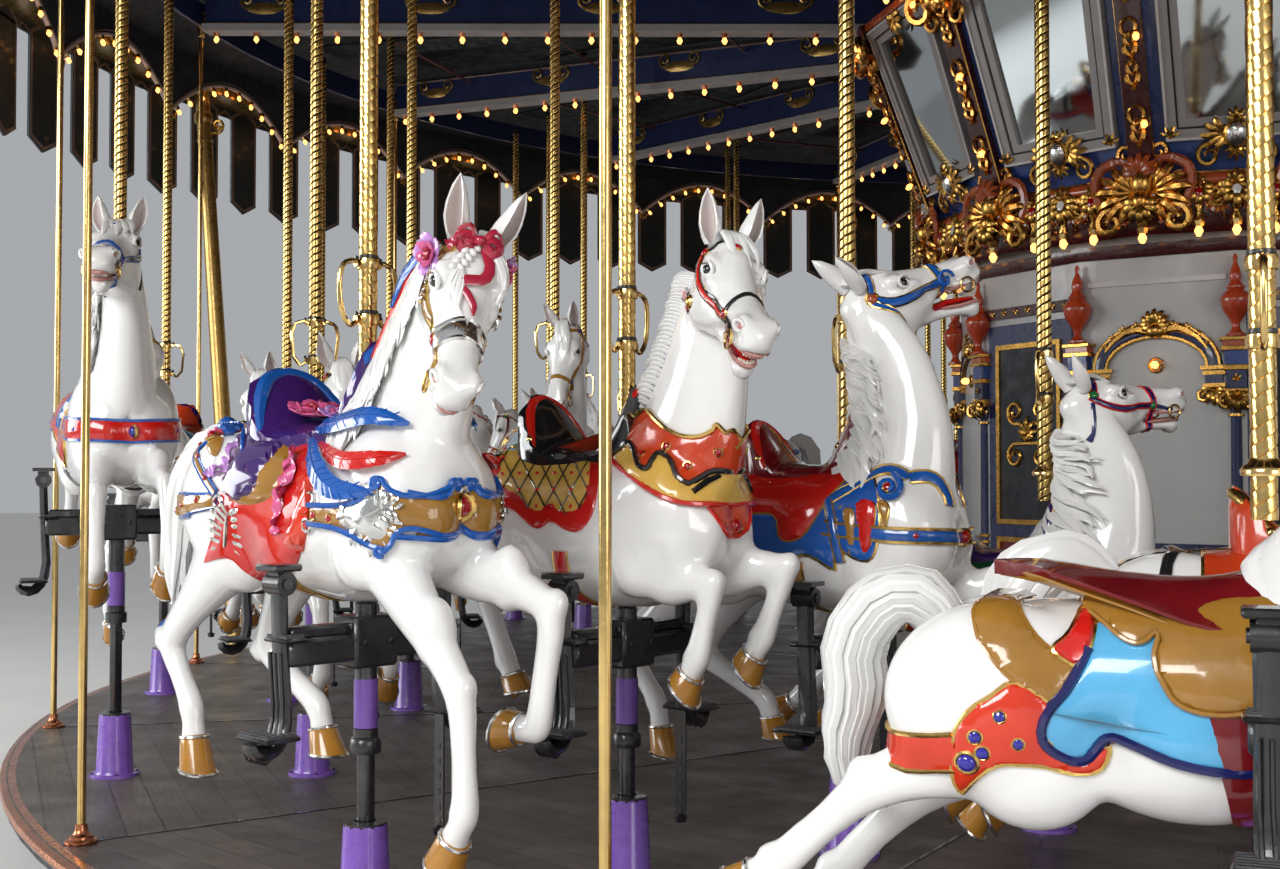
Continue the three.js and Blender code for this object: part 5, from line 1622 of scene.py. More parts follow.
def horse_near_right():
    """The low horse at the photograph's right: blue cloth in a navy border, ochre skirt and crupper, vermilion panel, maroon seat."""
    h = Horse("leaping", torso=LEAN, voxel=0.010, target=26000, yaw=-20, gape=0.03)
    W, _ = horse_place(1, 0, -0.2)
    v = View(W, h)
    blanket = [(1096.9, 622.1), (1089.8, 649.3), (1079.7, 669.4), (1065.4, 689.5), (1048.1, 709.6), (1040.4, 726.8), (1042.4, 741.2), (1053.9, 752.7), (1071.1, 760.7), (1085.5, 757.8), (1095.5, 748.4), (1105.5, 738.3), (1117, 736.9), (1131.4, 742.6),
               (1145.7, 749.8), (1168.7, 759.9), (1194.5, 767), (1220.4, 771.3), (1250, 772), (1280, 765), (1300, 750), (1310, 700), (1305, 640), (1280, 600), (1180, 600), (1110, 610)]
    v.field(blanket, 0.011, "sky_blue", step=7.0)
    v.line(blanket[1:22], 0.0125, "navy", out=0.010, n=70, seg=7)
    skirt = [(1080, 600), (1089.8, 617.8), (1105.5, 629.3), (1119.9, 640.7), (1134.2, 646.5), (1145.7, 645), (1154.3, 637.9), (1158.1, 641.3), (1154.3, 655.1), (1155.8, 669.4), (1163, 683.8), (1174.4, 701), (1191.7, 711.1), (1214.6, 715.4),
             (1240.4, 713.9), (1260.5, 706.7), (1285, 690), (1298, 650), (1300, 600), (1290, 575), (1250, 572), (1200, 580), (1150, 585), (1100, 585)]
    v.field(skirt, 0.022, "ochre", step=7.0)
    v.line(skirt[1:17], 0.006, "ochre", out=0.020, n=60)
    v.field([(985, 600), (974.4, 610.6), (974.9, 623.5), (979.3, 640.7), (990.7, 658), (1005.1, 673.7), (1019.4, 685.2), (1036.7, 696.7), (1050.4, 704.5), (1066, 686), (1079.7, 667.1), (1068.2, 662.3), (1056.8, 655.1), (1039.5, 640.7), (1028, 626.4), (1019.4, 609.2), (1018, 594.2)],
            0.013, "ochre", "ochre", er=0.006, step=6.0)
    panel = [(1015.1, 683.2), (1049.6, 705.3), (1043.8, 729.7), (1059.6, 755.5), (1079.7, 759.9), (1095.5, 748.4), (1109.9, 745.5), (1109, 755.5), (1102.7, 767), (1088.3, 773.3), (1068.2, 772.8), (1048.1, 767), (1025.2, 764.2), (1002.2, 763.6),
             (987.9, 768.5), (973.5, 779.9), (963.5, 791.4, 0), (956.3, 784.3), (952, 767), (952.8, 744.1), (957.7, 726.8), (970.6, 709.6), (990.7, 696.7)]
    v.field(panel, 0.015, "vermilion", "gold_leaf", er=0.0065, step=6.0)
    v.field([(1082.6, 609.2), (1095.5, 622.1), (1089.8, 652.2), (1079.1, 667.1), (1052.4, 651.4), (1068.2, 635), (1078.3, 617.8)], 0.020, "scarlet", "gold_leaf", er=0.006, step=5.0)
    for px, py, r in ((975.8, 735.2, 0.014), (983, 750.4, 0.014), (968.3, 759.3, 0.022), (1000, 716, 0.012), (1018, 742, 0.012)):
        v.gem(px, py, r, "sapphire", "gold_leaf", up=0.012)
    back = [tuple(v.pts([(957, 752)])[0]), (-0.78, -0.20, 1.16), (-0.84, -0.08, 1.17), (-0.85, 0, 1.17), (-0.84, 0.08, 1.17), (-0.78, 0.20, 1.16), tuple(v.pts([(957, 752)], True)[0])]
    loop_band(h, back, 0.09, 0.012, "vermilion", "gold_leaf", 0.006)
    for m in (0, 1):
        q = v.pts([(1228, 700), (1231, 714), (1238, 740), (1244, 765), (1252, 790)], bool(m))
        end = near(h.tree, q[-1] * V3(1, 0.5, 1) + V3(0, 0, -0.05))[0]
        mid = near(h.tree, V3(end[0], 0, end[2] - 0.05))[0]
        strap(h.P, h.tree, np.vstack([q, [end, mid]]), 0.106, 0.016, "maroon", None, step=0.03)
    seat(h.P, [(-0.600, .012, 1.600, 1.598), (-0.50, .10, 1.605, 1.592), (-0.40, .15, 1.592, 1.562), (-0.28, .185, 1.575, 1.525), (-0.15, .20, 1.57, 1.48), (-0.05, .19, 1.585, 1.47), (0.03, .12, 1.62, 1.54), (0.09, .07, 1.66, 1.61), (0.12, .03, 1.665, 1.64)], "maroon", 0.034)
    seat(h.P, [(-0.585, .010, 1.585, 1.584), (-0.50, .092, 1.580, 1.572), (-0.40, .142, 1.566, 1.542), (-0.28, .178, 1.548, 1.505), (-0.15, .192, 1.54, 1.46), (-0.05, .18, 1.55, 1.45)], "ochre", 0.022)
    breast(h, 0.085, 0.018, "vermilion", "gold_leaf", "sapphire")
    bridle(h, "maroon", "gold_leaf", "sapphire")
    mane(h, 24, length=0.38, w=0.030, wave=0.018, t0=0.08, seed=5, rings=10, blow=(-0.03, -0.02, 0))
    forelock(h, 5, 0.19, 0.020, seed=3)
    curled_tail(h, [(-0.70, 0, 1.44), (-0.78, 0, 1.51), (-0.88, 0, 1.485), (-0.95, 0, 1.36), (-0.935, 0, 1.23), (-0.975, 0, 1.12), (-0.93, 0, 1.02), (-0.86, 0, 0.99)], 0.078, 15)
    return h


def horse_second():
    """The second row's horse: harlequin cloth, breast piece with a black wave, black and red bridle, hogged mane."""
    neck = [(0.18, 0, 1.41, 0.17, 0.27), (0.29, -0.005, 1.61, 0.135, 0.225), (0.36, -0.02, 1.79, 0.105, 0.19), (0.41, -0.04, 1.95, 0.088, 0.16), (0.445, -0.06, 2.07, 0.078, 0.13), (0.46, -0.07, 2.15, 0.07, 0.10)]
    h = Horse("tucked", voxel=0.010, target=24000, neck=neck, poll=(0.483, -0.075, 2.199), pitch=34, yaw=-38, roll=-9, gape=0.045, tongue=True)
    W, _ = horse_place(0, 1)
    v = View(W, h)
    top = [(622.9, 401.6), (629, 413.9), (643.3, 412.9), (649.4, 410.8), (657.6, 420), (669.8, 430.2), (684.1, 436.3), (700.4, 436.3), (712.7, 430.2), (716.7, 424.1), (724.9, 432.2), (733, 430.2), (743.3, 448.6)]
    low = [(612.7, 461.8), (622.9, 471), (643.3, 485.3), (663.7, 497.6), (684.1, 503.7), (714.7, 504.7), (749.4, 503.7)]
    wave = [(613.7, 457.8), (622.9, 450.6), (631, 443.5), (637.1, 450.6), (641.2, 466.9), (649.4, 470), (655.5, 459.8), (661.6, 455.7), (669.8, 462.9), (675.9, 477.1), (686.1, 485.3), (696.3, 481.2), (710.6, 471), (724.9, 470), (739.2, 477.1), (749.4, 491.4)]
    v.field([(*p, 0) if i in (0,) else p for i, p in enumerate(top)] + [(749.4, 464.9), (751.4, 485.3), (749.4, 503.7, 0)] + low[-2::-1], 0.012, "orange_red", step=5.0)
    v.field([(*p, 0) if i in (0, len(wave) - 1) else p for i, p in enumerate(wave)] + [(749.4, 503.7, 0)] + low[-2:0:-1] + [(612.7, 461.8, 0)], 0.017, "yellow", step=4.0)
    v.line(wave, 0.011, "black_gloss", out=0.015, n=60, seg=7)
    v.line(low, 0.010, "scarlet", out=0.013, n=30)
    v.line(top, 0.008, "gold_leaf", out=0.012, n=44)
    for px, py in ((717.8, 451.6), (688.2, 466.9), (643.3, 456.7), (617.8, 441.4), (668, 447)):
        v.gem(px, py, 0.013, "ruby", "gold_leaf", up=0.012)
    ctrl = [tuple(v.pts([(748, 478)])[0]), (0.50, 0, 1.30), tuple(v.pts([(748, 478)], True)[0])]
    loop_band(h, ctrl, 0.10, 0.011, "orange_red", "scarlet", 0.007)
    gem(h.P, h.tree, (0.50, 0, 1.30), 0.024, "ruby", "gold_leaf")
    # harlequin cloth
    v.field([(494.3, 458), (494.3, 480), (496.3, 501.6), (514.7, 509.8), (531, 524.1), (541.2, 527.1), (551.4, 520), (567.8, 529.2), (582, 528.2), (594.3, 505.7), (598.4, 458.8), (590, 430), (520, 430)], 0.011, "scarlet", "scarlet", er=0.006, step=6.0)
    yel = [(502, 440), (500.4, 464.9), (497.3, 485.3), (516.7, 495.5), (529, 507.8), (541.2, 513.9), (551.4, 505.7), (561.6, 513.9), (569.8, 514.9), (586.1, 505.7), (591.2, 485.3), (591.2, 460.8), (584, 436), (520, 434)]
    v.field(yel, 0.0165, "yellow", step=6.0)
    poly = loop2d(yel, 4.0)
    P_ = h.P
    for dx in (8.6, -8.6):
        for i in range(-14, 30):
            x0 = 470 + 17.3 * i
            run, runs = [], []
            for s in np.linspace(0, 8, 49):
                p = (x0 + dx * s, 400 + 15.3 * s)
                if inside(poly, np.array([p]))[0]:
                    run.append(p)
                elif run:
                    runs.append(run)
                    run = []
            if run:
                runs.append(run)
            for run in runs:
                if len(run) > 2:
                    for m in (0, 1):
                        bead(P_, v.pts(run[::2] + ([run[-1]] if len(run) % 2 == 0 else []), bool(m), 0.0175), 0.0032, "black_gloss", sides=4)
    for i in range(-14, 30):
        for j in range(16):
            p = (470 + 17.3 * i + 8.65 * j, 400 + 15.3 * j / 2 * 1.0)
            if j % 2 == 0 and inside(poly, np.array([p]))[0]:
                v.gem(p[0], p[1], 0.0075, "scarlet", up=0.0175)
    v.field([(535.1, 415.9), (523.9, 448.6), (539.2, 468, 0), (551.4, 450.6), (565.7, 422), (582, 403.7), (560, 398), (540, 402)], 0.024, "black_gloss", "scarlet", er=0.008, step=5.0)
    v.field([(504.5, 411.8), (529, 418), (527, 428.2), (516.7, 446.5), (492.2, 458.8), (486.1, 446.5), (498.4, 428.2)], 0.017, "scarlet", "black_gloss", er=0.007, step=4.0)
    v.field([(507, 418), (522, 422), (518, 432), (509, 442), (496, 450), (493, 444), (503, 430)], 0.021, "yellow", step=4.0)
    v.gem(515, 424, 0.016, "emerald", "gold_leaf", up=0.018)
    v.gem(494, 450, 0.013, "ruby", "gold_leaf", up=0.018)
    saddle(h, x0=-0.44, x1=0.075, half=0.20, cantle=0.165, pommel=0.08, mat="black_gloss", roll="scarlet", roll_r=0.026, step=0.022)
    crupper(h, "orange_red", "gold_leaf", "ruby", "black_gloss", 0.055)
    cinch(h, "scarlet", "gold_leaf")
    # bridle
    bridle(h, "black_gloss", None, "ruby", w=0.022)
    H = h.H
    for y in (-1, 1):
        strap(h.P, h.tree, H((0.04, y * 0.09, 0.02), (0.10, y * 0.106, -0.01), (0.18, y * 0.108, -0.035), (0.27, y * 0.085, -0.045), (0.35, y * 0.07, -0.05)), 0.024, 0.011, "scarlet", "black_gloss", 0.003, step=0.02)
        for x, yy, z in ((0.07, 0.10, 0.005), (0.19, 0.105, -0.037), (0.30, 0.08, -0.047)):
            gem(h.P, h.tree, H((x, y * yy, z)), 0.013, "gold_leaf", "gold_leaf")
    ring = [h.neckpt(0.80, a, 1.0) for a in range(-90, 271, 30)]
    strap(h.P, h.tree, ring, 0.034, 0.011, "scarlet", "black_gloss", 0.005, step=0.03)
    gem(h.P, h.tree, h.neckpt(0.80, 200, 1.0), 0.018, "gold_leaf", "gold_leaf")
    hogged(h)
    tail(h, GEN_TAIL["tucked"], 14, 0.075, 0.034, 0.020, seed=4)
    forelock(h, 4, 0.14, 0.018, seed=2)
    return h


def horse_third():
    """The third row's horse: head thrown up and turned in, blue and gold bridle and breast strap, red saddle."""
    neck = [(0.17, 0, 1.40, 0.175, 0.28), (0.22, 0, 1.58, 0.14, 0.235), (0.235, 0, 1.76, 0.108, 0.195), (0.20, -0.01, 1.93, 0.090, 0.165), (0.145, -0.02, 2.06, 0.080, 0.135), (0.09, -0.03, 2.15, 0.072, 0.105)]
    h = Horse("striding", voxel=0.011, target=18000, neck=neck, poll=(0.06, -0.035, 2.205), pitch=-20, yaw=54, roll=4, gape=0.075, tongue=True)
    W, _ = horse_place(0, 2)
    v = View(W, h)
    v.field([(822, 455), (826, 500), (838, 545), (870, 560), (880, 520), (872, 470), (850, 448)], 0.010, "royal_blue", "gold_leaf", er=0.006, step=6.0)
    v.field([(831.8, 451, 0), (852, 458), (868.5, 467, 0), (852, 480), (838.6, 488, 0)], 0.018, "scarlet", "ochre", er=0.006, step=5.0)
    for o, mat in (([(843, 514), (850, 553, 0), (855, 545), (857, 515), (850, 508)], "ochre"), ([(857, 504), (875.4, 504), (873, 540), (868, 556, 0), (861, 546)], "scarlet"), ([(878, 503), (889, 506), (885, 532, 0)], "ochre")):
        v.field(o, 0.017, mat, "gold_leaf", er=0.004, step=4.0)
    v.band([(831.8, 499.4), (850, 489), (868.5, 478.7), (889.2, 469.6), (907.5, 478.7)], 0.046, 0.014, "royal_blue", "gold_leaf", 0.006)
    v.band([(907.5, 478.7), (922, 476), (935, 478.7), (946.6, 494.8), (948.9, 506.3)], 0.046, 0.014, "royal_blue", "gold_leaf", 0.006)
    volute(v, 889.2, 489, 13, 1.4, -70, "royal_blue", 0.013, cw=1, up=0.016)
    v.gem(889.2, 489, 0.016, "ruby", "gold_leaf", up=0.018)
    v.band([(831.8, 453.5), (827.2, 481), (831.8, 515.5), (841, 561.4)], 0.034, 0.015, "royal_blue", "gold_leaf", 0.005)
    breast(h, 0.05, 0.0, "royal_blue", "gold_leaf", "ruby", z=1.30)
    h.both(GENERIC[3]["blanket"], 0.011, "royal_blue", "gold_leaf", er=0.008, step=0.03)
    h.both(GENERIC[3]["skirt"], 0.026, "scarlet", "ochre", er=0.006, step=0.03)
    saddle(h, mat="maroon", roll="scarlet", roll_r=0.026, step=0.026, cantle=0.15)
    crupper(h, "royal_blue", "gold_leaf", "ruby", "ochre")
    cinch(h, "ochre", "gold_leaf")
    H = h.H
    t = 0.009
    loop = [(0.345, 0, 0.06), (0.35, -0.055, 0.03), (0.355, -0.072, -0.03), (0.35, -0.05, -0.06), (0.35, 0.05, -0.06), (0.355, 0.072, -0.03), (0.35, 0.055, 0.03), (0.345, 0, 0.06)]
    strap(h.P, h.tree, H(*loop), 0.032, t, "royal_blue", "gold_leaf", 0.004, step=0.02)
    for y in (-1, 1):
        strap(h.P, h.tree, H((0.345, y * 0.07, -0.02), (0.28, y * 0.080, -0.02), (0.20, y * 0.10, -0.03), (0.10, y * 0.106, -0.03), (0.02, y * 0.088, 0.01)), 0.034, t, "royal_blue", "gold_leaf", 0.004, step=0.02)
        strap(h.P, h.tree, H((0.02, y * 0.088, 0.01), (0.04, y * 0.092, -0.07), (0.10, y * 0.085, -0.15), (0.16, y * 0.05, -0.185), (0.17, 0, -0.19)), 0.026, t, "royal_blue", "gold_leaf", 0.004, step=0.025)
        strap(h.P, h.tree, H((0.03, y * 0.085, 0.03), (0.05, y * 0.06, 0.085), (0.055, 0, 0.10)), 0.026, t, "royal_blue", "gold_leaf", 0.004, step=0.02)
        gem(h.P, h.tree, H((0.025, y * 0.09, 0.01)), 0.022, "carved_orange", "gold_leaf")
        a = np.linspace(0, 1, 16)
        c = H((0.365, y * 0.078, -0.02))
        bead(h.P, H(*[(0.365 + 0.040 * (1 - 0.8 * q) * math.cos(7.5 * q), y * 0.078, -0.015 + 0.040 * (1 - 0.8 * q) * math.sin(7.5 * q)) for q in a]), 0.007, "royal_blue", False, 6)
        bead(h.P, H(*[(0.462 + 0.030 * math.cos(q), y * 0.068, -0.066 + 0.030 * math.sin(q)) for q in np.linspace(0, 2 * math.pi, 13)[:-1]]), 0.0045, "gold_leaf", True, 5)
    long_mane(h, 24, length=0.50, w=0.024, layers=2, wave=0.022, rings=12)
    tail(h, GEN_TAIL["striding"], 12, 0.075, 0.038, 0.022, seed=6)
    forelock(h, 5, 0.16, 0.020, seed=3)
    return h


def acanthus(P, tree, c, ax, size, mat="silver_leaf", leaves=7, seed=1, flat=0.5):
    """A carved leaf cluster that lies on the body: curled lobes off a rib."""
    r = random.Random(seed)
    loc, nor = near(tree, c)
    z = unit(nor)
    x = unit(np.asarray(ax, float) - z * (np.asarray(ax, float) @ z))
    y = np.cross(z, x)
    for i in range(leaves):
        t = i / (leaves - 1)
        for s in (-1, 1):
            a = rad(20 + 70 * (1 - t) + 8 * r.random()) * s
            d = x * math.cos(a) + y * math.sin(a)
            e = y * math.cos(a) * s - x * math.sin(a) * s
            o = loc + x * size * (t - 0.5) * 0.9
            L = size * (0.34 + 0.22 * math.sin(math.pi * (0.2 + 0.7 * t)))
            p = [o, o + d * L * 0.5 + e * L * 0.08 + z * size * 0.06, o + d * L * 0.85 + e * L * 0.22 + z * size * 0.05, o + d * L + e * L * 0.42 + z * size * 0.015]
            P.add(lock(p, size * 0.070, size * 0.035, 8, 5, up=tuple(z)), mat)
    P.add(sweep(spline([loc - x * size * 0.5 + z * 0.01, loc + z * size * 0.07, loc + x * size * 0.55 + z * 0.012], 8), np.array([0.3, 0.8, 1, 1, 1, 0.9, 0.6, 0.2]) * size * 0.055, None, 6), mat)


def ribbon(P, pts, w, mat, folds=5, depth=0.35, up=(0, -1, 0)):
    """A twisted ribbon: a flat strip that rolls as it falls."""
    n = folds * 6
    c = spline(pts, n)
    T, S, U = frames(c, up)
    k = np.linspace(0, folds * math.pi, n)
    a = np.sin(k) * 0.9
    B = S * np.cos(a)[:, None] + U * np.sin(a)[:, None]
    N = np.cross(T, B)
    wv = w * (0.75 + 0.35 * np.abs(np.cos(k)))[:, None]
    th = w * 0.10
    rows = [c - B * wv, c - B * wv * 0.3 + N * th, c + B * wv * 0.3 + N * th, c + B * wv, c + B * wv * 0.3 - N * th, c - B * wv * 0.3 - N * th]
    P.add((np.stack(rows, 1).reshape(-1, 3), ring_faces(n, 6)), mat)


def volute(v, px, py, r, turns, start, mat, rr, sides=(0, 1), n=14, cw=1, up=0.008):
    """A rolled end of a border, given in the photograph's frame."""
    pts = []
    for i in range(n):
        t = i / (n - 1)
        a = rad(start) + cw * t * turns * 2 * math.pi
        q = r * (1 - 0.82 * t)
        pts.append((px + q * math.cos(a), py + q * math.sin(a)))
    v.line(pts, rr, mat, out=up, sides=sides, n=n * 2)


def horse_one():
    """The near horse: white, purple saddle, feathers, scarlet cloth, ochre harness with blue edges."""
    neck = [(0.14, 0, 1.42, 0.175, 0.27), (0.25, 0, 1.60, 0.14, 0.225), (0.32, 0, 1.76, 0.115, 0.19), (0.38, 0.005, 1.90, 0.095, 0.165), (0.43, 0.01, 2.00, 0.085, 0.14), (0.46, 0.01, 2.06, 0.078, 0.11)]
    h = Horse("striding", voxel=0.009, target=34000, neck=neck, poll=(0.49, 0.005, 2.066), pitch=55, yaw=-47, roll=-23, gape=0.016, ears=1.08)
    W, _ = horse_place(0, 0)
    v = View(W, h)
    P, tree = h.P, h.tree
    # scarlet cloth and its bright front fold
    v.field([(222, 480, 0), (214, 530), (204.7, 562.7, 0), (218, 559), (231.4, 558.7), (244.3, 570.5), (260.8, 579.9), (272.6, 582.3), (284.4, 578.7), (294.3, 570.5), (303, 545), (311.6, 502), (314, 469), (317, 440, 0), (300, 420), (262, 430)], 0.012, "scarlet")
    v.field([(313, 462, 0), (311.6, 502), (304, 551, 0), (283, 545, 0), (292, 520), (303, 490)], 0.021, "vermilion")
    v.field([(262, 425, 0), (294, 450), (291.5, 460), (282, 481), (275, 497), (263, 503.5), (250, 505.8), (237, 502.5), (231, 497), (240, 460)], 0.024, "ochre", "gold_leaf", er=0.0035)
    v.field([(292, 440), (289, 449), (268, 474), (260, 492), (253, 499), (241, 502), (231.5, 497.5), (227.5, 486), (229, 474), (239, 457), (248, 440), (262, 425), (285, 428)], 0.036, "purple_seat")
    saddle(h, x0=-0.47, x1=0.075, half=0.235, cantle=0.15, pommel=0.07, mat="purple_seat", roll="royal_blue", roll_r=0.034, step=0.02, wing=0.15)
    # blue plume folded over the cantle's side, its button and tail
    for m in (0, 1):
        a = v.pts([(228, 400), (226, 412), (233, 425), (243, 434)], bool(m), 0.03)
        P.add(sweep(spline(a, 12), np.array([0.02, 0.03, 0.034, 0.036, 0.036, 0.034, 0.031, 0.027, 0.023, 0.019, 0.015, 0.010]), None, 9), "royal_blue")
        for k in range(5):
            b = a + np.array([V3(0, 0, 0)] * 4) + (V3(0.012 * (k - 2), (-1 if not m else 1) * (0.030 - 0.003 * abs(k - 2)), 0.010))
            bead(P, spline(b, 9), 0.0045, "royal_blue", sides=4)
    v.gem(245, 430.5, 0.016, "brass", "silver_leaf", up=0.03)
    v.line([(247, 436), (248.5, 448), (248.5, 458)], 0.008, "royal_blue", out=0.036, taper=True)
    # rear harness
    v.field([(216.5, 428.5, 0), (217, 450), (211, 472), (190, 478), (199, 440)][::1], 0.008, "white_enamel")
    v.band([(211, 433), (199.5, 447), (198, 458), (203.5, 472), (210, 484), (217, 494)], 0.026, 0.014, "ochre", "royal_blue", 0.006)
    v.field([(218.5, 425.5), (226, 427.5), (223, 444), (217, 456.5), (210.5, 455), (209, 444), (212.5, 434)], 0.018, "ochre", "gold_leaf", er=0.004, step=4)
    v.gem(214.9, 440.5, 0.020, "ruby", "gold_leaf", up=0.018)
    for px, py in ((202, 446), (201, 457.5), (208, 479)):
        v.gem(px, py, 0.009, "ruby", up=0.013)
    v.field([(216.7, 493.5, 0), (216.2, 507, 0), (197, 511), (183, 516), (174.5, 524), (174, 508), (175.5, 494.5), (196, 494)], 0.013, "ochre", "royal_blue", er=0.007, step=5)
    for px, py in ((185.5, 505), (199.5, 500), (176, 511)):
        v.gem(px, py, 0.012, "ruby", "gold_leaf", up=0.010)
    for px, py, r in ((220.5, 502, 0.022), (312.5, 499, 0.020), (309.5, 525, 0.020)):
        for m in (0, 1):
            p, nn = v.hit(px, py, bool(m))
            z = unit(nn); x = unit(np.cross(z, (0, 0, 1))); y = np.cross(z, x)
            bead(P, [p + z * 0.012 + (x * math.cos(t) + y * math.sin(t)) * r for t in np.linspace(0, 2 * math.pi, 17)[:-1]], 0.005, "silver_leaf", True, 6)
    # rear band goes on round the rump
    back = [tuple(v.pts([(190, 506)])[0]), (-0.80, -0.20, 1.29), (-0.87, -0.08, 1.27), (-0.88, 0, 1.27), (-0.87, 0.08, 1.27), (-0.80, 0.20, 1.29), tuple(v.pts([(190, 506)], True)[0])]
    loop_band(h, back, 0.072, 0.011, "ochre", "royal_blue", 0.006)
    # bow and frill behind the cantle
    for m in (0, 1):
        sy = -1 if not m else 1
        for (px, py, r, mat) in ((214, 424, 0.036, "crimson"), (223, 419, 0.040, "crimson"), (232, 423, 0.036, "crimson"), (210, 432, 0.028, "crimson"), (236, 431, 0.030, "crimson")):
            p, nn = v.hit(px, py, bool(m))
            z = unit(nn); x = unit(np.cross(z, (0, 0, 1))); y = np.cross(z, x)
            a = rad((px * 37) % 180)
            R = np.stack([x * math.cos(a) + y * math.sin(a), y * math.cos(a) - x * math.sin(a), z], 1)
            P.add(ball(p + z * 0.018, (r, r * 0.55, r * 0.42), 9, 7, R), mat)
            P.add(ball(p + z * 0.030, (r * 0.5, r * 0.3, r * 0.25), 8, 6, R), "pink")
        fr = v.pts([(243, 439), (234, 448), (232, 459), (224, 467), (214, 473), (207.5, 474)], bool(m), 0.014)
        ribbon(P, fr, 0.020, "lilac", folds=7)
        fr = v.pts([(244, 446), (238, 456), (229, 468), (219, 476)], bool(m), 0.012)
        ribbon(P, fr, 0.014, "lilac", folds=5)
    # rose, feathers and hanging ribbons
    for m in (0, 1):
        p, nn = v.hit(312, 432, bool(m))
        z = unit(nn + V3(0, 0, 0.3))
        petal_flower(P, p + z * 0.055, unit(z + V3(0.25, 0, 0)), 0.085, "pink", "pink", "crimson", 6)
        petal_flower(P, v.pts([(336, 418)], bool(m), 0.05)[0], unit(z + V3(0.6, 0, 0.4)), 0.05, "lilac", "lilac", "pink", 5)
        for pts, w, mat in (([(322, 440, 0.04), (350, 431, 0.055), (380, 424, 0.05), (412, 424, 0.02)], 0.036, "royal_blue"), ([(318, 450, 0.04), (328, 474, 0.05), (345, 489, 0.045), (373, 493, 0.016)], 0.040, "royal_blue"),
                            ([(326, 451, 0.03), (350, 463, 0.04), (376, 463, 0.035), (406, 456.5, 0.012)], 0.030, "scarlet")):
            q = v.pts(pts, bool(m))
            T_ = v.hit(pts[1][0], pts[1][1], bool(m))[1]
            feather(P, q, w, mat, rib=mat, n=22, up=tuple(T_))
            for s in range(9):
                t = 0.12 + 0.75 * s / 8
                c = spline(q, 30)
                i = int(t * 28)
                tt = unit(c[i + 1] - c[i]); b = unit(np.cross(T_, tt))
                for e in (-1, 1):
                    bead(P, spline([c[i] + T_ * w * 0.20, c[i] + b * e * w * 0.45 + tt * w * 0.4 + T_ * w * 0.13, c[i] + b * e * w * 0.78 + tt * w * 0.75 + T_ * w * 0.03], 4), w * 0.06, mat, sides=4)
        for pts in ([(297, 455, 0.03), (294, 470, 0.03), (288, 487, 0.028), (280, 499, 0.024)], [(300, 456, 0.03), (296, 478, 0.03), (286, 500, 0.026), (279, 521, 0.022), (280, 534, 0.02)]):
            ribbon(P, v.pts(pts, bool(m)), 0.020, "pink", folds=6)
    # silver leaves on the cloth
    for m in (0, 1):
        p, nn = v.hit(228, 533, bool(m))
        q, _ = v.hit(231, 512, bool(m))
        acanthus(P, tree, p, q - p, 0.150, leaves=7)
    # breast band: ochre, silver plate, blue scrolled borders
    top = [(311, 505.5), (338.7, 505.6), (357.5, 502), (371.7, 492.6), (378, 484), (383.5, 480), (388, 487), (395.3, 492.6), (407, 496.2), (428.3, 496.2), (442.5, 490.3), (448.5, 486), (455, 489), (460, 491), (464, 489), (468, 485), (474, 490), (478, 495), (487, 498), (496, 492)]
    low = [(310.4, 523.3), (334, 526.8), (350.5, 532.7), (369.3, 543.3), (379, 547), (384, 551), (391.7, 544.5), (397.6, 532.7), (409.4, 528), (426, 530.4), (442.5, 535), (454.2, 532.7), (459, 525.7), (463.7, 530.4), (475.5, 536.3), (489.6, 535), (499, 532.7)]
    v.field([(*p, 0) if i in (0, len(top) - 1) else p for i, p in enumerate(top)] + [(*p, 0) if i in (0, len(low) - 1) else p for i, p in enumerate(low[::-1])], 0.012, "ochre", step=5.0)
    v.line(top, 0.0095, "royal_blue", out=0.012, n=70)
    v.line(low, 0.0095, "royal_blue", out=0.012, n=60)
    volute(v, 378.5, 484.5, 6.0, 1.3, -60, "royal_blue", 0.008, cw=-1, up=0.016)
    volute(v, 382.5, 550.0, 5.6, 1.3, 60, "royal_blue", 0.008, cw=1, up=0.016)
    volute(v, 450.5, 483.5, 5.0, 1.2, 40, "royal_blue", 0.0075, cw=-1, up=0.016)
    volute(v, 466.0, 483.5, 5.0, 1.2, 140, "royal_blue", 0.0075, cw=1, up=0.016)
    v.field([(339, 511.5, 0), (357.5, 502), (383.5, 489), (392, 496), (394.1, 502), (393, 521), (384.7, 540), (362.3, 535), (343.4, 525.7)], 0.017, "silver_leaf", step=4.5)
    for m in (0, 1):
        for px, py, qx, qy, s, sd in ((366, 516, 380, 510, 0.14, 3), (378, 530, 388, 522, 0.11, 5), (380, 504, 390, 508, 0.10, 8)):
            p, q = v.hit(px, py, bool(m))[0], v.hit(qx, qy, bool(m))[0]
            acanthus(P, tree, p, q - p, s, leaves=6, seed=sd)
    v.gem(460.5, 506, 0.036, "ruby", "gold_leaf", up=0.010)
    v.gem(460.5, 489, 0.018, "silver_leaf", up=0.012)
    for px, py in ((316, 515), (331.5, 518)):
        v.gem(px, py, 0.012, "ruby", "gold_leaf", up=0.010)
    # girth
    strap(P, tree, [(-0.14, -0.24, 1.10), (-0.135, -0.14, 1.0), (-0.13, 0, 0.97), (-0.135, 0.14, 1.0), (-0.14, 0.24, 1.10)], 0.055, 0.010, "ochre", "gold_leaf", 0.003)
    return h, W


def near_path(tree, pts, out):
    return np.array([(lambda q: q[0] + q[1] * out)(near(tree, p)) for p in pts])


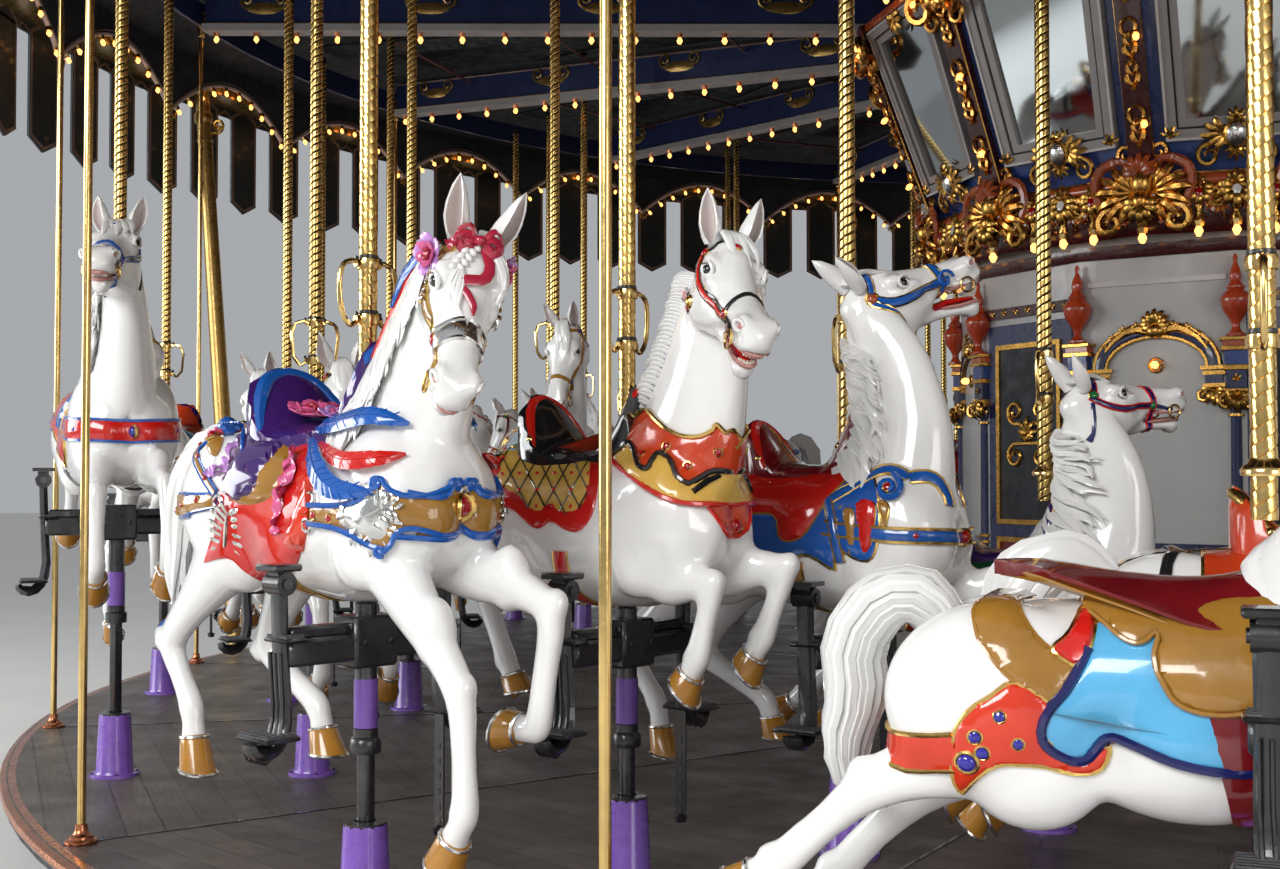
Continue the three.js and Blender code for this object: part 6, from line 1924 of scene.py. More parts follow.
def h1_head(h, W):
    v = View(W, h, h.M)
    P, tree = h.P, h.tree
    H = h.H
    long_mane(h, 34, length=0.46, w=0.0185, layers=3, wave=0.014, rings=12)
    tail(h, [(-0.79, 0, 1.42), (-0.92, 0, 1.50), (-1.04, 0, 1.40), (-1.11, 0, 1.20), (-1.13, 0, 1.0), (-1.14, 0, 0.84)], 16, 0.075, 0.036, 0.02)
    for i, (y0, y1, L) in enumerate(((0.03, 0.085, 0.15), (0.04, 0.10, 0.17), (0.045, 0.108, 0.13), (0.02, 0.070, 0.12))):
        h.P.add(lock(H((-0.02, y0 * 0.6, 0.092), (0.04, y0, 0.112), (0.04 + L * 0.5, y1 * 0.9, 0.085), (0.04 + L, y1, 0.035)), 0.017, 0.009, 10, 6, wave=0.006, seed=i), "white_hair")
    for i in range(6):
        c = H((0.045 + 0.020 * i, -0.004 - 0.010 * i, 0.118 - 0.004 * i))
        for s in (-1, 1):
            q = H((0.045 + 0.020 * i + 0.004, -0.004 - 0.010 * i + s * 0.011, 0.116 - 0.004 * i))
            P.add(ball(q, (0.016, 0.011, 0.010), 8, 6, np.array(h.M[:3, :3]) @ np.array([[math.cos(0.7 * s), -math.sin(0.7 * s), 0], [math.sin(0.7 * s), math.cos(0.7 * s), 0], [0, 0, 1]])), "white_hair")
    for i in range(4):
        h.P.add(lock(H((0.15, -0.050 + 0.004 * i, 0.098), (0.18, -0.062 + 0.010 * i, 0.090), (0.20 + 0.02 * i, -0.068 + 0.012 * i, 0.070), (0.245 + 0.015 * i, -0.055 + 0.014 * i, 0.062)), 0.009, 0.005, 9, 5, wave=0.006, seed=i + 7), "white_hair")
    # wide silver noseband and ochre cheek straps
    loop = [(0.335, 0, 0.065), (0.345, -0.055, 0.03), (0.35, -0.075, -0.03), (0.345, -0.055, -0.09), (0.335, 0, -0.12), (0.345, 0.055, -0.09), (0.35, 0.075, -0.03), (0.345, 0.055, 0.03), (0.335, 0, 0.065)]
    strap(P, tree, H(*loop), 0.062, 0.011, "silver_leaf", "silver_leaf", 0.007, step=0.016)
    for q in range(10):
        a = rad(20 + q * 16)
        acanthus(P, tree, H((0.345, 0.075 * math.cos(a), 0.01 + 0.055 * math.sin(a))), h.M[:3, 1], 0.035, leaves=3, seed=q)
    for y in (-1, 1):
        strap(P, tree, H((0.335, y * 0.078, -0.03), (0.27, y * 0.090, -0.045), (0.20, y * 0.112, -0.05), (0.13, y * 0.115, -0.04), (0.06, y * 0.10, -0.01), (0.015, y * 0.085, 0.03)), 0.038, 0.010, "ochre", "gold_leaf", 0.005)
        strap(P, tree, H((0.36, y * 0.075, -0.03), (0.42, y * 0.07, -0.05), (0.455, y * 0.062, -0.055)), 0.022, 0.008, "ochre", "gold_leaf", 0.003)
        gem(P, tree, H((0.335, y * 0.08, -0.035)), 0.022, "ruby", "gold_leaf")
        gem(P, tree, H((0.21, y * 0.11, -0.05)), 0.012, "ruby", "gold_leaf")
        acanthus(P, tree, H((0.105, y * 0.108, -0.055)), h.M[:3, 0], 0.115, leaves=6, seed=4)
        a = np.linspace(0, 2 * math.pi, 15)[:-1]
        bead(P, H(*[(0.462 + 0.032 * math.cos(q), y * 0.070, -0.064 + 0.032 * math.sin(q)) for q in a]), 0.005, "gold_leaf", True, 6)
        strap(P, tree, H((0.03, y * 0.088, 0.02), (0.05, y * 0.065, 0.082), (0.055, 0.0, 0.10)), 0.026, 0.008, "ochre", "gold_leaf", 0.003)
    # crimson bow on the forelock with a trailing ribbon
    for s in (-1, 1):
        for k, (dx, dz) in enumerate(((0.0, 0.012), (0.03, 0.0))):
            p0 = H((0.055 + dx * 0.3, 0, 0.125))
            pts = H((0.055, s * 0.01, 0.128), (0.025 + dx * 0.8, s * 0.038, 0.140 + dz), (0.035 + dx * 0.8, s * 0.068, 0.124), (0.062 + dx * 0.8, s * 0.046, 0.110), (0.06, s * 0.012, 0.124))
            q = spline(pts, 16)
            P.add(sweep(q, [0.004] + [0.006] * 14 + [0.004], [0.007] + [0.015] * 14 + [0.007], 6, up=tuple(h.M[:3, 0])), "crimson")
    P.add(ball(H((0.058, 0, 0.132)), (0.018, 0.020, 0.016), 9, 7), "crimson")
    rib = near_path(tree, H((0.07, 0.02, 0.12), (0.12, 0.050, 0.11), (0.17, 0.035, 0.10), (0.185, -0.020, 0.09), (0.20, -0.045, 0.085), (0.225, -0.015, 0.085), (0.26, 0.010, 0.08), (0.295, 0.015, 0.075)), 0.012)
    P.add(sweep(spline(rib, 34), np.interp(np.linspace(0, 1, 34), [0, 0.1, 0.45, 0.55, 0.9, 1], [0.012, 0.017, 0.017, 0.014, 0.010, 0.003]), 0.0035, 6, up=tuple(h.M[:3, 2])), "crimson")
    ribbon(P, H((0.06, -0.005, 0.130), (0.07, -0.06, 0.13), (0.09, -0.095, 0.11)), 0.016, "crimson", folds=3)
    # orchid and wing feathers behind the right ear, long red plume down the crest
    for y in (-1, 1):
        c = H((0.032, y * 0.098, -0.004))
        nz = unit(h.M[:3, 1] * y + h.M[:3, 2] * 0.25 + h.M[:3, 0] * 0.45)
        petal_flower(P, c + nz * 0.012, nz, 0.066, "lilac", "pink", "crimson", 5)
        petal_flower(P, H((-0.030, y * 0.112, -0.045)) + nz * 0.01, nz, 0.038, "pink", "lilac", "crimson", 5)
    for i, (a0, b0) in enumerate(((0.97, 62), (0.95, 74), (0.98, 86), (0.93, 98), (0.90, 110))):
        pts = [h.neckpt(a0, 120 + i * 3, 1.12), h.neckpt(a0 - 0.06, 100 + i * 4, 1.32), h.neckpt(a0 - 0.16 - 0.02 * i, 88 + i * 6, 1.42), h.neckpt(a0 - 0.26 - 0.03 * i, 84 + i * 8, 1.30)]
        feather(P, np.array(pts), 0.026, "royal_blue", rib="royal_blue", n=14, up=(0, -1, 0.2))
    for i in range(4):
        pts = [h.neckpt(0.90, 108 + i * 6, 1.15), h.neckpt(0.72, 92 + i * 7, 1.26), h.neckpt(0.50, 88 + i * 8, 1.24), h.neckpt(0.30 - 0.04 * i, 90 + i * 9, 1.16)]
        feather(P, np.array(pts), 0.024, "scarlet" if i % 2 else "crimson", rib="scarlet", n=18, up=(0, -1, 0.2))

# ---------------------------------------------------------------- the ride itself
paint("pale_grey", (0.55, 0.52, 0.50), 0.3, 0, 0.3, 0.06, 5, 0.05, dirt=0.6, crease_shade_colour=(0.2, 0.18, 0.17))
paint("board_edge", (0.62, 0.47, 0.42), 0.32, 0, 0.3, 0.08, 6, 0.05)
paint("charcoal", (0.020, 0.022, 0.028), 0.6, 0, 0.0, 0.3, 4, 0.2, 50)
paint("red_brown", (0.16, 0.035, 0.020), 0.4, 0, 0.2, 0.2, 6, 0.1)
paint("sweep_navy", (0.012, 0.022, 0.085), 0.38, 0, 0.2, 0.12, 5, 0.06)
paint("flange_grey", (0.30, 0.29, 0.29), 0.4, 0, 0.1, 0.06, 5, 0.05, dirt=0.5, crease_shade_colour=(0.12, 0.11, 0.10))
paint("ceiling_grey", (0.030, 0.031, 0.036), 0.6, 0, 0.0, 0.2, 4, 0.1, 40)
paint("ceiling_dark", (0.008, 0.009, 0.011), 0.7, 0, 0.0, 0.2, 4, 0.1, 40)
# pinkish grey of the casing frames: a pale grey frame's colour in shade, painted shade
paint("frame_grey_in_shade", (0.30, 0.275, 0.265), 0.38, 0, 0.2, 0.06, 5, 0.05, dirt=0.7, crease_shade_colour=(0.10, 0.085, 0.08))
paint("lamp_gold", (0.75, 0.36, 0.08), 0.24, 1.0, 0.1, 0.22, 14, 0.15, 90, dirt=0.85, crease_shade_colour=(0.10, 0.02, 0.006))
paint("carved_orange", (0.36, 0.065, 0.014), 0.28, 0, 0.5, 0.2, 9, 0.12, 60, dirt=0.8, crease_shade_colour=(0.05, 0.008, 0.003))
paint("urn_red", (0.42, 0.045, 0.012), 0.22, 0, 0.6, 0.1, 8, 0.05)
paint("slat_navy", (0.008, 0.017, 0.020), 0.45, 0, 0.1, 0.2, 7, 0.1)
paint("copper_frame", (0.22, 0.145, 0.115), 0.45, 0.1, 0.1, 0.15, 9, 0.1)
paint("bronze", (0.42, 0.27, 0.085), 0.3, 0.85, 0.1, 0.12, 6, 0.05)
paint("blue_field", (0.022, 0.055, 0.22), 0.3, 0, 0.4, 0.1, 5, 0.05)
paint("rib_red", (0.050, 0.006, 0.006), 0.25, 0, 0.5, 0.15, 8, 0.06)
paint("rail_red", (0.42, 0.075, 0.018), 0.24, 0, 0.5, 0.15, 8, 0.08)
paint("old_gold", (0.60, 0.33, 0.075), 0.26, 1.0, 0.1, 0.22, 14, 0.15, 90, dirt=0.8, crease_shade_colour=(0.07, 0.02, 0.008))
paint("house_grey", (0.46, 0.46, 0.455), 0.4, 0, 0.2, 0.05, 3, 0.05, 30)
paint("house_navy", (0.016, 0.024, 0.085), 0.28, 0, 0.5, 0.12, 6, 0.05)
paint("orange_brown", (0.30, 0.10, 0.025), 0.3, 0, 0.4, 0.12, 6, 0.05)
paint("mirror", (0.42, 0.45, 0.46), 0.04, 1.0, 0.0, 0.02, 2, 0.0)
paint("roof_blue", (0.040, 0.075, 0.24), 0.38, 0.1, 0.3, 0.1, 3, 0.05, 30)
paint("roof_cream", (0.68, 0.62, 0.50), 0.38, 0.1, 0.3, 0.06, 3, 0.05, 30)
paint("pearl", (0.80, 0.77, 0.72), 0.15, 0, 0.8, 0.05)
glow("bulb_warm", (1.0, 0.42, 0.11), 3.2)


def pol(r, deg, z=0.0):
    return V3(r * math.cos(rad(deg)), r * math.sin(rad(deg)), z)


def basis(z, hint=(0.31, 0.17, 1)):
    z = unit(z)
    x = unit(np.cross(z, hint)) if abs(np.dot(z, unit(hint))) < 0.97 else unit(np.cross(z, (1, 0.1, 0)))
    return x, np.cross(z, x), z


def bulb(P, c, d=(0, 0, -1), r=0.019, socket="brass", mat="bulb_warm", seg=6):
    c = np.asarray(c, float)
    x, y, z = basis(d)
    P.add(sweep([c - z * 0.004, c + z * 0.022, c + z * 0.030], [r * 1.25, r * 1.1, r * 0.7], None, seg), socket)
    P.add(ball(c + z * (0.030 + r * 0.9), (r, r, r * 1.3), seg, 5, np.stack([x, y, z], 1)), mat)


def prism(P, pts_lo, pts_hi, mat, flat=True):
    n = len(pts_lo)
    V = np.vstack([pts_lo, pts_hi])
    F = [tuple(range(n - 1, -1, -1)), tuple(range(n, 2 * n))] + [(i, (i + 1) % n, n + (i + 1) % n, n + i) for i in range(n)]
    c = V.mean(0)
    q = F[2]
    if np.cross(V[q[1]] - V[q[0]], V[q[2]] - V[q[0]]) @ (V[q[0]] + V[q[1]] + V[q[2]] + V[q[3]] - 4 * c) < 0:
        F = [f[::-1] for f in F]
    P.add((V, F), mat, flat=flat)


def slab(P, centre, ex, ey, ez, mat, bevel=0.004):
    """A box with cut edges on three axis vectors that hold its half sizes."""
    h = [np.linalg.norm(e) for e in (ex, ey, ez)]
    V, F = box([-h[0], -h[1], -h[2]], [h[0], h[1], h[2]], bevel)
    R = np.stack([unit(ex), unit(ey), unit(ez)], 1)
    if np.linalg.det(R) < 0:
        F = [f[::-1] for f in F]
    P.add((V @ R.T + np.asarray(centre, float), F), mat)


def scroll_arm(P, c, x, y, z, size, mat, turns=1.25, hand=1, thick=0.16, n=16):
    """A carved scroll: a stem that runs along x and rolls up towards y."""
    pts = [c]
    for i in range(n):
        t = i / (n - 1)
        a = -math.pi / 2 + t * turns * 2 * math.pi
        q = size * 0.38 * (1 - 0.72 * t)
        pts.append(c + x * (size * 0.55 + q * math.cos(a)) + y * hand * (size * 0.38 + q * math.sin(a)) + z * size * 0.05 * t)
    w = size * thick * np.linspace(0.45, 1.0, len(pts)) ** 0.5 * np.linspace(1.0, 0.45, len(pts))
    P.add(sweep(spline(pts, n + 6), np.interp(np.linspace(0, 1, n + 6), np.linspace(0, 1, len(w)), w), None, 6, up=tuple(z)), mat)


def leaf_cluster(P, c, x, y, z, size, mat, n=5, spread=70, lift=0.12):
    for i in range(n):
        a = rad(-spread + 2 * spread * i / (n - 1))
        d = x * math.cos(a) + y * math.sin(a)
        L = size * (0.72 + 0.28 * math.cos(a))
        P.add(lock([c, c + d * L * 0.5 + z * size * lift * 1.6, c + d * L * 0.85 + z * size * lift, c + d * L - z * size * lift * 0.2], size * 0.15, size * 0.06, 7, 5, up=tuple(z)), mat)
    P.add(ball(c + z * size * 0.05, size * 0.13, 7, 5), mat)


def shell(P, c, x, y, z, size, mat, back, n=7):
    """A fan shell: ribs spread from a boss over a curved back."""
    for i in range(n):
        a = rad(-78 + 156 * i / (n - 1))
        d = x * math.cos(a) + y * math.sin(a)
        P.add(sweep(spline([c, c + d * size * 0.55 + z * size * 0.22, c + d * size + z * size * 0.12, c + d * size * 1.08 - z * size * 0.02], 7), np.array([0.3, 0.6, 0.8, 0.95, 1.0, 0.9, 0.5]) * size * 0.135, None, 6, up=tuple(z)), mat)
    P.add(ball(c + x * size * 0.42, (size * 0.62, size * 0.80, size * 0.14), 10, 6, np.stack([x, y, z], 1)), back)
    P.add(ball(c + z * size * 0.12, size * 0.20, 8, 6), mat)


def under(r):
    return FLOOR + 4.465 + (r - 2) * 0.055


def bored_sector(k, z, ro=7.385, ri=0.42, bore=0.056, m=12):
    """One section of the deck as a flat sheet round the horses' rods, with the rods' places."""
    a0 = FIRST + RIM_TURN + PITCH * k
    ring = [pol(ro, a0 + PITCH * i / m) for i in range(m + 1)] + [pol(ri, a0 + PITCH * (m - i) / m) for i in range(m + 1)]
    pts = [Vector((p[0], p[1])) for p in ring]
    edges = [(i, (i + 1) % len(pts)) for i in range(len(pts))]
    rods = []
    for q in (k, k + 1):
        for row in range(2 if q % 2 else 4):
            ang = FIRST + PITCH * q + ROW_TURN[row]
            if 0 < ang - a0 < PITCH:
                rods.append(pol(ROW_R[row], ang))
    for c in rods:
        s = len(pts)
        pts += [Vector((c[0] + bore * math.cos(2 * math.pi * i / 14), c[1] + bore * math.sin(2 * math.pi * i / 14))) for i in range(14)]
        edges += [(s + i, s + (i + 1) % 14) for i in range(14)]
    res = delaunay_2d_cdt(pts, edges, [], 1, 1e-5)
    v = np.array([tuple(p) for p in res[0]])
    F = []
    for f in res[2]:
        f = tuple(f)
        c = v[list(f)].mean(0)
        if all(np.hypot(*(c - r[:2])) > bore * 0.8 for r in rods):
            p, q, r = (v[i] for i in f[:3])
            F.append(f if (q[0] - p[0]) * (r[1] - p[1]) - (q[1] - p[1]) * (r[0] - p[0]) > 0 else f[::-1])
    return np.column_stack([v, np.full(len(v), z)]), F, rods


def platform():
    P = Piece()
    P.add(lathe([(7.36, 0.2715), (7.38, 0.2715), (7.40, 0.285), (7.40, 0.330), (7.385, 0.360), (7.36, 0.355)], 128, close=True), "charcoal")
    P.add(lathe([(0.415, 0.2715), (0.425, 0.2715), (0.425, 0.360), (0.415, 0.360)], 32, close=True), "charcoal")
    prof = [(7.372, 0.3605), (7.345, 0.3602), (7.345, 0.356), (7.39, 0.338), (7.405, 0.318), (7.416, 0.322), (7.419, 0.336), (7.413, 0.350), (7.398, 0.3585)]
    P.add(lathe(prof[::-1], 128, close=True), "copper_foot")
    for k in range(SECTIONS):
        a0 = FIRST + RIM_TURN + PITCH * k
        mid = a0 + PITCH / 2
        er, et = pol(1, mid), pol(1, mid + 90)
        V, F, rods = bored_sector(k, 0.360)
        UV = [[(float(V[q] @ et) + 1.37 * k, float(V[q] @ er)) for q in f] for f in F]
        P.add((V, F), "deck_boards", uv=UV)
        V, F, rods = bored_sector(k, 0.272)
        P.add((V, [f[::-1] for f in F]), "charcoal")
        for c in rods:
            P.add(lathe([(0.056, 0.272), (0.0575, 0.272), (0.0575, 0.360), (0.056, 0.360)], 14, (c[0], c[1]), close=True), "charcoal")
        c0, c1 = pol(1.2, a0, 0.361), pol(7.34, a0, 0.361)
        slab(P, (c0 + c1) / 2, (c1 - c0) / 2, pol(0.009, a0 + 90), V3(0, 0, 0.0022), "black_iron", 0.001)
    put(P, "deck_of_boards", "turntable", replaces=("platform",), sharp=35)
    S = Piece()
    for k in range(SECTIONS):
        for row in range(2 if k % 2 else 4):
            c = pol(ROW_R[row], FIRST + PITCH * k + ROW_TURN[row])
            prof = [(0.056, 0.3604), (0.1145, 0.3604), (0.113, 0.373), (0.090, 0.3745), (0.0845, 0.388), (0.0725, 0.636), (0.0700, 0.646), (0.056, 0.6465)]
            S.add(lathe(prof, 14, (c[0], c[1]), close=True), "violet")
            S.add(lathe([(0.036, 0.640), (0.070, 0.640), (0.0705, 0.6525), (0.036, 0.656)], 12, (c[0], c[1]), close=True), "black_iron")
            for q in range(4):
                b = c + pol(0.100, 45 + 90 * q + k * 22.5)
                S.add(lathe([(0.0075, 0.3725), (0.0075, 0.378), (0.0, 0.380)], 5, (b[0], b[1])), "steel_rod")
    put(S, "violet_pole_sleeves", "turntable", replaces=("floor_cover_with_sleeves",), sharp=50)


def rim_poles():
    P = Piece()
    hz = under(RIM_R) + 0.040
    for k in range(SECTIONS):
        c = pol(RIM_R, FIRST + RIM_TURN + PITCH * k)
        V, F = lathe([(0.0165, 0.41), (0.0165, 1.4), (0.0165, 2.4), (0.0165, 3.6), (0.0165, hz)], 16, (c[0], c[1]))
        P.add((V, F), "brass")
        P.add(lathe([(0.0166, 0.3605), (0.060, 0.3605), (0.062, 0.364), (0.061, 0.372), (0.050, 0.377), (0.046, 0.380), (0.045, 0.388), (0.036, 0.392), (0.028, 0.400), (0.024, 0.412), (0.0225, 0.432), (0.0166, 0.434)], 18, (c[0], c[1]), close=True), "copper_foot")
        P.add(lathe([(0.0166, hz - 0.075), (0.026, hz - 0.072), (0.029, hz - 0.060), (0.024, hz - 0.045), (0.030, hz - 0.02), (0.034, hz - 0.002), (0.0166, hz)], 12, (c[0], c[1]), close=True), "brass")
    R = RIM_R
    P.add(lathe([(R - 0.016, hz + 0.001), (R + 0.014, hz + 0.001), (R + 0.014, hz + 0.179), (R - 0.016, hz + 0.179)], 96, close=True), "sweep_navy")
    for z in (0.006, 0.172):
        P.add(lathe([(R + 0.013, hz + z - 0.006), (R + 0.0195, hz + z - 0.004), (R + 0.0195, hz + z + 0.004), (R + 0.013, hz + z + 0.006)], 96, close=True), "old_gold")
    for k in range(64):
        d, t = pol(1, 5.625 * k + 2), pol(1, 5.625 * k + 92)
        P.add(ball(d * (R + 0.0145) + V3(0, 0, hz + 0.09), (0.005, 0.09, 0.032), 10, 5, np.stack([d, t, V3(0, 0, 1)], 1)), "old_gold")
    put(P.thinned(13000), "rim_poles_with_band", "turntable", replaces=("rim_poles_and_hoop",))


def sweeps():
    P, B = Piece(), Piece()
    R1 = 7.232
    u = V3(0, 0, 1)
    for k in range(SECTIONS):
        a = FIRST + RIM_TURN + PITCH * k
        d, t = pol(1, a), pol(1, a + 90)
        for r0, r1, w, lo, hi, mat in ((0.42, R1, 0.030, 0.060, 0.300, "sweep_navy"), (2.085, R1 + 0.004, 0.075, 0.0, 0.050, "flange_grey")):
            q = []
            for r in (r0, r1):
                z = under(r)
                q.append([d * r + t * s * w + u * (z + h) for s, h in ((-1, lo), (1, lo), (1, hi), (-1, hi))])
            prism(P, q[0], q[1], mat)
        for s in (-1, 1):
            for r0, off, h, rad_, mat in ((2.09, 0.074, 0.050, 0.0055, "old_gold"), (2.09, 0.033, 0.062, 0.007, "copper_frame"), (1.2, 0.032, 0.292, 0.009, "copper_frame")):
                P.add(sweep([d * r0 + t * s * off + u * (under(r0) + h), d * R1 + t * s * off + u * (under(R1) + h)], rad_, rad_, 4), mat)
            e = unit(d + u * 0.055)
            for r in (2.85, 4.15, 5.45, 6.75):
                c = d * r + t * s * 0.031 + u * (under(r) + 0.178)
                P.add(ball(c, (0.15, 0.008, 0.045), 12, 6, np.stack([e, t, np.cross(e, t)], 1)), "bronze")
                for q in (-1, 1):
                    scroll_arm(P, c + t * s * 0.004 + e * q * 0.05, e * q, u, t * s, 0.16, "bronze", hand=1, thick=0.11, n=10)
        end = d * (R1 + 0.006) + u * (under(R1) + 0.16)
        leaf_cluster(P, end - d * 0.006, -u, t, d * 0.2, 0.10, "old_gold", 5, 60, 0.04)
        for i in range(16):
            r = 2.32 + 0.322 * i
            bulb(B, d * r + u * (under(r) - 0.001), (0, 0, -1), 0.021, socket="copper_foot")
        # dark ceiling panels: a deep board along each side of the sweep and the flat over the poles
        for f0, f1, h, mat in ((0.006, 0.060, 0.315, "ceiling_grey"), (0.940, 0.994, 0.315, "ceiling_grey"), (0.30, 0.44, 0.335, "ceiling_dark")):
            q = []
            for r in (2.5, R1 - 0.02):
                x0, x1 = pol(r, a + PITCH * f0, under(r) + h), pol(r, a + PITCH * f1, under(r) + h)
                q.append([x0, x1, x1 + u * 0.016, x0 + u * 0.016])
            prism(P, q[0], q[1], mat)
        a2 = pol(1, a + PITCH)
        rr = [0.66, 2.8, 5.0, 7.08]
        for i in range(3):
            lo = [d * rr[i], d * rr[i + 1], a2 * rr[i + 1], a2 * rr[i]]
            prism(P, [v + u * 5.604 for v in lo], [v + u * 5.618 for v in lo], "ceiling_dark")
        for f in (0.25, 0.5, 0.75):
            dm = pol(1, a + PITCH * f)
            k0 = math.cos(rad(PITCH / 2)) / math.cos(rad(PITCH * (f - 0.5)))
            P.add(sweep([dm * 1.1 * k0 + u * 5.594, dm * 7.0 * k0 + u * 5.594], 0.022, 0.010, 4, turn=math.pi / 4, up=(0, 0, 1)), "ceiling_grey")
        for r in (3.55, 4.95, 6.35):
            c0, c1 = d * r, a2 * r
            n_ = unit(c1 - c0)
            P.add(sweep([c0 + n_ * 0.03 + u * (under(r) + 0.24), c1 - n_ * 0.03 + u * (under(r) + 0.24)], 0.010, 0.012, 5, up=(0, 0, 1)), "red_brown")
    P.add(lathe([(0.42, under(2) - 0.116), (0.50, under(2) - 0.116), (0.518, under(2) - 0.09), (0.518, under(2) + 0.32), (0.50, under(2) + 0.355), (0.42, under(2) + 0.355)], 32, close=True), "sweep_navy")
    put(P.thinned(36000), "sweeps_with_ceiling", "turntable", replaces=("sweeps_and_hub",), sharp=30)
    put(B.thinned(10500), "sweep_lamps", "turntable")


def side_frame(j):
    mid = 11.25 * (j + 1)
    return pol(1, mid), pol(1, mid + 90), V3(0, 0, 1)


def lamp_board():
    P, B = Piece(), Piece()
    half = math.tan(rad(5.625))
    DIP, PEAK, TOP = 4.78, 5.15, 5.209
    n = 16
    for j in range(SIDES):
        d, t, u = side_frame(j)
        us = np.linspace(-1, 1, n + 1)
        low = [DIP + (PEAK - DIP) * (max(math.cos(math.pi / 2 * q), 0) ** 0.9 if abs(q) < 0.999 else 0) for q in us]
        rows = []
        for ap in (8.042, 8.058):
            h = half * ap
            rows.append(([d * ap + t * q * h + u * z for q, z in zip(us, low)], [d * ap + t * q * h + u * TOP for q in us]))
        V = np.array(rows[0][0] + rows[0][1] + rows[1][0] + rows[1][1])
        m = n + 1
        F = []
        for i in range(n):
            F.append((i, m + i, m + i + 1, i + 1))
            F.append((2 * m + i, 2 * m + i + 1, 3 * m + i + 1, 3 * m + i))
            F.append((i, i + 1, 2 * m + i + 1, 2 * m + i))
            F.append((m + i, 3 * m + i, 3 * m + i + 1, m + i + 1))
        P.add((V, F), "charcoal", flat=True)
        h = half * 8.05
        edge = [d * 8.040 + t * q * h + u * (z + 0.012) for q, z in zip(us, low)]
        P.add(sweep(edge, 0.016, 0.022, 6, up=tuple(d)), "board_edge")
        edge2 = [d * 8.030 + t * q * h * 0.99 + u * (z + 0.045) for q, z in zip(us, low)]
        P.add(sweep(edge2, 0.006, 0.006, 4, up=tuple(d)), "copper_frame")
        # lamps hang along the arch
        L = np.cumsum([0] + [math.hypot((us[i + 1] - us[i]) * h, low[i + 1] - low[i]) for i in range(n)])
        for q in range(10):
            s = L[-1] * (q + 0.5) / 10
            x = np.interp(s, L, us)
            z = np.interp(s, L, low)
            sl = np.interp(x + 0.03, us, low) - np.interp(x - 0.03, us, low)
            nn = unit(t * (sl / (0.06 * h)) * 0.7 - u - d * 0.25)
            bulb(B, d * 8.034 + t * x * h + u * (z - 0.006), nn, 0.020)
        leaf_cluster(P, d * 8.030 + t * h * 0.995 + u * (DIP - 0.004), -u, t, -d, 0.07, "old_gold", 5, 75, 0.1)
    put(P.thinned(18000), "lamp_board_of_arches", "fixed_frame", replaces=("scalloped_lamp_board",), sharp=30)
    put(B.thinned(12500), "arch_lamps", "fixed_frame")


def valance():
    P = Piece()
    half = math.tan(rad(5.625))
    TIP, SHO, SLOT, TOP = 4.16, 4.25, 5.0, 5.209
    for j in range(SIDES):
        d, t, u = side_frame(j)
        h = half * 8.320
        pts = [(-1, TOP), (1, TOP), (1, SLOT), (-1, SLOT)]
        prism(P, [d * 8.321 + t * x * half * 8.321 + u * z for x, z in pts], [d * 8.339 + t * x * half * 8.339 + u * z for x, z in pts], "slat_navy")
        for k in range(3):
            c = -1 + (2 * k + 1) / 3
            w = 0.655 / 3
            out = [(c - w, SLOT + 0.02), (c - w, SHO), (c, TIP), (c + w, SHO), (c + w, SLOT + 0.02)]
            prism(P, [d * 8.321 + t * x * h + u * z for x, z in out], [d * 8.339 + t * x * half * 8.339 + u * z for x, z in out], "slat_navy")
            f = 0.018
            inn = [(c - w + f / h, SLOT + 0.03), (c - w + f / h, SHO + 0.012), (c, TIP + 0.028), (c + w - f / h, SHO + 0.012), (c + w - f / h, SLOT + 0.03), (c, SLOT + 0.115)]
            for rr in (8.319, 8.341):
                loop = [d * rr + t * x * half * rr + u * z for x, z in inn]
                loop.append(loop[0])
                for i in range(6):
                    e0, e1 = loop[i], loop[i + 1]
                    e = unit(e1 - e0) * 0.012
                    P.add(sweep([e0 - e, e1 + e], 0.0185, 0.005, 4, up=tuple(d), turn=math.pi / 4), "copper_frame")
        # pointed heads of the slots between the slats
        for k in range(4):
            c = -1 + 2 * k / 3
            w = (1 - 0.655) / 3
            q = [(c - w if k else c, SLOT if k else SLOT + 0.055), (c, SLOT + 0.055), (c + w if k < 3 else c, SLOT if k < 3 else SLOT + 0.055)]
            q = q[(0 if k else 1):(3 if k < 3 else 2)]
            for rr in (8.3195, 8.3405):
                loop = [d * rr + t * x * half * rr + u * z for x, z in q]
                P.add(sweep(loop, 0.012, 0.005, 4, up=tuple(d), turn=math.pi / 4), "copper_frame")
        P.add(sweep([d * 8.331 + t * -h + u * (TOP - 0.02), d * 8.331 + t * h + u * (TOP - 0.02)], 0.016, 0.020, 6, up=tuple(d)), "copper_frame")
    put(P.thinned(11000), "slat_valance_boards", "fixed_frame", replaces=("slat_valance",), sharp=30)


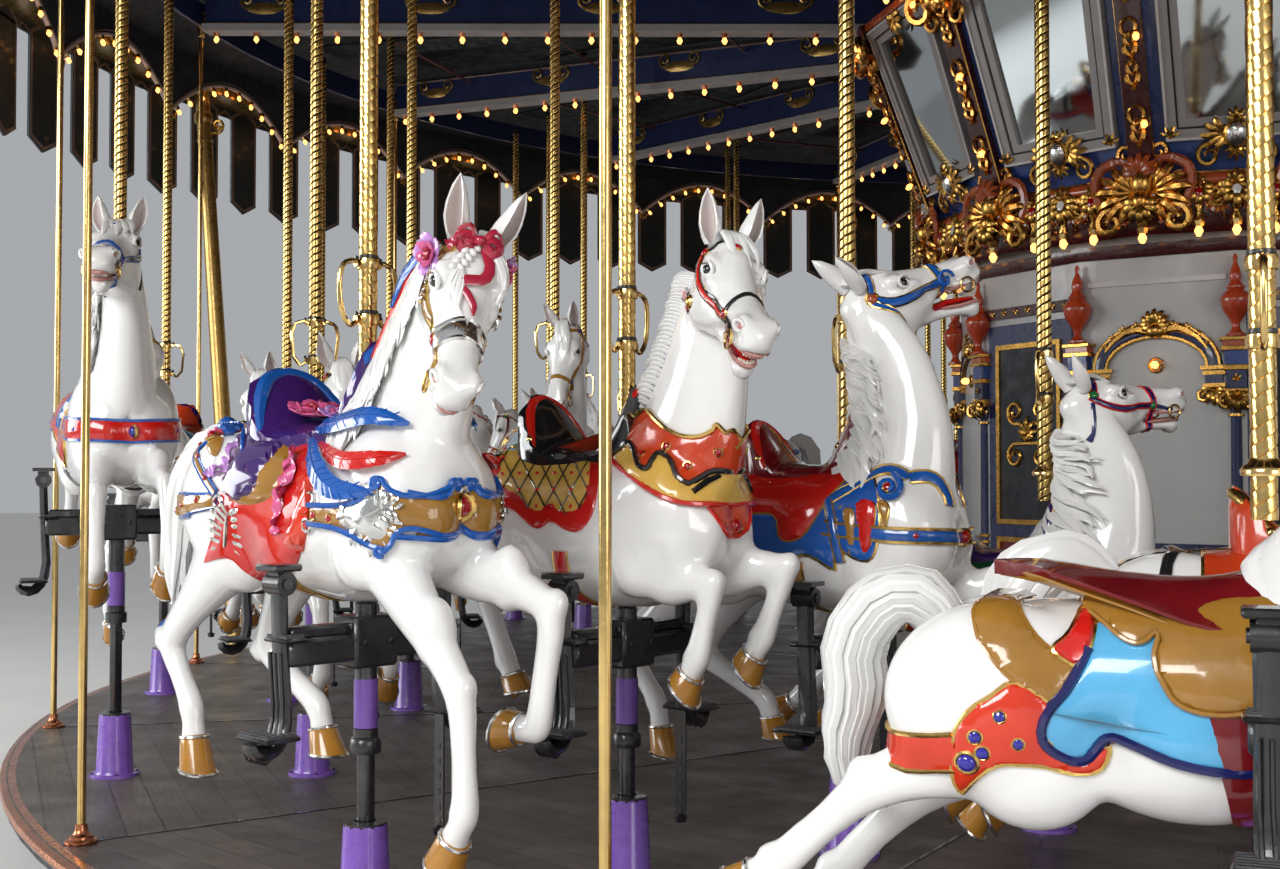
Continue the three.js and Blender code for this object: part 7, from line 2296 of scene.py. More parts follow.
def columns():
    P = Piece()
    corner = 1 / math.cos(rad(5.625))
    P.add(lathe([(8.0625 * corner, 5.081), (8.318 * corner, 5.081), (8.318 * corner, 5.2085), (8.0625 * corner, 5.2085)], 32, phase=rad(5.625), close=True), "bronze")
    for i in range(6):
        a = 159 + 60 * i
        lo, hi = pol(7.76, a, 0.02), pol(8.19, a, 5.12)
        ax = unit(hi - lo)
        L = np.linalg.norm(hi - lo)
        prof = [(0.0, 0.085), (0.10, 0.085), (0.12, 0.079), (0.9, 0.0775), (2.4, 0.0715), (4.2, 0.0625), (4.72, 0.060), (L, 0.060)]
        P.add(sweep([lo + ax * s for s, _ in prof], [r for _, r in prof], None, 24, up=tuple(pol(1, a))), "bronze")
        for s, r, h in ((0.11, 0.096, 0.03), (0.30, 0.090, 0.014), (4.66, 0.070, 0.016), (4.86, 0.078, 0.05)):
            q = [lo + ax * (s - h), lo + ax * (s - h * 0.6), lo + ax * (s + h * 0.6), lo + ax * (s + h)]
            P.add(sweep(q, [r * 0.86, r, r, r * 0.86], None, 24, up=tuple(pol(1, a))), "bronze")
        V, F = lathe([(0.0, 0.0), (0.158, 0.0), (0.160, 0.008), (0.157, 0.030), (0.146, 0.040), (0.0, 0.042)], 28, (lo[0], lo[1]))
        P.add((V, F), "bronze")
        for q in range(6):
            b = lo + pol(0.128, 60 * q)
            P.add(lathe([(0, 0.036), (0.012, 0.036), (0.012, 0.052), (0.008, 0.056), (0, 0.056)], 6, (b[0], b[1])), "steel_rod")
        for s in (-1, 1):
            x, y, z = -pol(1, a), V3(0, 0, 1), pol(1, a + 90) * s
            scroll_arm(P, lo + ax * 4.72 + x * 0.05, x, y, z, 0.16, "old_gold", hand=1, thick=0.14)
    put(P.thinned(9000), "leaning_columns_with_ring_beam", "fixed_frame", replaces=("columns_and_ring_beam",))


def roof():
    P = Piece()
    n = 9
    t_ = np.linspace(0, 1, n)
    r_top = 8.46 + (0.70 - 8.46) * t_
    z_top = 5.270 + (7.955 - 5.270) * t_
    for j in range(SIDES):
        a0, a1 = 11.25 * j + 5.625, 11.25 * j + 16.875
        rows = []
        for i in range(n):
            row = []
            for f in np.linspace(0, 1, 5):
                p = pol(r_top[i], a0, z_top[i]) * (1 - f) + pol(r_top[i], a1, z_top[i]) * f
                row.append(p)
            rows.append(row)
        V = np.array(rows).reshape(-1, 3)
        F = []
        for i in range(n - 1):
            for q in range(4):
                F.append((i * 5 + q, i * 5 + q + 1, (i + 1) * 5 + q + 1, (i + 1) * 5 + q))
        P.add((V, F), "roof_blue" if j % 2 else "roof_cream")
        rib = [pol(r_top[i], a0, z_top[i] + 0.004) for i in range(n)]
        P.add(sweep(rib, 0.016, 0.012, 6), "old_gold")
        # eave moulding
        e0, e1 = pol(8.452, a0, 5.238), pol(8.452, a1, 5.238)
        P.add(sweep([e0, e1], 0.018, 0.027, 8, up=(0, 0, 1)), "old_gold")
        m = (a0 + a1) / 2
        d, t, u = pol(1, m), pol(1, m + 90), V3(0, 0, 1)
        leaf_cluster(P, d * 8.425 + u * 5.228, u, t, d * 0.3, 0.045, "old_gold", 3, 50, 0.1)
    # underside
    corner = 1.0
    P.add(lathe([(8.44, 5.213), (8.44, 5.262), (0.70, 7.930), (0.70, 7.905), (8.10, 5.335), (8.10, 5.213)], 32, phase=rad(5.625), close=True), "charcoal")
    put(P.thinned(9000), "canopy_of_panels", "fixed_frame", replaces=("canopy_roof",), sharp=30)


def mast():
    P = Piece()
    P.add(lathe([(0.0, 0.001), (0.895, 0.001), (0.90, 0.012), (0.90, 0.05), (0.885, 0.062), (0.60, 0.10), (0.36, 0.145), (0.22, 0.19), (0.172, 0.245), (0.168, 0.30), (0.168, 7.95), (0.30, 7.96), (0.72, 7.962), (0.755, 7.975), (0.755, 7.995), (0.72, 8.02), (0.66, 8.06), (0.66, 8.10), (0.50, 8.14),
                 (0.36, 8.19), (0.26, 8.235), (0.19, 8.30), (0.13, 8.38), (0.095, 8.47), (0.092, 8.52), (0.13, 8.555), (0.152, 8.62), (0.13, 8.68), (0.092, 8.72), (0.072, 8.76), (0.055, 8.84), (0.030, 8.98), (0.012, 9.10), (0.0, 9.149)], 40), "bronze")
    for k in range(16):
        a = 22.5 * k
        d, t, u = pol(1, a), pol(1, a + 90), V3(0, 0, 1)
        leaf_cluster(P, d * 0.66 + u * 8.05, u, t, d, 0.11, "old_gold", 5, 65, 0.1)
        P.add(sweep(spline([d * 0.60 + u * 8.10, d * 0.42 + u * 8.19, d * 0.27 + u * 8.26, d * 0.15 + u * 8.40], 8), 0.012, 0.012, 5, up=tuple(t)), "old_gold")
    for k in range(8):
        d, t, u = pol(1, 45 * k), pol(1, 45 * k + 90), V3(0, 0, 1)
        P.add(sweep(spline([d * 0.10 + u * 8.535, d * 0.150 + u * 8.60, d * 0.140 + u * 8.66, d * 0.095 + u * 8.72], 7), 0.008, 0.008, 5, up=tuple(t)), "old_gold")
    put(P.thinned(6000), "mast_with_crown", "fixed_frame", replaces=("centre_mast",))


CENTRE_SIDES, CENTRE_TURN = 12, 237.36


def sides_of(r_lo, z_lo, r_hi, z_hi, turn=0.0):
    out = []
    for k in range(CENTRE_SIDES):
        a, b = CENTRE_TURN + turn + 30 * k, CENTRE_TURN + turn + 30 * (k + 1)
        out.append((pol(r_lo, a, z_lo), pol(r_lo, b, z_lo), pol(r_hi, b, z_hi), pol(r_hi, a, z_hi)))
    return out


def flat_frame(P, pts, n, width, thick, mat):
    """A mitred flat frame round a closed outline; pts run along its outer edge, n points out of its face."""
    c = sum(pts) / len(pts)
    m = len(pts)
    inner = []
    for i in range(m):
        e0, e1 = unit(pts[i] - pts[i - 1]), unit(pts[(i + 1) % m] - pts[i])
        b = unit(e1 - e0)
        s = max(abs(np.linalg.norm(np.cross(b, e1))), 0.3)
        if b @ (c - pts[i]) < 0:
            b = -b
        inner.append(pts[i] + b * width / s)
    for i in range(m):
        j = (i + 1) % m
        q = [pts[i], pts[j], inner[j], inner[i]]
        prism(P, q, [v + n * thick for v in q], mat)
    return inner


def casing():
    P, B = Piece(), Piece()
    z0, z1 = FLOOR + 3.095, FLOOR + 4.435
    R0, R1 = 1.842, 2.330
    ph = rad(CENTRE_TURN)
    P.add(lathe([(1.77, z0), (R0, z0), (R1, z1), (R1 - 0.10, z1)], CENTRE_SIDES, phase=ph, close=True), "blue_field")
    for k, (a, b, c, d) in enumerate(sides_of(R0, z0, R1, z1)):
        ex = unit(b - a)
        up = unit((c + d) / 2 - (a + b) / 2)
        n = unit(np.cross(up, ex))
        if n @ ((a + b) / 2 * V3(1, 1, 0)) < 0:
            n = -n
        H = np.linalg.norm((c + d) / 2 - (a + b) / 2)
        w0, w1 = np.linalg.norm(b - a) / 2, np.linalg.norm(c - d) / 2
        base = (a + b) / 2

        def at_(x, y, o=0.0):
            return base + ex * x + up * y + n * o

        def half_w(y):
            return w0 + (w1 - w0) * y / H

        # deep outer frame, dark slip and inner frame round the glass; the frames' pinkish grey is painted shade on a
        # pale grey frame, and the charcoal slip is painted shade in the step between the frames
        y0, y1 = H * 0.13, H * 0.95
        x0, x1 = half_w(y0) - 0.130, half_w(y1) - 0.140
        outer = [at_(-x0, y0, 0.002), at_(x0, y0, 0.002), at_(x1, y1, 0.002), at_(-x1, y1, 0.002)]
        i1 = flat_frame(P, outer, n, 0.060, 0.046, "frame_grey_in_shade")
        flat_frame(P, [v + n * 0.044 for v in outer], n, 0.014, 0.010, "pale_grey")
        i2 = flat_frame(P, [v + n * 0.0 for v in i1], n, 0.012, 0.030, "charcoal")
        i3 = flat_frame(P, i2, n, 0.042, 0.036, "frame_grey_in_shade")
        prism(P, [v + n * 0.006 for v in i3], [v + n * 0.012 for v in i3], "mirror")
        # oval boss in gold leaves at the foot of the frame
        f0 = at_(0, y0 + 0.020, 0.052)
        P.add(ball(f0 + n * 0.012, (0.052, 0.068, 0.028), 14, 9, np.stack([ex, up, n], 1)), "silver_leaf")
        aa = np.linspace(0, 2 * math.pi, 19)[:-1]
        bead(P, [f0 + ex * math.cos(q) * 0.060 + up * math.sin(q) * 0.076 + n * 0.006 for q in aa], 0.010, "old_gold", True, 6)
        for s in (-1, 1):
            leaf_cluster(P, f0 + ex * s * 0.062 - n * 0.006, ex * s, up, n, 0.13, "old_gold", 5, 62, 0.10)
            scroll_arm(P, f0 + ex * s * 0.05 - up * 0.045, ex * s, -up, n, 0.17, "old_gold", hand=1, thick=0.13, n=12)
        leaf_cluster(P, f0 - up * 0.072, -up, ex, n, 0.08, "old_gold", 5, 70, 0.14)
        leaf_cluster(P, f0 + up * 0.074, up, ex, n, 0.07, "old_gold", 5, 70, 0.14)
        f1 = at_(0, y1 - 0.02, 0.050)
        leaf_cluster(P, f1, -up, ex, n, 0.13, "old_gold", 7, 95, 0.12)
        for sx in (-1, 1):
            leaf_cluster(P, at_(sx * (x0 - 0.02), y0 + 0.02, 0.050), up, ex * -sx, n, 0.070, "old_gold", 4, 60, 0.1)
        # maroon rib with its chain of leaves and lamp rings
        r0, r1 = a, d
        ax = unit(r1 - r0)
        ang = CENTRE_TURN + 30 * k
        outw = unit(pol(1, ang) - ax * (pol(1, ang) @ ax))
        tt = np.cross(ax, outw)
        L = np.linalg.norm(r1 - r0)
        P.add(sweep([r0 + outw * 0.004, r1 + outw * 0.004], 0.098, 0.046, 4, up=tuple(outw), turn=math.pi / 4), "rib_red")
        for s in (-1, 1):
            P.add(sweep([r0 + tt * s * 0.068 + outw * 0.030, r1 + tt * s * 0.068 + outw * 0.030], 0.0065, 0.0065, 5), "old_gold")
        m = 8
        for i in range(m):
            y = L * (0.13 + 0.78 * i / (m - 1))
            c0 = r0 + ax * y + outw * 0.040
            if i % 3 == 1 or i == m - 1:
                aa = np.linspace(0, 2 * math.pi, 17)[:-1]
                bead(P, [c0 + ax * math.cos(q) * 0.050 + tt * math.sin(q) * 0.042 + outw * 0.012 for q in aa], 0.010, "lamp_gold", True, 6)
                bulb(B, c0 - ax * 0.034 + tt * 0.036 + outw * 0.006, unit(outw - V3(0, 0, 0.5) + tt * 0.3), 0.021)
            else:
                for s in (-1, 1):
                    for h_, g_ in ((0.0, 1.0), (0.055, 0.8)):
                        q0 = c0 + ax * h_
                        P.add(lock([q0, q0 + tt * s * 0.026 * g_ + ax * 0.030 + outw * 0.014, q0 + tt * s * 0.030 * g_ + ax * 0.062 + outw * 0.008, q0 + tt * s * 0.014 * g_ + ax * 0.088], 0.016 * g_, 0.008, 7, 5, up=tuple(outw)), "lamp_gold")
                P.add(ball(c0 - ax * 0.012 + outw * 0.012, (0.017, 0.017, 0.017), 7, 5), "lamp_gold")
                P.add(ball(c0 + ax * 0.125 + outw * 0.008, (0.012, 0.012, 0.020), 6, 4), "lamp_gold")
        # head of the rib: scrolls with lamps under the sweeps
        hd = r1 - ax * 0.10 + outw * 0.036
        for s in (-1, 1):
            scroll_arm(P, hd, unit(outw * 0.3 + tt * s), unit(-ax), outw, 0.26, "lamp_gold", hand=1, thick=0.15, n=14)
            scroll_arm(P, hd - ax * 0.12, tt * s, -ax, outw, 0.19, "lamp_gold", hand=1, thick=0.14, n=12)
            bulb(B, hd + tt * s * 0.15 + outw * 0.030 - ax * 0.03, unit(outw - V3(0, 0, 0.8)), 0.021)
        leaf_cluster(P, hd + outw * 0.02, -ax, tt, outw, 0.17, "lamp_gold", 7, 95, 0.14)
        P.add(ball(hd + outw * 0.02, (0.045, 0.045, 0.045), 9, 7), "lamp_gold")
    P.add(lathe([(R1 - 0.09, z1 - 0.045), (R1 + 0.002, z1 - 0.050), (R1 + 0.008, z1 - 0.03), (R1 + 0.006, z1 + 0.002), (R1 - 0.09, z1 + 0.003)], CENTRE_SIDES, phase=ph, close=True), "rail_red")
    put(P.thinned(50000), "mirror_casing_boards", "turntable", replaces=("mirror_casing",), sharp=32)
    put(B.thinned(2600), "casing_lamps", "turntable")


def cornice():
    P, B = Piece(), Piece()
    zt, zl = FLOOR + 3.088, FLOOR + 2.762
    ph = rad(CENTRE_TURN)
    P.add(lathe([(1.768, zl + 0.04), (1.80, zl), (1.835, zl + 0.045), (1.84, zl + 0.10), (1.865, zl + 0.20), (1.882, zl + 0.255), (1.894, zt - 0.03), (1.892, zt - 0.004), (1.768, zt)], CENTRE_SIDES, phase=ph, close=True), "rib_red")
    u = V3(0, 0, 1)
    for k, (a, b, c, d) in enumerate(sides_of(1.888, zt - 0.045, 1.888, zt)):
        ex = unit(b - a)
        n = unit((a + b) / 2 * V3(1, 1, 0))
        L = np.linalg.norm(b - a)
        # orange rail between gold lines
        P.add(sweep([a, b], 0.040, 0.034, 10, up=tuple(n)), "rail_red")
        P.add(sweep([a - u * 0.044 + n * 0.006, b - u * 0.044 + n * 0.006], 0.009, 0.008, 5), "old_gold")
        P.add(sweep([a + u * 0.040 + n * 0.006, b + u * 0.040 + n * 0.006], 0.007, 0.007, 5), "old_gold")
        mid = (a + b) / 2
        # fringe of hanging leaves with beads
        for i in range(15):
            f = (i + 0.5) / 15
            c0 = a * (1 - f) + b * f - u * 0.070 - n * 0.004
            s = 0.085 + 0.055 * abs(math.sin(math.pi * f * 3))
            P.add(lock([c0, c0 - u * s * 0.5 + n * 0.014, c0 - u * s], 0.024, 0.010, 6, 5, up=tuple(n)), "old_gold")
            P.add(ball(c0 - u * (s + 0.008), 0.010, 6, 4), "lamp_gold")
        # swags of fruit between the drops
        for f0, f1 in ((0.06, 0.30), (0.30, 0.50), (0.50, 0.70), (0.70, 0.94)):
            sw = [a * (1 - f) + b * f + n * 0.020 - u * (0.075 + 0.10 * math.sin(math.pi * g)) for f, g in zip(np.linspace(f0, f1, 9), np.linspace(0, 1, 9))]
            P.add(sweep(sw, np.array([0.5, 0.8, 1.0, 1.2, 1.3, 1.2, 1.0, 0.8, 0.5]) * 0.015, None, 6), "carved_orange")
            for i in range(9):
                P.add(ball(sw[i] + n * 0.010 - u * 0.004, 0.0125, 6, 4), "old_gold" if i % 3 else "pearl")
        # drops: leaf head, oval, tassel, lamp
        for f, big in ((0.30, 1.0), (0.50, 1.25), (0.70, 1.0)):
            q = a * (1 - f) + b * f + n * 0.022
            leaf_cluster(P, q - u * 0.040, -u, ex, n, 0.12 * big, "old_gold", 7, 88, 0.16)
            leaf_cluster(P, q - u * 0.030, u, ex, n, 0.07 * big, "old_gold", 5, 75, 0.16)
            for s in (-1, 1):
                scroll_arm(P, q - u * 0.05 + n * 0.004, ex * s, -u, n, 0.135 * big, "old_gold", hand=1, thick=0.14, n=12)
                P.add(lock([q - u * 0.02, q + ex * s * 0.055 - u * 0.06 + n * 0.02, q + ex * s * 0.062 - u * 0.13, q + ex * s * 0.03 - u * 0.185], 0.020, 0.012, 8, 5, up=tuple(n)), "carved_orange")
            P.add(ball(q - u * 0.085 + n * 0.024, (0.024 * big, 0.036 * big, 0.016), 9, 7, np.stack([ex, u, n], 1)), "pearl" if big > 1 else "ruby")
            P.add(sweep([q - u * 0.12, q - u * 0.15, q - u * 0.185, q - u * 0.225, q - u * 0.24], [0.014, 0.026, 0.016, 0.030, 0.022], None, 9), "old_gold")
            bulb(B, q - u * 0.238, (0, 0, -1), 0.025)
        # bracket at the rib: carved mask-like crest of leaves with open wings
        ang = CENTRE_TURN + 30 * k
        o, t = pol(1, ang), pol(1, ang + 90)
        c0 = pol(1.880, ang, zt - 0.030)
        for s in (-1, 1):
            for i in range(7):
                g = rad(-62 + 22 * i)
                dirn = t * s * math.cos(g) + u * math.sin(g)
                ln = 0.235 - 0.018 * abs(i - 3)
                p0 = c0 + t * s * 0.035 - u * 0.07
                P.add(lock([p0, p0 + dirn * ln * 0.5 + o * 0.040, p0 + dirn * ln * 0.9 + o * 0.026, p0 + dirn * ln * 1.06 - u * 0.012], 0.026, 0.013, 9, 6, up=tuple(o)), "lamp_gold")
            sh = [c0 + t * s * 0.02 + u * 0.075, c0 + t * s * 0.14 + u * 0.115 + o * 0.016, c0 + t * s * 0.245 + u * 0.060 + o * 0.012, c0 + t * s * 0.262 - u * 0.05, c0 + t * s * 0.20 - u * 0.17, c0 + t * s * 0.09 - u * 0.245]
            P.add(sweep(spline(sh, 18), np.interp(np.linspace(0, 1, 18), [0, 0.3, 0.7, 1], [0.020, 0.028, 0.024, 0.012]), 0.020, 6, up=tuple(o)), "carved_orange")
            scroll_arm(P, c0 + t * s * 0.05 - u * 0.16, unit(t * s + u * 0.1), unit(-u + t * s * 0.2), o, 0.21, "old_gold", hand=1, thick=0.15, n=14)
            scroll_arm(P, c0 + t * s * 0.03 + u * 0.06, unit(t * s + u * 0.5), unit(u - t * s * 0.3), o, 0.15, "lamp_gold", hand=1, thick=0.15, n=12)
        P.add(ball(c0 + o * 0.030 - u * 0.02, (0.062, 0.062, 0.085), 12, 9, np.stack([o, t, u], 1)), "old_gold")
        P.add(ball(c0 + o * 0.060 - u * 0.125, (0.044, 0.050, 0.060), 12, 9, np.stack([o, t, u], 1)), "lamp_gold")
        leaf_cluster(P, c0 + o * 0.055 + u * 0.02, u, t, o, 0.13, "carved_orange", 7, 80, 0.18)
        leaf_cluster(P, c0 + o * 0.062 - u * 0.13, -u, t, o, 0.13, "old_gold", 7, 85, 0.16)
        P.add(sweep([c0 + o * 0.018 - u * 0.20, c0 + o * 0.018 - u * 0.235, c0 + o * 0.018 - u * 0.265, c0 + o * 0.018 - u * 0.28], [0.020, 0.036, 0.024, 0.018], None, 10), "old_gold")
        bulb(B, c0 + o * 0.018 - u * 0.277, (0, 0, -1), 0.025)
    put(P.thinned(78000), "cornice_carving", "turntable", replaces=("carved_cornice",), sharp=40)
    put(B.thinned(2200), "cornice_lamps", "turntable")


def house():
    P, B = Piece(), Piece()
    HR = 1.662
    ph = rad(CENTRE_TURN + 15)
    z0, z1 = FLOOR + 0.002, FLOOR + 3.148
    P.add(lathe([(0.262, z0), (HR, z0), (HR, z1), (0.262, z1)], CENTRE_SIDES, phase=ph, close=True), "house_grey")
    u = V3(0, 0, 1)
    for k, (a, b, c, d) in enumerate(sides_of(HR, FLOOR, HR, FLOOR + 3.1, -15.0)):
        ex = unit(b - a)
        n = unit((a + b) / 2 * V3(1, 1, 0))
        L = np.linalg.norm(b - a)
        w = L / 2
        mid = (a + b) / 2

        def q(x, z, o=0.0):
            return mid + ex * x + u * z + n * o

        slab(P, q(0, 0.11, 0.010), ex * w, n * 0.018, u * 0.108, "house_navy", 0.006)
        P.add(sweep([q(-w, 0.226, 0.018), q(w, 0.226, 0.018)], 0.014, 0.011, 6), "old_gold")
        if k % 2 == 0:
            # pale wall with a blind arch, its crest and one lamp
            slab(P, q(0, 0.60, 0.003), ex * w * 0.70, n * 0.010, u * 0.26, "house_navy", 0.008)
            for z in (0.31, 0.89):
                P.add(sweep([q(-w * 0.74, z, 0.010), q(w * 0.74, z, 0.010)], 0.012, 0.010, 6), "old_gold")
            for s in (-1, 1):
                P.add(sweep([q(s * w * 0.74, 0.31, 0.010), q(s * w * 0.74, 0.89, 0.010)], 0.012, 0.010, 6), "old_gold")
                scroll_arm(P, q(s * 0.02, 0.60, 0.014), ex * s, u, n, 0.24, "old_gold", hand=1, thick=0.10, n=14)
                scroll_arm(P, q(s * 0.02, 0.60, 0.014), ex * s, -u, n, 0.24, "old_gold", hand=1, thick=0.10, n=14)
            leaf_cluster(P, q(0, 0.60, 0.016), u, ex, n, 0.14, "old_gold", 9, 160, 0.12)
            slab(P, q(0, 0.985, 0.012), ex * w * 0.98, n * 0.016, u * 0.030, "house_navy", 0.006)
            sp, rx, rz = 2.02, w * 0.74, 0.225
            th = np.linspace(0, math.pi, 25)
            P.add(sweep([q(rx * math.cos(t), sp + rz * math.sin(t), 0.010) for t in th], 0.046, 0.018, 6, up=tuple(n)), "house_navy")
            P.add(sweep([q(rx * 1.10 * math.cos(t), sp + rz * 1.16 * math.sin(t), 0.016) for t in th], 0.013, 0.014, 6, up=tuple(n)), "old_gold")
            P.add(sweep([q(rx * 0.885 * math.cos(t), sp + rz * 0.80 * math.sin(t), 0.016) for t in th], 0.012, 0.012, 6, up=tuple(n)), "old_gold")
            for s in (-1, 1):
                for z in (0.0, -0.03, -0.10):
                    slab(P, q(s * rx, sp + z - 0.01, 0.014), ex * (0.062 if z else 0.074), n * 0.016, u * 0.012, "old_gold", 0.003)
                slab(P, q(s * rx, sp - 0.065, 0.012), ex * 0.05, n * 0.014, u * 0.036, "house_navy", 0.004)
                scroll_arm(P, q(s * rx, sp - 0.13, 0.018), -ex * s, -u, n, 0.10, "old_gold", hand=1, thick=0.15, n=12)
                leaf_cluster(P, q(s * rx, sp - 0.13, 0.020), -u, ex, n, 0.10, "old_gold", 7, 85, 0.14)
            crest = q(0, sp + rz + 0.005, 0.022)
            leaf_cluster(P, crest, u, ex, n, 0.115, "old_gold", 9, 96, 0.16)
            P.add(ball(crest + n * 0.012 - u * 0.02, (0.052, 0.045, 0.030), 10, 7, np.stack([ex, u, n], 1)), "old_gold")
            for s in (-1, 1):
                pts = [crest - u * 0.03, crest + ex * s * 0.12 - u * 0.005 + n * 0.006, crest + ex * s * 0.22 - u * 0.055, crest + ex * s * 0.285 - u * 0.13]
                P.add(sweep(spline(pts, 14), np.interp(np.linspace(0, 1, 14), [0, 0.5, 1], [0.030, 0.024, 0.008]), 0.014, 6, up=tuple(n)), "old_gold")
                for i in range(4):
                    qq = spline(pts, 14)[3 + 3 * i]
                    leaf_cluster(P, qq, unit(ex * s * 0.5 + u), ex * s, n, 0.055 - 0.006 * i, "old_gold", 3, 45, 0.16)
            c0 = q(0, sp + 0.015, 0.004)
            aa = np.linspace(0, 2 * math.pi, 17)[:-1]
            bead(P, [c0 + (ex * math.cos(s) + u * math.sin(s)) * 0.040 + n * 0.004 for s in aa], 0.007, "old_gold", True, 5)
            bulb(B, c0 - n * 0.010, n, 0.024)
            slab(P, q(0, 2.52, 0.004), ex * w * 0.9, n * 0.008, u * 0.016, "pale_grey", 0.003)
        else:
            # dark side: a panelled door in a gold frame; its dark navy slab and maroon and charcoal panels are painted
            # shade, standing in for the shadow on this side
            slab(P, q(0, 1.30, 0.004), ex * w * 0.86, n * 0.012, u * 1.045, "house_navy", 0.006)
            for lo, hi, mat in ((0.32, 1.02, "maroon"), (1.10, 2.22, "charcoal")):
                pts = [q(-w * 0.66, lo, 0.018), q(w * 0.66, lo, 0.018), q(w * 0.66, hi, 0.018), q(-w * 0.66, hi, 0.018)]
                inn = flat_frame(P, pts, n, 0.030, 0.016, "old_gold")
                prism(P, inn, [v + n * 0.005 for v in inn], mat)
                zc = (lo + hi) / 2
                leaf_cluster(P, q(0, zc, 0.026), u, ex, n, 0.11, "old_gold", 9, 160, 0.12)
                for s in (-1, 1):
                    scroll_arm(P, q(0, zc + 0.06, 0.024), ex * s, u, n, 0.20, "old_gold", hand=1, thick=0.10, n=14)
                    scroll_arm(P, q(0, zc - 0.06, 0.024), ex * s, -u, n, 0.20, "old_gold", hand=1, thick=0.10, n=14)
            slab(P, q(0, 2.42, 0.008), ex * w * 0.9, n * 0.014, u * 0.035, "rib_red", 0.005)
            for i in range(7):
                leaf_cluster(P, q(-w * 0.75 + w * 0.25 * i, 2.42, 0.024), u, ex, n, 0.034, "old_gold", 5, 140, 0.12)
        # corner: turned column, navy and gold capital block, orange-red urn
        ang = CENTRE_TURN - 15 + 30 * k
        o, t = pol(1, ang), pol(1, ang + 90)
        cc = pol(HR - 0.004, ang)
        col = [(0.0, 0.22), (0.052, 0.22), (0.056, 0.24), (0.052, 0.27), (0.038, 0.31), (0.034, 0.36), (0.033, 1.0), (0.030, 1.76), (0.038, 1.79), (0.042, 1.81), (0.036, 1.83), (0.0, 1.84)]
        P.add(lathe([(r, FLOOR + z) for r, z in col], 14, (cc[0], cc[1])), "house_navy")
        for z in (0.245, 0.32, 0.98, 1.02, 1.74, 1.81):
            P.add(lathe([(0.025, FLOOR + z - 0.012), (0.045, FLOOR + z - 0.007), (0.045, FLOOR + z + 0.007), (0.025, FLOOR + z + 0.012)], 14, (cc[0], cc[1]), close=True), "old_gold")
        for z, hz_, ww, mat in ((1.865, 0.022, 0.052, "old_gold"), (1.94, 0.052, 0.046, "house_navy"), (2.005, 0.014, 0.060, "old_gold"), (2.06, 0.040, 0.052, "blue_field"), (2.112, 0.012, 0.068, "old_gold"), (2.14, 0.016, 0.060, "rail_red"), (2.166, 0.010, 0.072, "old_gold")):
            slab(P, cc + u * (FLOOR + z) + o * 0.004, o * ww, t * ww * 1.2, u * hz_, mat, 0.004)
        for s in (-1, 1):
            scroll_arm(P, cc + u * (FLOOR + 1.86) + o * 0.03, unit(t * s + o * 0.4), -u, o, 0.12, "old_gold", hand=1, thick=0.16, n=12)
        leaf_cluster(P, cc + u * (FLOOR + 1.87) + o * 0.04, -u, t, o, 0.12, "old_gold", 7, 70, 0.2)
        leaf_cluster(P, cc + u * (FLOOR + 1.94) + o * 0.050, u, t, o, 0.035, "old_gold", 7, 150, 0.2)
        zc = FLOOR + 2.176
        urn = [(0.0, 0), (0.050, 0), (0.052, 0.012), (0.034, 0.026), (0.022, 0.050), (0.024, 0.075), (0.040, 0.105), (0.070, 0.150), (0.082, 0.195), (0.082, 0.215), (0.064, 0.245), (0.044, 0.262), (0.050, 0.276), (0.040, 0.290), (0.028, 0.310), (0.034, 0.335), (0.028, 0.370), (0.014, 0.405), (0.010, 0.425), (0.015, 0.44), (0.008, 0.458), (0.0, 0.468)]
        cu = pol(HR + 0.040, ang)
        P.add(lathe([(r, zc + z) for r, z in urn], 18, (cu[0], cu[1])), "urn_red")
        for z, r in ((0.012, 0.054), (0.205, 0.0845), (0.276, 0.052)):
            P.add(lathe([(r - 0.010, zc + z - 0.006), (r, zc + z - 0.004), (r, zc + z + 0.004), (r - 0.010, zc + z + 0.006)], 18, (cu[0], cu[1]), close=True), "carved_orange")
    P.add(lathe([(HR - 0.02, FLOOR + 2.66), (HR + 0.012, FLOOR + 2.665), (HR + 0.030, FLOOR + 2.70), (HR + 0.030, FLOOR + 2.74), (HR - 0.02, FLOOR + 2.74)], CENTRE_SIDES, phase=ph, close=True), "rib_red")
    put(P.thinned(70000), "centre_house_panels", "turntable", replaces=("centre_house_wall",), sharp=35)
    put(B, "centre_house_lamps", "turntable")


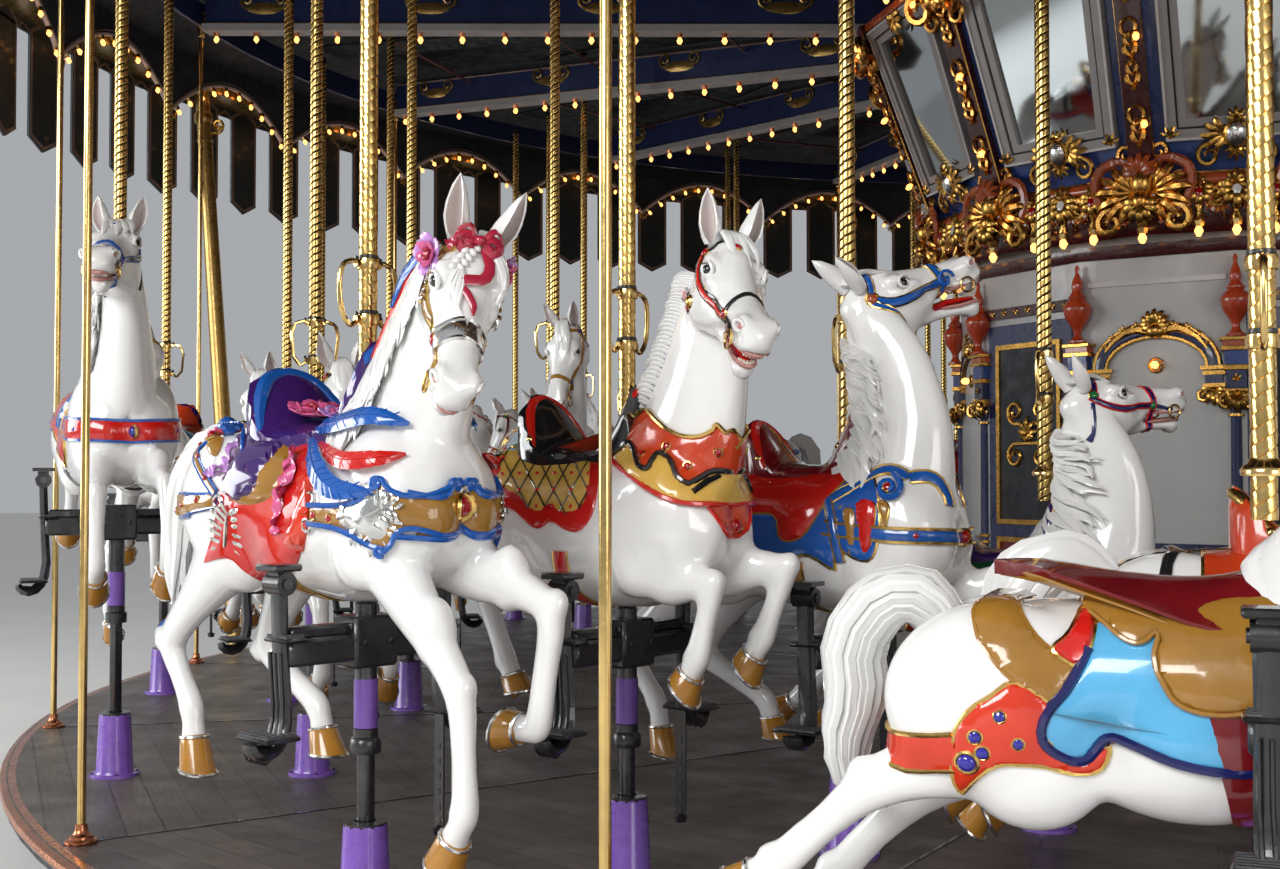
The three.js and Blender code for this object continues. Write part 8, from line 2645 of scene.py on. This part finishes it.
def hardware(hero=False, bar=0.0, seed=0):
    """Twisted pole, hand grips, footrests on their bracket, and the rod under the horse; z from the platform at mid stroke."""
    P = Piece()
    TOP, R = 4.925, 0.0302
    # twisted pole from inside the horse to its head
    if hero:
        lead, z0 = 0.105, 1.50
        ring = [(120 * q + o, g) for q in range(3) for o, g in ((0, 0.935), (4.5, 1.0), (41, 1.008), (79, 1.008), (115.5, 1.0))]
        sides = len(ring)
        n = int((TOP - z0) / (lead / 10)) + 1
        V, F, UV = [], [], []
        for i in range(n):
            z = z0 + i * lead / 10
            for o, g in ring:
                a = rad(o + 36 * i)
                V.append((R * g * math.cos(a), R * g * math.sin(a), z))
        for i in range(n - 1):
            for j in range(sides):
                # vertex j of ring i keeps its lobe, so faces follow the twist
                F.append((i * sides + j, i * sides + (j + 1) % sides, (i + 1) * sides + (j + 1) % sides, (i + 1) * sides + j))
        F.append(tuple((n - 1) * sides + j for j in range(sides)))
        P.add((V, F), "brass_twist")
    else:
        sides, zs = 12, np.linspace(1.50, TOP, 12)
        V = [(R * math.cos(2 * math.pi * j / sides), R * math.sin(2 * math.pi * j / sides), z) for z in zs for j in range(sides)]
        F, UV = [], []
        for i in range(len(zs) - 1):
            for j in range(sides):
                F.append((i * sides + j, i * sides + (j + 1) % sides, (i + 1) * sides + (j + 1) % sides, (i + 1) * sides + j))
                UV.append([(j / sides, zs[i]), ((j + 1) / sides, zs[i]), ((j + 1) / sides, zs[i + 1]), (j / sides, zs[i + 1])])
        F.append(tuple((len(zs) - 1) * sides + j for j in range(sides)))
        UV.append([(0, 0)] * sides)
        P.add((V, F), "rope_brass", uv=UV)
    P.add(lathe([(0.020, TOP - 0.05), (0.0335, TOP - 0.048), (0.0345, TOP - 0.03), (0.0335, TOP - 0.002), (0.024, TOP + 0.004), (0.0, TOP + 0.004)], 14), "steel_rod")
    P.add(lathe([(0.031, 1.60), (0.050, 1.60), (0.052, 1.612), (0.046, 1.622), (0.036, 1.628), (0.031, 1.640)], 16, close=True), "brass")
    # grips
    sg = 8 if hero else 6
    for y in (-1, 1):
        loop = [(0.0, y * 0.034, 2.085), (0.0, y * 0.060, 2.092), (0.0, y * 0.098, 2.075), (0.0, y * 0.112, 2.02), (0.0, y * 0.104, 1.93), (0.0, y * 0.075, 1.885), (0.0, y * 0.050, 1.892), (0.0, y * 0.034, 1.905)]
        P.add(sweep(spline(loop, 22 if hero else 14), 0.0085, None, sg, up=(1, 0, 0)), "brass")
        for z in (2.085, 1.905):
            P.add(sweep([(0, y * 0.026, z), (0, y * 0.050, z)], 0.013, None, 8, up=(1, 0, 0)), "brass")
            P.add(ball((0.0, y * 0.046, z + 0.016), 0.009, 6, 5), "black_iron")
    for z in (2.085, 1.905):
        P.add(lathe([(0.030, z - 0.018), (0.036, z - 0.016), (0.038, z), (0.036, z + 0.016), (0.030, z + 0.018)], 14, close=True), "brass")
        P.add(lathe([(0.030, z + 0.018), (0.034, z + 0.019), (0.034, z + 0.028), (0.030, z + 0.030)], 14, close=True), "black_iron")
    # rod, tube, collar
    P.add(lathe([(0.0, 0.062), (0.026, 0.062), (0.0295, 0.068), (0.0295, 0.55)], 14), "steel_rod")
    P.add(lathe([(0.0300, 0.510), (0.047, 0.512), (0.050, 0.519), (0.050, 0.553), (0.046, 0.560), (0.040, 0.565), (0.040, 0.590), (0.030, 0.594)], 16, close=True), "black_iron")
    P.add(lathe([(0.030, 0.592), (0.0385, 0.593), (0.0395, 0.600), (0.0395, 0.742), (0.0385, 0.750), (0.030, 0.751)], 18, close=True), "violet_tube")
    P.add(lathe([(0.0, 0.745), (0.036, 0.745), (0.036, 0.99), (0.0, 1.02)], 14), "steel_rod")
    b = bar
    # bracket on the rod
    P.add(box((-0.062, -0.085, 0.790 + b), (0.062, 0.085, 0.955 + b), 0.010), "black_iron")
    P.add(box((-0.050, -0.315, 0.815 + b), (0.050, 0.315, 0.900 + b), 0.012), "black_iron")
    P.add(box((-0.030, -0.300, 0.895 + b), (0.030, 0.300, 0.935 + b), 0.010), "black_iron")
    for y in (-1, 1):
        for x in (-0.036, 0.036):
            for z in (0.825, 0.925):
                P.add(ball((x, y * 0.088, z + b), (0.011, 0.006, 0.011), 6, 4), "steel_rod")
        for x in (-1, 1):
            P.add(ball((x * 0.064, y * 0.05, 0.872 + b), (0.006, 0.012, 0.012), 6, 4), "steel_rod")
    for y in (-1, 1):
        Y = lambda v: y * v
        # arm with its lever head
        arm = [(-0.005, Y(0.325), 1.075 + b), (-0.005, Y(0.322), 0.98 + b), (-0.005, Y(0.318), 0.86 + b), (-0.005, Y(0.312), 0.76 + b), (-0.003, Y(0.308), 0.69 + b), (0.0, Y(0.318), 0.62 + b), (0.0, Y(0.345), 0.575 + b), (0.0, Y(0.385), 0.560 + b), (0.0, Y(0.418), 0.572 + b), (0.0, Y(0.428), 0.592 + b)]
        arm = [(p[0], p[1], min(p[2], 9)) for p in arm]
        nn = 26 if hero else 14
        w = np.interp(np.linspace(0, 1, nn), [0, 0.2, 0.5, 0.75, 1], [0.036, 0.034, 0.040, 0.048, 0.038])
        dpt = np.interp(np.linspace(0, 1, nn), [0, 0.5, 0.8, 1], [0.020, 0.022, 0.026, 0.016])
        P.add(sweep(spline(arm, nn), w, dpt, 8 if hero else 6, side=(1, 0, 0)), "black_iron")
        if hero:
            for s in (-1, 0, 1):
                rib = [(p[0] + s * 0.026, p[1] + Y(0.020) if i < 5 else p[1], p[2] - (0.0 if i < 5 else 0.024)) for i, p in enumerate(arm[2:])]
                P.add(sweep(spline(rib, 20), 0.006, 0.008, 6, side=(1, 0, 0)), "black_iron")
        P.add(box((-0.062, min(Y(0.275), Y(0.375)), 1.108 + b), (0.052, max(Y(0.275), Y(0.375)), 1.130 + b), 0.006), "black_iron")
        P.add(sweep([(-0.045, Y(0.325), 1.070 + b), (0.040, Y(0.325), 1.070 + b)], 0.036, None, 14), "black_iron")
        P.add(sweep([(-0.052, Y(0.325), 1.070 + b), (0.047, Y(0.325), 1.070 + b)], 0.017, None, 10), "steel_rod")
        P.add(box((-0.034, min(Y(0.300), Y(0.350)), 1.06 + b), (0.030, max(Y(0.300), Y(0.350)), 1.112 + b), 0.004), "black_iron")
        # treads
        for lo, hi, z, wx in ((0.300, 0.425, 0.612, 0.088), (0.262, 0.345, 0.905, 0.062)):
            P.add(box((-wx, min(Y(lo), Y(hi)), z - 0.014 + b), (wx, max(Y(lo), Y(hi)), z + b), 0.006), "black_iron")
            P.add(box((-wx + 0.008, min(Y(lo), Y(hi)) + 0.008, z - 0.002 + b), (wx - 0.008, max(Y(lo), Y(hi)) - 0.008, z + 0.006 + b), 0.002), "tread_rubber")
            if hero:
                for i in range(5):
                    yy = Y(lo + (hi - lo) * (i + 0.7) / 5.4)
                    P.add(sweep([(-wx + 0.012, yy, z + 0.007 + b), (wx - 0.012, yy, z + 0.007 + b)], 0.004, 0.003, 4), "tread_rubber")
    # strap that hangs from the inner footrest
    P.add(box((-0.024, 0.300, 0.22 + b * 0.4), (0.024, 0.308, 0.60 + b), 0.002), "black_iron")
    for i in range(6):
        P.add(box((-0.008, 0.2985, 0.23 + 0.05 * i + b * 0.6), (0.008, 0.3095, 0.255 + 0.05 * i + b * 0.6), 0.001), "steel_rod")
    P.add(lathe([(0.0, 0.195 + b * 0.4), (0.020, 0.198 + b * 0.4), (0.024, 0.22 + b * 0.4), (0.0, 0.235 + b * 0.4)], 8, (0, 0.304)), "steel_rod")
    return P


# ---------------------------------------------------------------- the rest of the horses
def kind_of(k, row):
    if (k, row) == (1, 0):
        return "f"
    if (k, row) == (0, 1):
        return "d"
    return ["abac"[k % 4], "abcb"[k % 4], "aabb"[k // 2 % 4], "bcba"[k // 2 % 4]][row]


KIND = {"a": ("striding", 0.0, 0.0), "b": ("leaping", -0.2, 0.0), "c": ("leaping", 0.11, 0.11), "d": ("tucked", 0.0, 0.0), "f": ("leaping", -0.2, 0.2)}
PALETTES = [
    ("royal_blue", "gold_leaf", "scarlet", "yellow", "maroon", "ochre", "navy", "crimson", "ruby"),
    ("scarlet", "ochre", "sky_blue", "gold_leaf", "purple_seat", "royal_blue", "silver_leaf", "black_gloss", "sapphire"),
    ("green", "yellow", "ochre", "gold_leaf", "maroon", "vermilion", "gold_leaf", "maroon", "emerald"),
    ("violet", "silver_leaf", "pink", "gold_leaf", "navy", "ochre", "royal_blue", "royal_blue", "ruby"),
    ("maroon", "gold_leaf", "sky_blue", "navy", "orange_red", "navy", "gold_leaf", "ochre", "sapphire"),
    ("sky_blue", "navy", "ochre", "scarlet", "maroon", "scarlet", "silver_leaf", "black_gloss", "ruby"),
]
for i_, base_ in enumerate(PALETTES[0]):
    MATS["c%d" % i_] = MATS[base_].copy()
    MATS["c%d" % i_].name = "trim_%d" % i_

N_UP = [(0.16, 0, 1.42, 0.165, 0.27), (0.29, 0, 1.62, 0.135, 0.225), (0.38, 0, 1.80, 0.105, 0.19), (0.43, -0.005, 1.95, 0.088, 0.16), (0.455, -0.01, 2.06, 0.078, 0.13), (0.45, -0.01, 2.13, 0.07, 0.10)]
N_A16 = [(0.20, 0, 1.40, 0.175, 0.28), (0.33, 0, 1.57, 0.135, 0.235), (0.43, -0.01, 1.74, 0.108, 0.195), (0.495, -0.025, 1.89, 0.092, 0.165), (0.53, -0.04, 1.99, 0.082, 0.135), (0.54, -0.05, 2.05, 0.074, 0.105)]
N_D01 = [(0.17, 0, 1.40, 0.175, 0.28), (0.24, 0, 1.58, 0.14, 0.235), (0.27, -0.005, 1.76, 0.108, 0.195), (0.255, -0.02, 1.93, 0.090, 0.165), (0.215, -0.035, 2.06, 0.080, 0.135), (0.175, -0.05, 2.15, 0.072, 0.105)]
N_OUT = [(0.20, 0, 1.40, 0.175, 0.28), (0.34, 0, 1.57, 0.135, 0.235), (0.46, -0.01, 1.73, 0.105, 0.195), (0.54, -0.02, 1.87, 0.088, 0.165), (0.585, -0.03, 1.97, 0.078, 0.135), (0.59, -0.03, 2.03, 0.07, 0.10)]
GEN_TAIL = {
    "striding": [(-0.79, 0, 1.42), (-0.90, 0, 1.47), (-1.00, 0, 1.36), (-1.04, 0, 1.16), (-1.08, 0, 0.98), (-1.04, 0, 0.84)],
    "leaping": [(-0.76, 0, 1.41), (-0.88, 0, 1.47), (-0.99, 0, 1.40), (-1.06, 0, 1.26), (-1.13, 0, 1.16), (-1.20, 0, 1.12)],
    "tucked": [(-0.79, 0, 1.42), (-0.90, 0, 1.48), (-1.00, 0, 1.38), (-1.03, 0, 1.20), (-1.08, 0, 1.05), (-1.05, 0, 0.92)],
}


def generic(legs, style):
    heads = [dict(neck=N_OUT, poll=(0.60, -0.03, 2.05), pitch=62, yaw=-22), dict(neck=N_UP, poll=(0.455, -0.01, 2.145), pitch=46, yaw=-10, gape=0.045, tongue=True),
             dict(neck=NECK, poll=(0.525, -0.02, 2.12), pitch=66, yaw=-38), dict(neck=N_OUT, poll=(0.60, -0.02, 2.04), pitch=52, yaw=-12, gape=0.035, tongue=True)]
    h = Horse(legs, torso=LEAN if legs == "leaping" else TORSO, voxel=0.014, target=4600, fine=False, **heads[style])
    dress(h, style, ["c%d" % i for i in range(9)], fine=False)
    mane(h, 9, length=0.36, w=0.048, wave=0.018, t0=0.10, seed=style + 11, rings=7, sides=5, blow=(-0.03, -0.01, 0))
    tail(h, GEN_TAIL[legs], 7, 0.07, 0.05, 0.025, rings=9, sides=5, seed=style + 5)
    forelock(h, 3, 0.17, 0.026, seed=style)
    return h.P


def simple_hero(k, row, palette, style, voxel=0.012, target=14000, **kw):
    legs, lift, bar = KIND[kind_of(k, row)]
    h = Horse(legs, torso=LEAN if legs == "leaping" else TORSO, voxel=voxel, target=target, fine=True, **kw)
    dress(h, style, palette, fine=True)
    mane(h, 20, length=0.38, w=0.032, wave=0.018, t0=0.08, seed=style + 3, rings=10, blow=(-0.03, -0.02, 0))
    tail(h, GEN_TAIL[legs], 12, 0.075, 0.038, 0.022, seed=style + 2)
    forelock(h, 5, 0.19, 0.020, seed=style + 1)
    return h


HERO_TRIS = {(0, 0): 72000, (0, 1): 43000, (1, 0): 40000, (0, 2): 33000, (15, 0): 20000, (0, 3): 20000, (1, 1): 14000}


def herd():
    heroes = {}
    h, W = horse_one()
    h1_head(h, W)
    heroes[(0, 0)] = h
    heroes[(0, 1)] = horse_second()
    heroes[(0, 2)] = horse_third()
    heroes[(0, 3)] = simple_hero(0, 3, ("scarlet", "gold_leaf", "green", "gold_leaf", "purple_seat", "maroon", "scarlet", "navy", "emerald"), 0, 0.012, 11000, yaw=49, pitch=-4, roll=3, gape=0.03, neck=N_D01, poll=(0.155, -0.058, 2.208))
    heroes[(1, 0)] = horse_near_right()
    heroes[(1, 1)] = simple_hero(1, 1, ("orange_red", "gold_leaf", "scarlet", "gold_leaf", "orange_red", "scarlet", "gold_leaf", "black_gloss", "ruby"), 3, 0.014, 7000, yaw=-20)
    heroes[(15, 0)] = simple_hero(15, 0, ("scarlet", "gold_leaf", "royal_blue", "gold_leaf", "maroon", "scarlet", "royal_blue", "black_gloss", "sapphire"), 1, 0.012, 11000, yaw=-14, pitch=13, neck=N_A16, poll=(0.555, -0.052, 2.089), gape=0.02)
    shared = {}
    hard = {}
    for k in range(SECTIONS):
        for row in range(2 if k % 2 else 4):
            name = "abcd"[row] + "%02d" % (k + 1)
            legs, lift, bar = KIND[kind_of(k, row)]
            W, U = horse_place(k, row, lift)
            body = "ride_" + name
            if (k, row) in heroes:
                hp = heroes[(k, row)].P.thinned(HERO_TRIS[(k, row)])
                o = put(hp, "carved_horse_" + name, body, replaces=("horse_" + name,), matrix=W)
            else:
                style = (k + 2 * row + k // 4) % 4
                key = (legs, style % 3 if legs == "leaping" else style % 2 + 1)
                if key not in shared:
                    shared[key] = generic(*key).thinned(5900).mesh("horse_shape_%s_%d" % key, 60)
                me = shared[key]
                o = put(me, "carved_horse_" + name, body, replaces=("horse_" + name,), matrix=W)
                pal = PALETTES[(k * 5 + row * 2) % len(PALETTES)]
                for s, m in zip(o.material_slots, [m.name for m in me.materials]):
                    if m.startswith("trim_"):
                        s.link = "OBJECT"
                        s.material = MATS[pal[int(m[5:])]]
            fine = (k, row) in ((0, 0), (0, 1), (1, 0))
            hk = (bar, fine)
            if hk not in hard:
                hard[hk] = hardware(fine, bar).thinned(14200 if fine else 2100, ("brass_twist",)).mesh("pole_and_footrests_%d_%d" % (bar * 100, fine), 40)
            put(hard[hk], "pole_and_footrests_" + name, body, matrix=U)

# ---------------------------------------------------------------- floor, light and camera


def lamp(name, kind, loc, size, energy, look, colour=(1, 1, 1), size_y=None):
    d = bpy.data.lights.new(name, kind)
    d.energy = energy
    d.color = colour
    if kind == "AREA":
        d.shape = "RECTANGLE"
        d.size = size
        d.size_y = size_y or size
    o = bpy.data.objects.new(name, d)
    bpy.context.scene.collection.objects.link(o)
    o.location = loc
    o.rotation_euler = (Vector(look) - Vector(loc)).to_track_quat("-Z", "Y").to_euler()
    return o


def studio():
    m, nt, b = nodes_of("studio_floor")
    n = noise(nt, 1.2, 4)
    r = ramp(nt, n.outputs["Fac"], [(0.3, (0.70, 0.69, 0.67)), (0.7, (0.75, 0.74, 0.72))])
    link(nt, r.outputs["Color"], b.inputs["Base Color"])
    b.inputs["Roughness"].default_value = 0.75
    me = bpy.data.meshes.new("studio_floor")
    s = 60
    me.from_pydata([(-s, -s, 0), (s, -s, 0), (s, s, 0), (-s, s, 0)], [], [(0, 1, 2, 3)])
    me.materials.append(m)
    new_object("studio_floor", me)
    w = bpy.data.worlds.new("studio")
    bpy.context.scene.world = w
    w.use_nodes = True
    bg = w.node_tree.nodes["Background"]
    bg.inputs["Color"].default_value = (0.93, 0.96, 1.0, 1)
    bg.inputs["Strength"].default_value = 0.42
    lamp("key", "AREA", (-11.0, -16.0, 8.0), 8, 1500, (-2.5, -4.5, 1.6), (1.0, 0.99, 0.97), 5)
    lamp("fill", "AREA", (3.5, -15.5, 3.2), 6, 320, (0.5, -4.0, 1.4), (1.0, 0.98, 0.95), 4)
    lamp("side", "AREA", (-16.0, -2.0, 4.0), 8, 800, (-3.0, -3.0, 1.8), (0.95, 0.98, 1.0), 5)


def camera():
    c = bpy.data.cameras.new("camera")
    o = bpy.data.objects.new("camera", c)
    bpy.context.scene.collection.objects.link(o)
    o.location = (-3.835, -9.841, 1.76)
    o.rotation_euler = (rad(91.6), 0, 0)
    c.lens = 41.6
    c.sensor_width = 36
    c.clip_end = 300
    bpy.context.scene.camera = o
    bpy.context.scene.view_settings.view_transform = "Standard"
    bpy.context.scene.view_settings.look = "None"




for f in (platform, rim_poles, sweeps, lamp_board, valance, columns, roof, mast, casing, cornice, house):
    f()
herd()
studio()
camera()
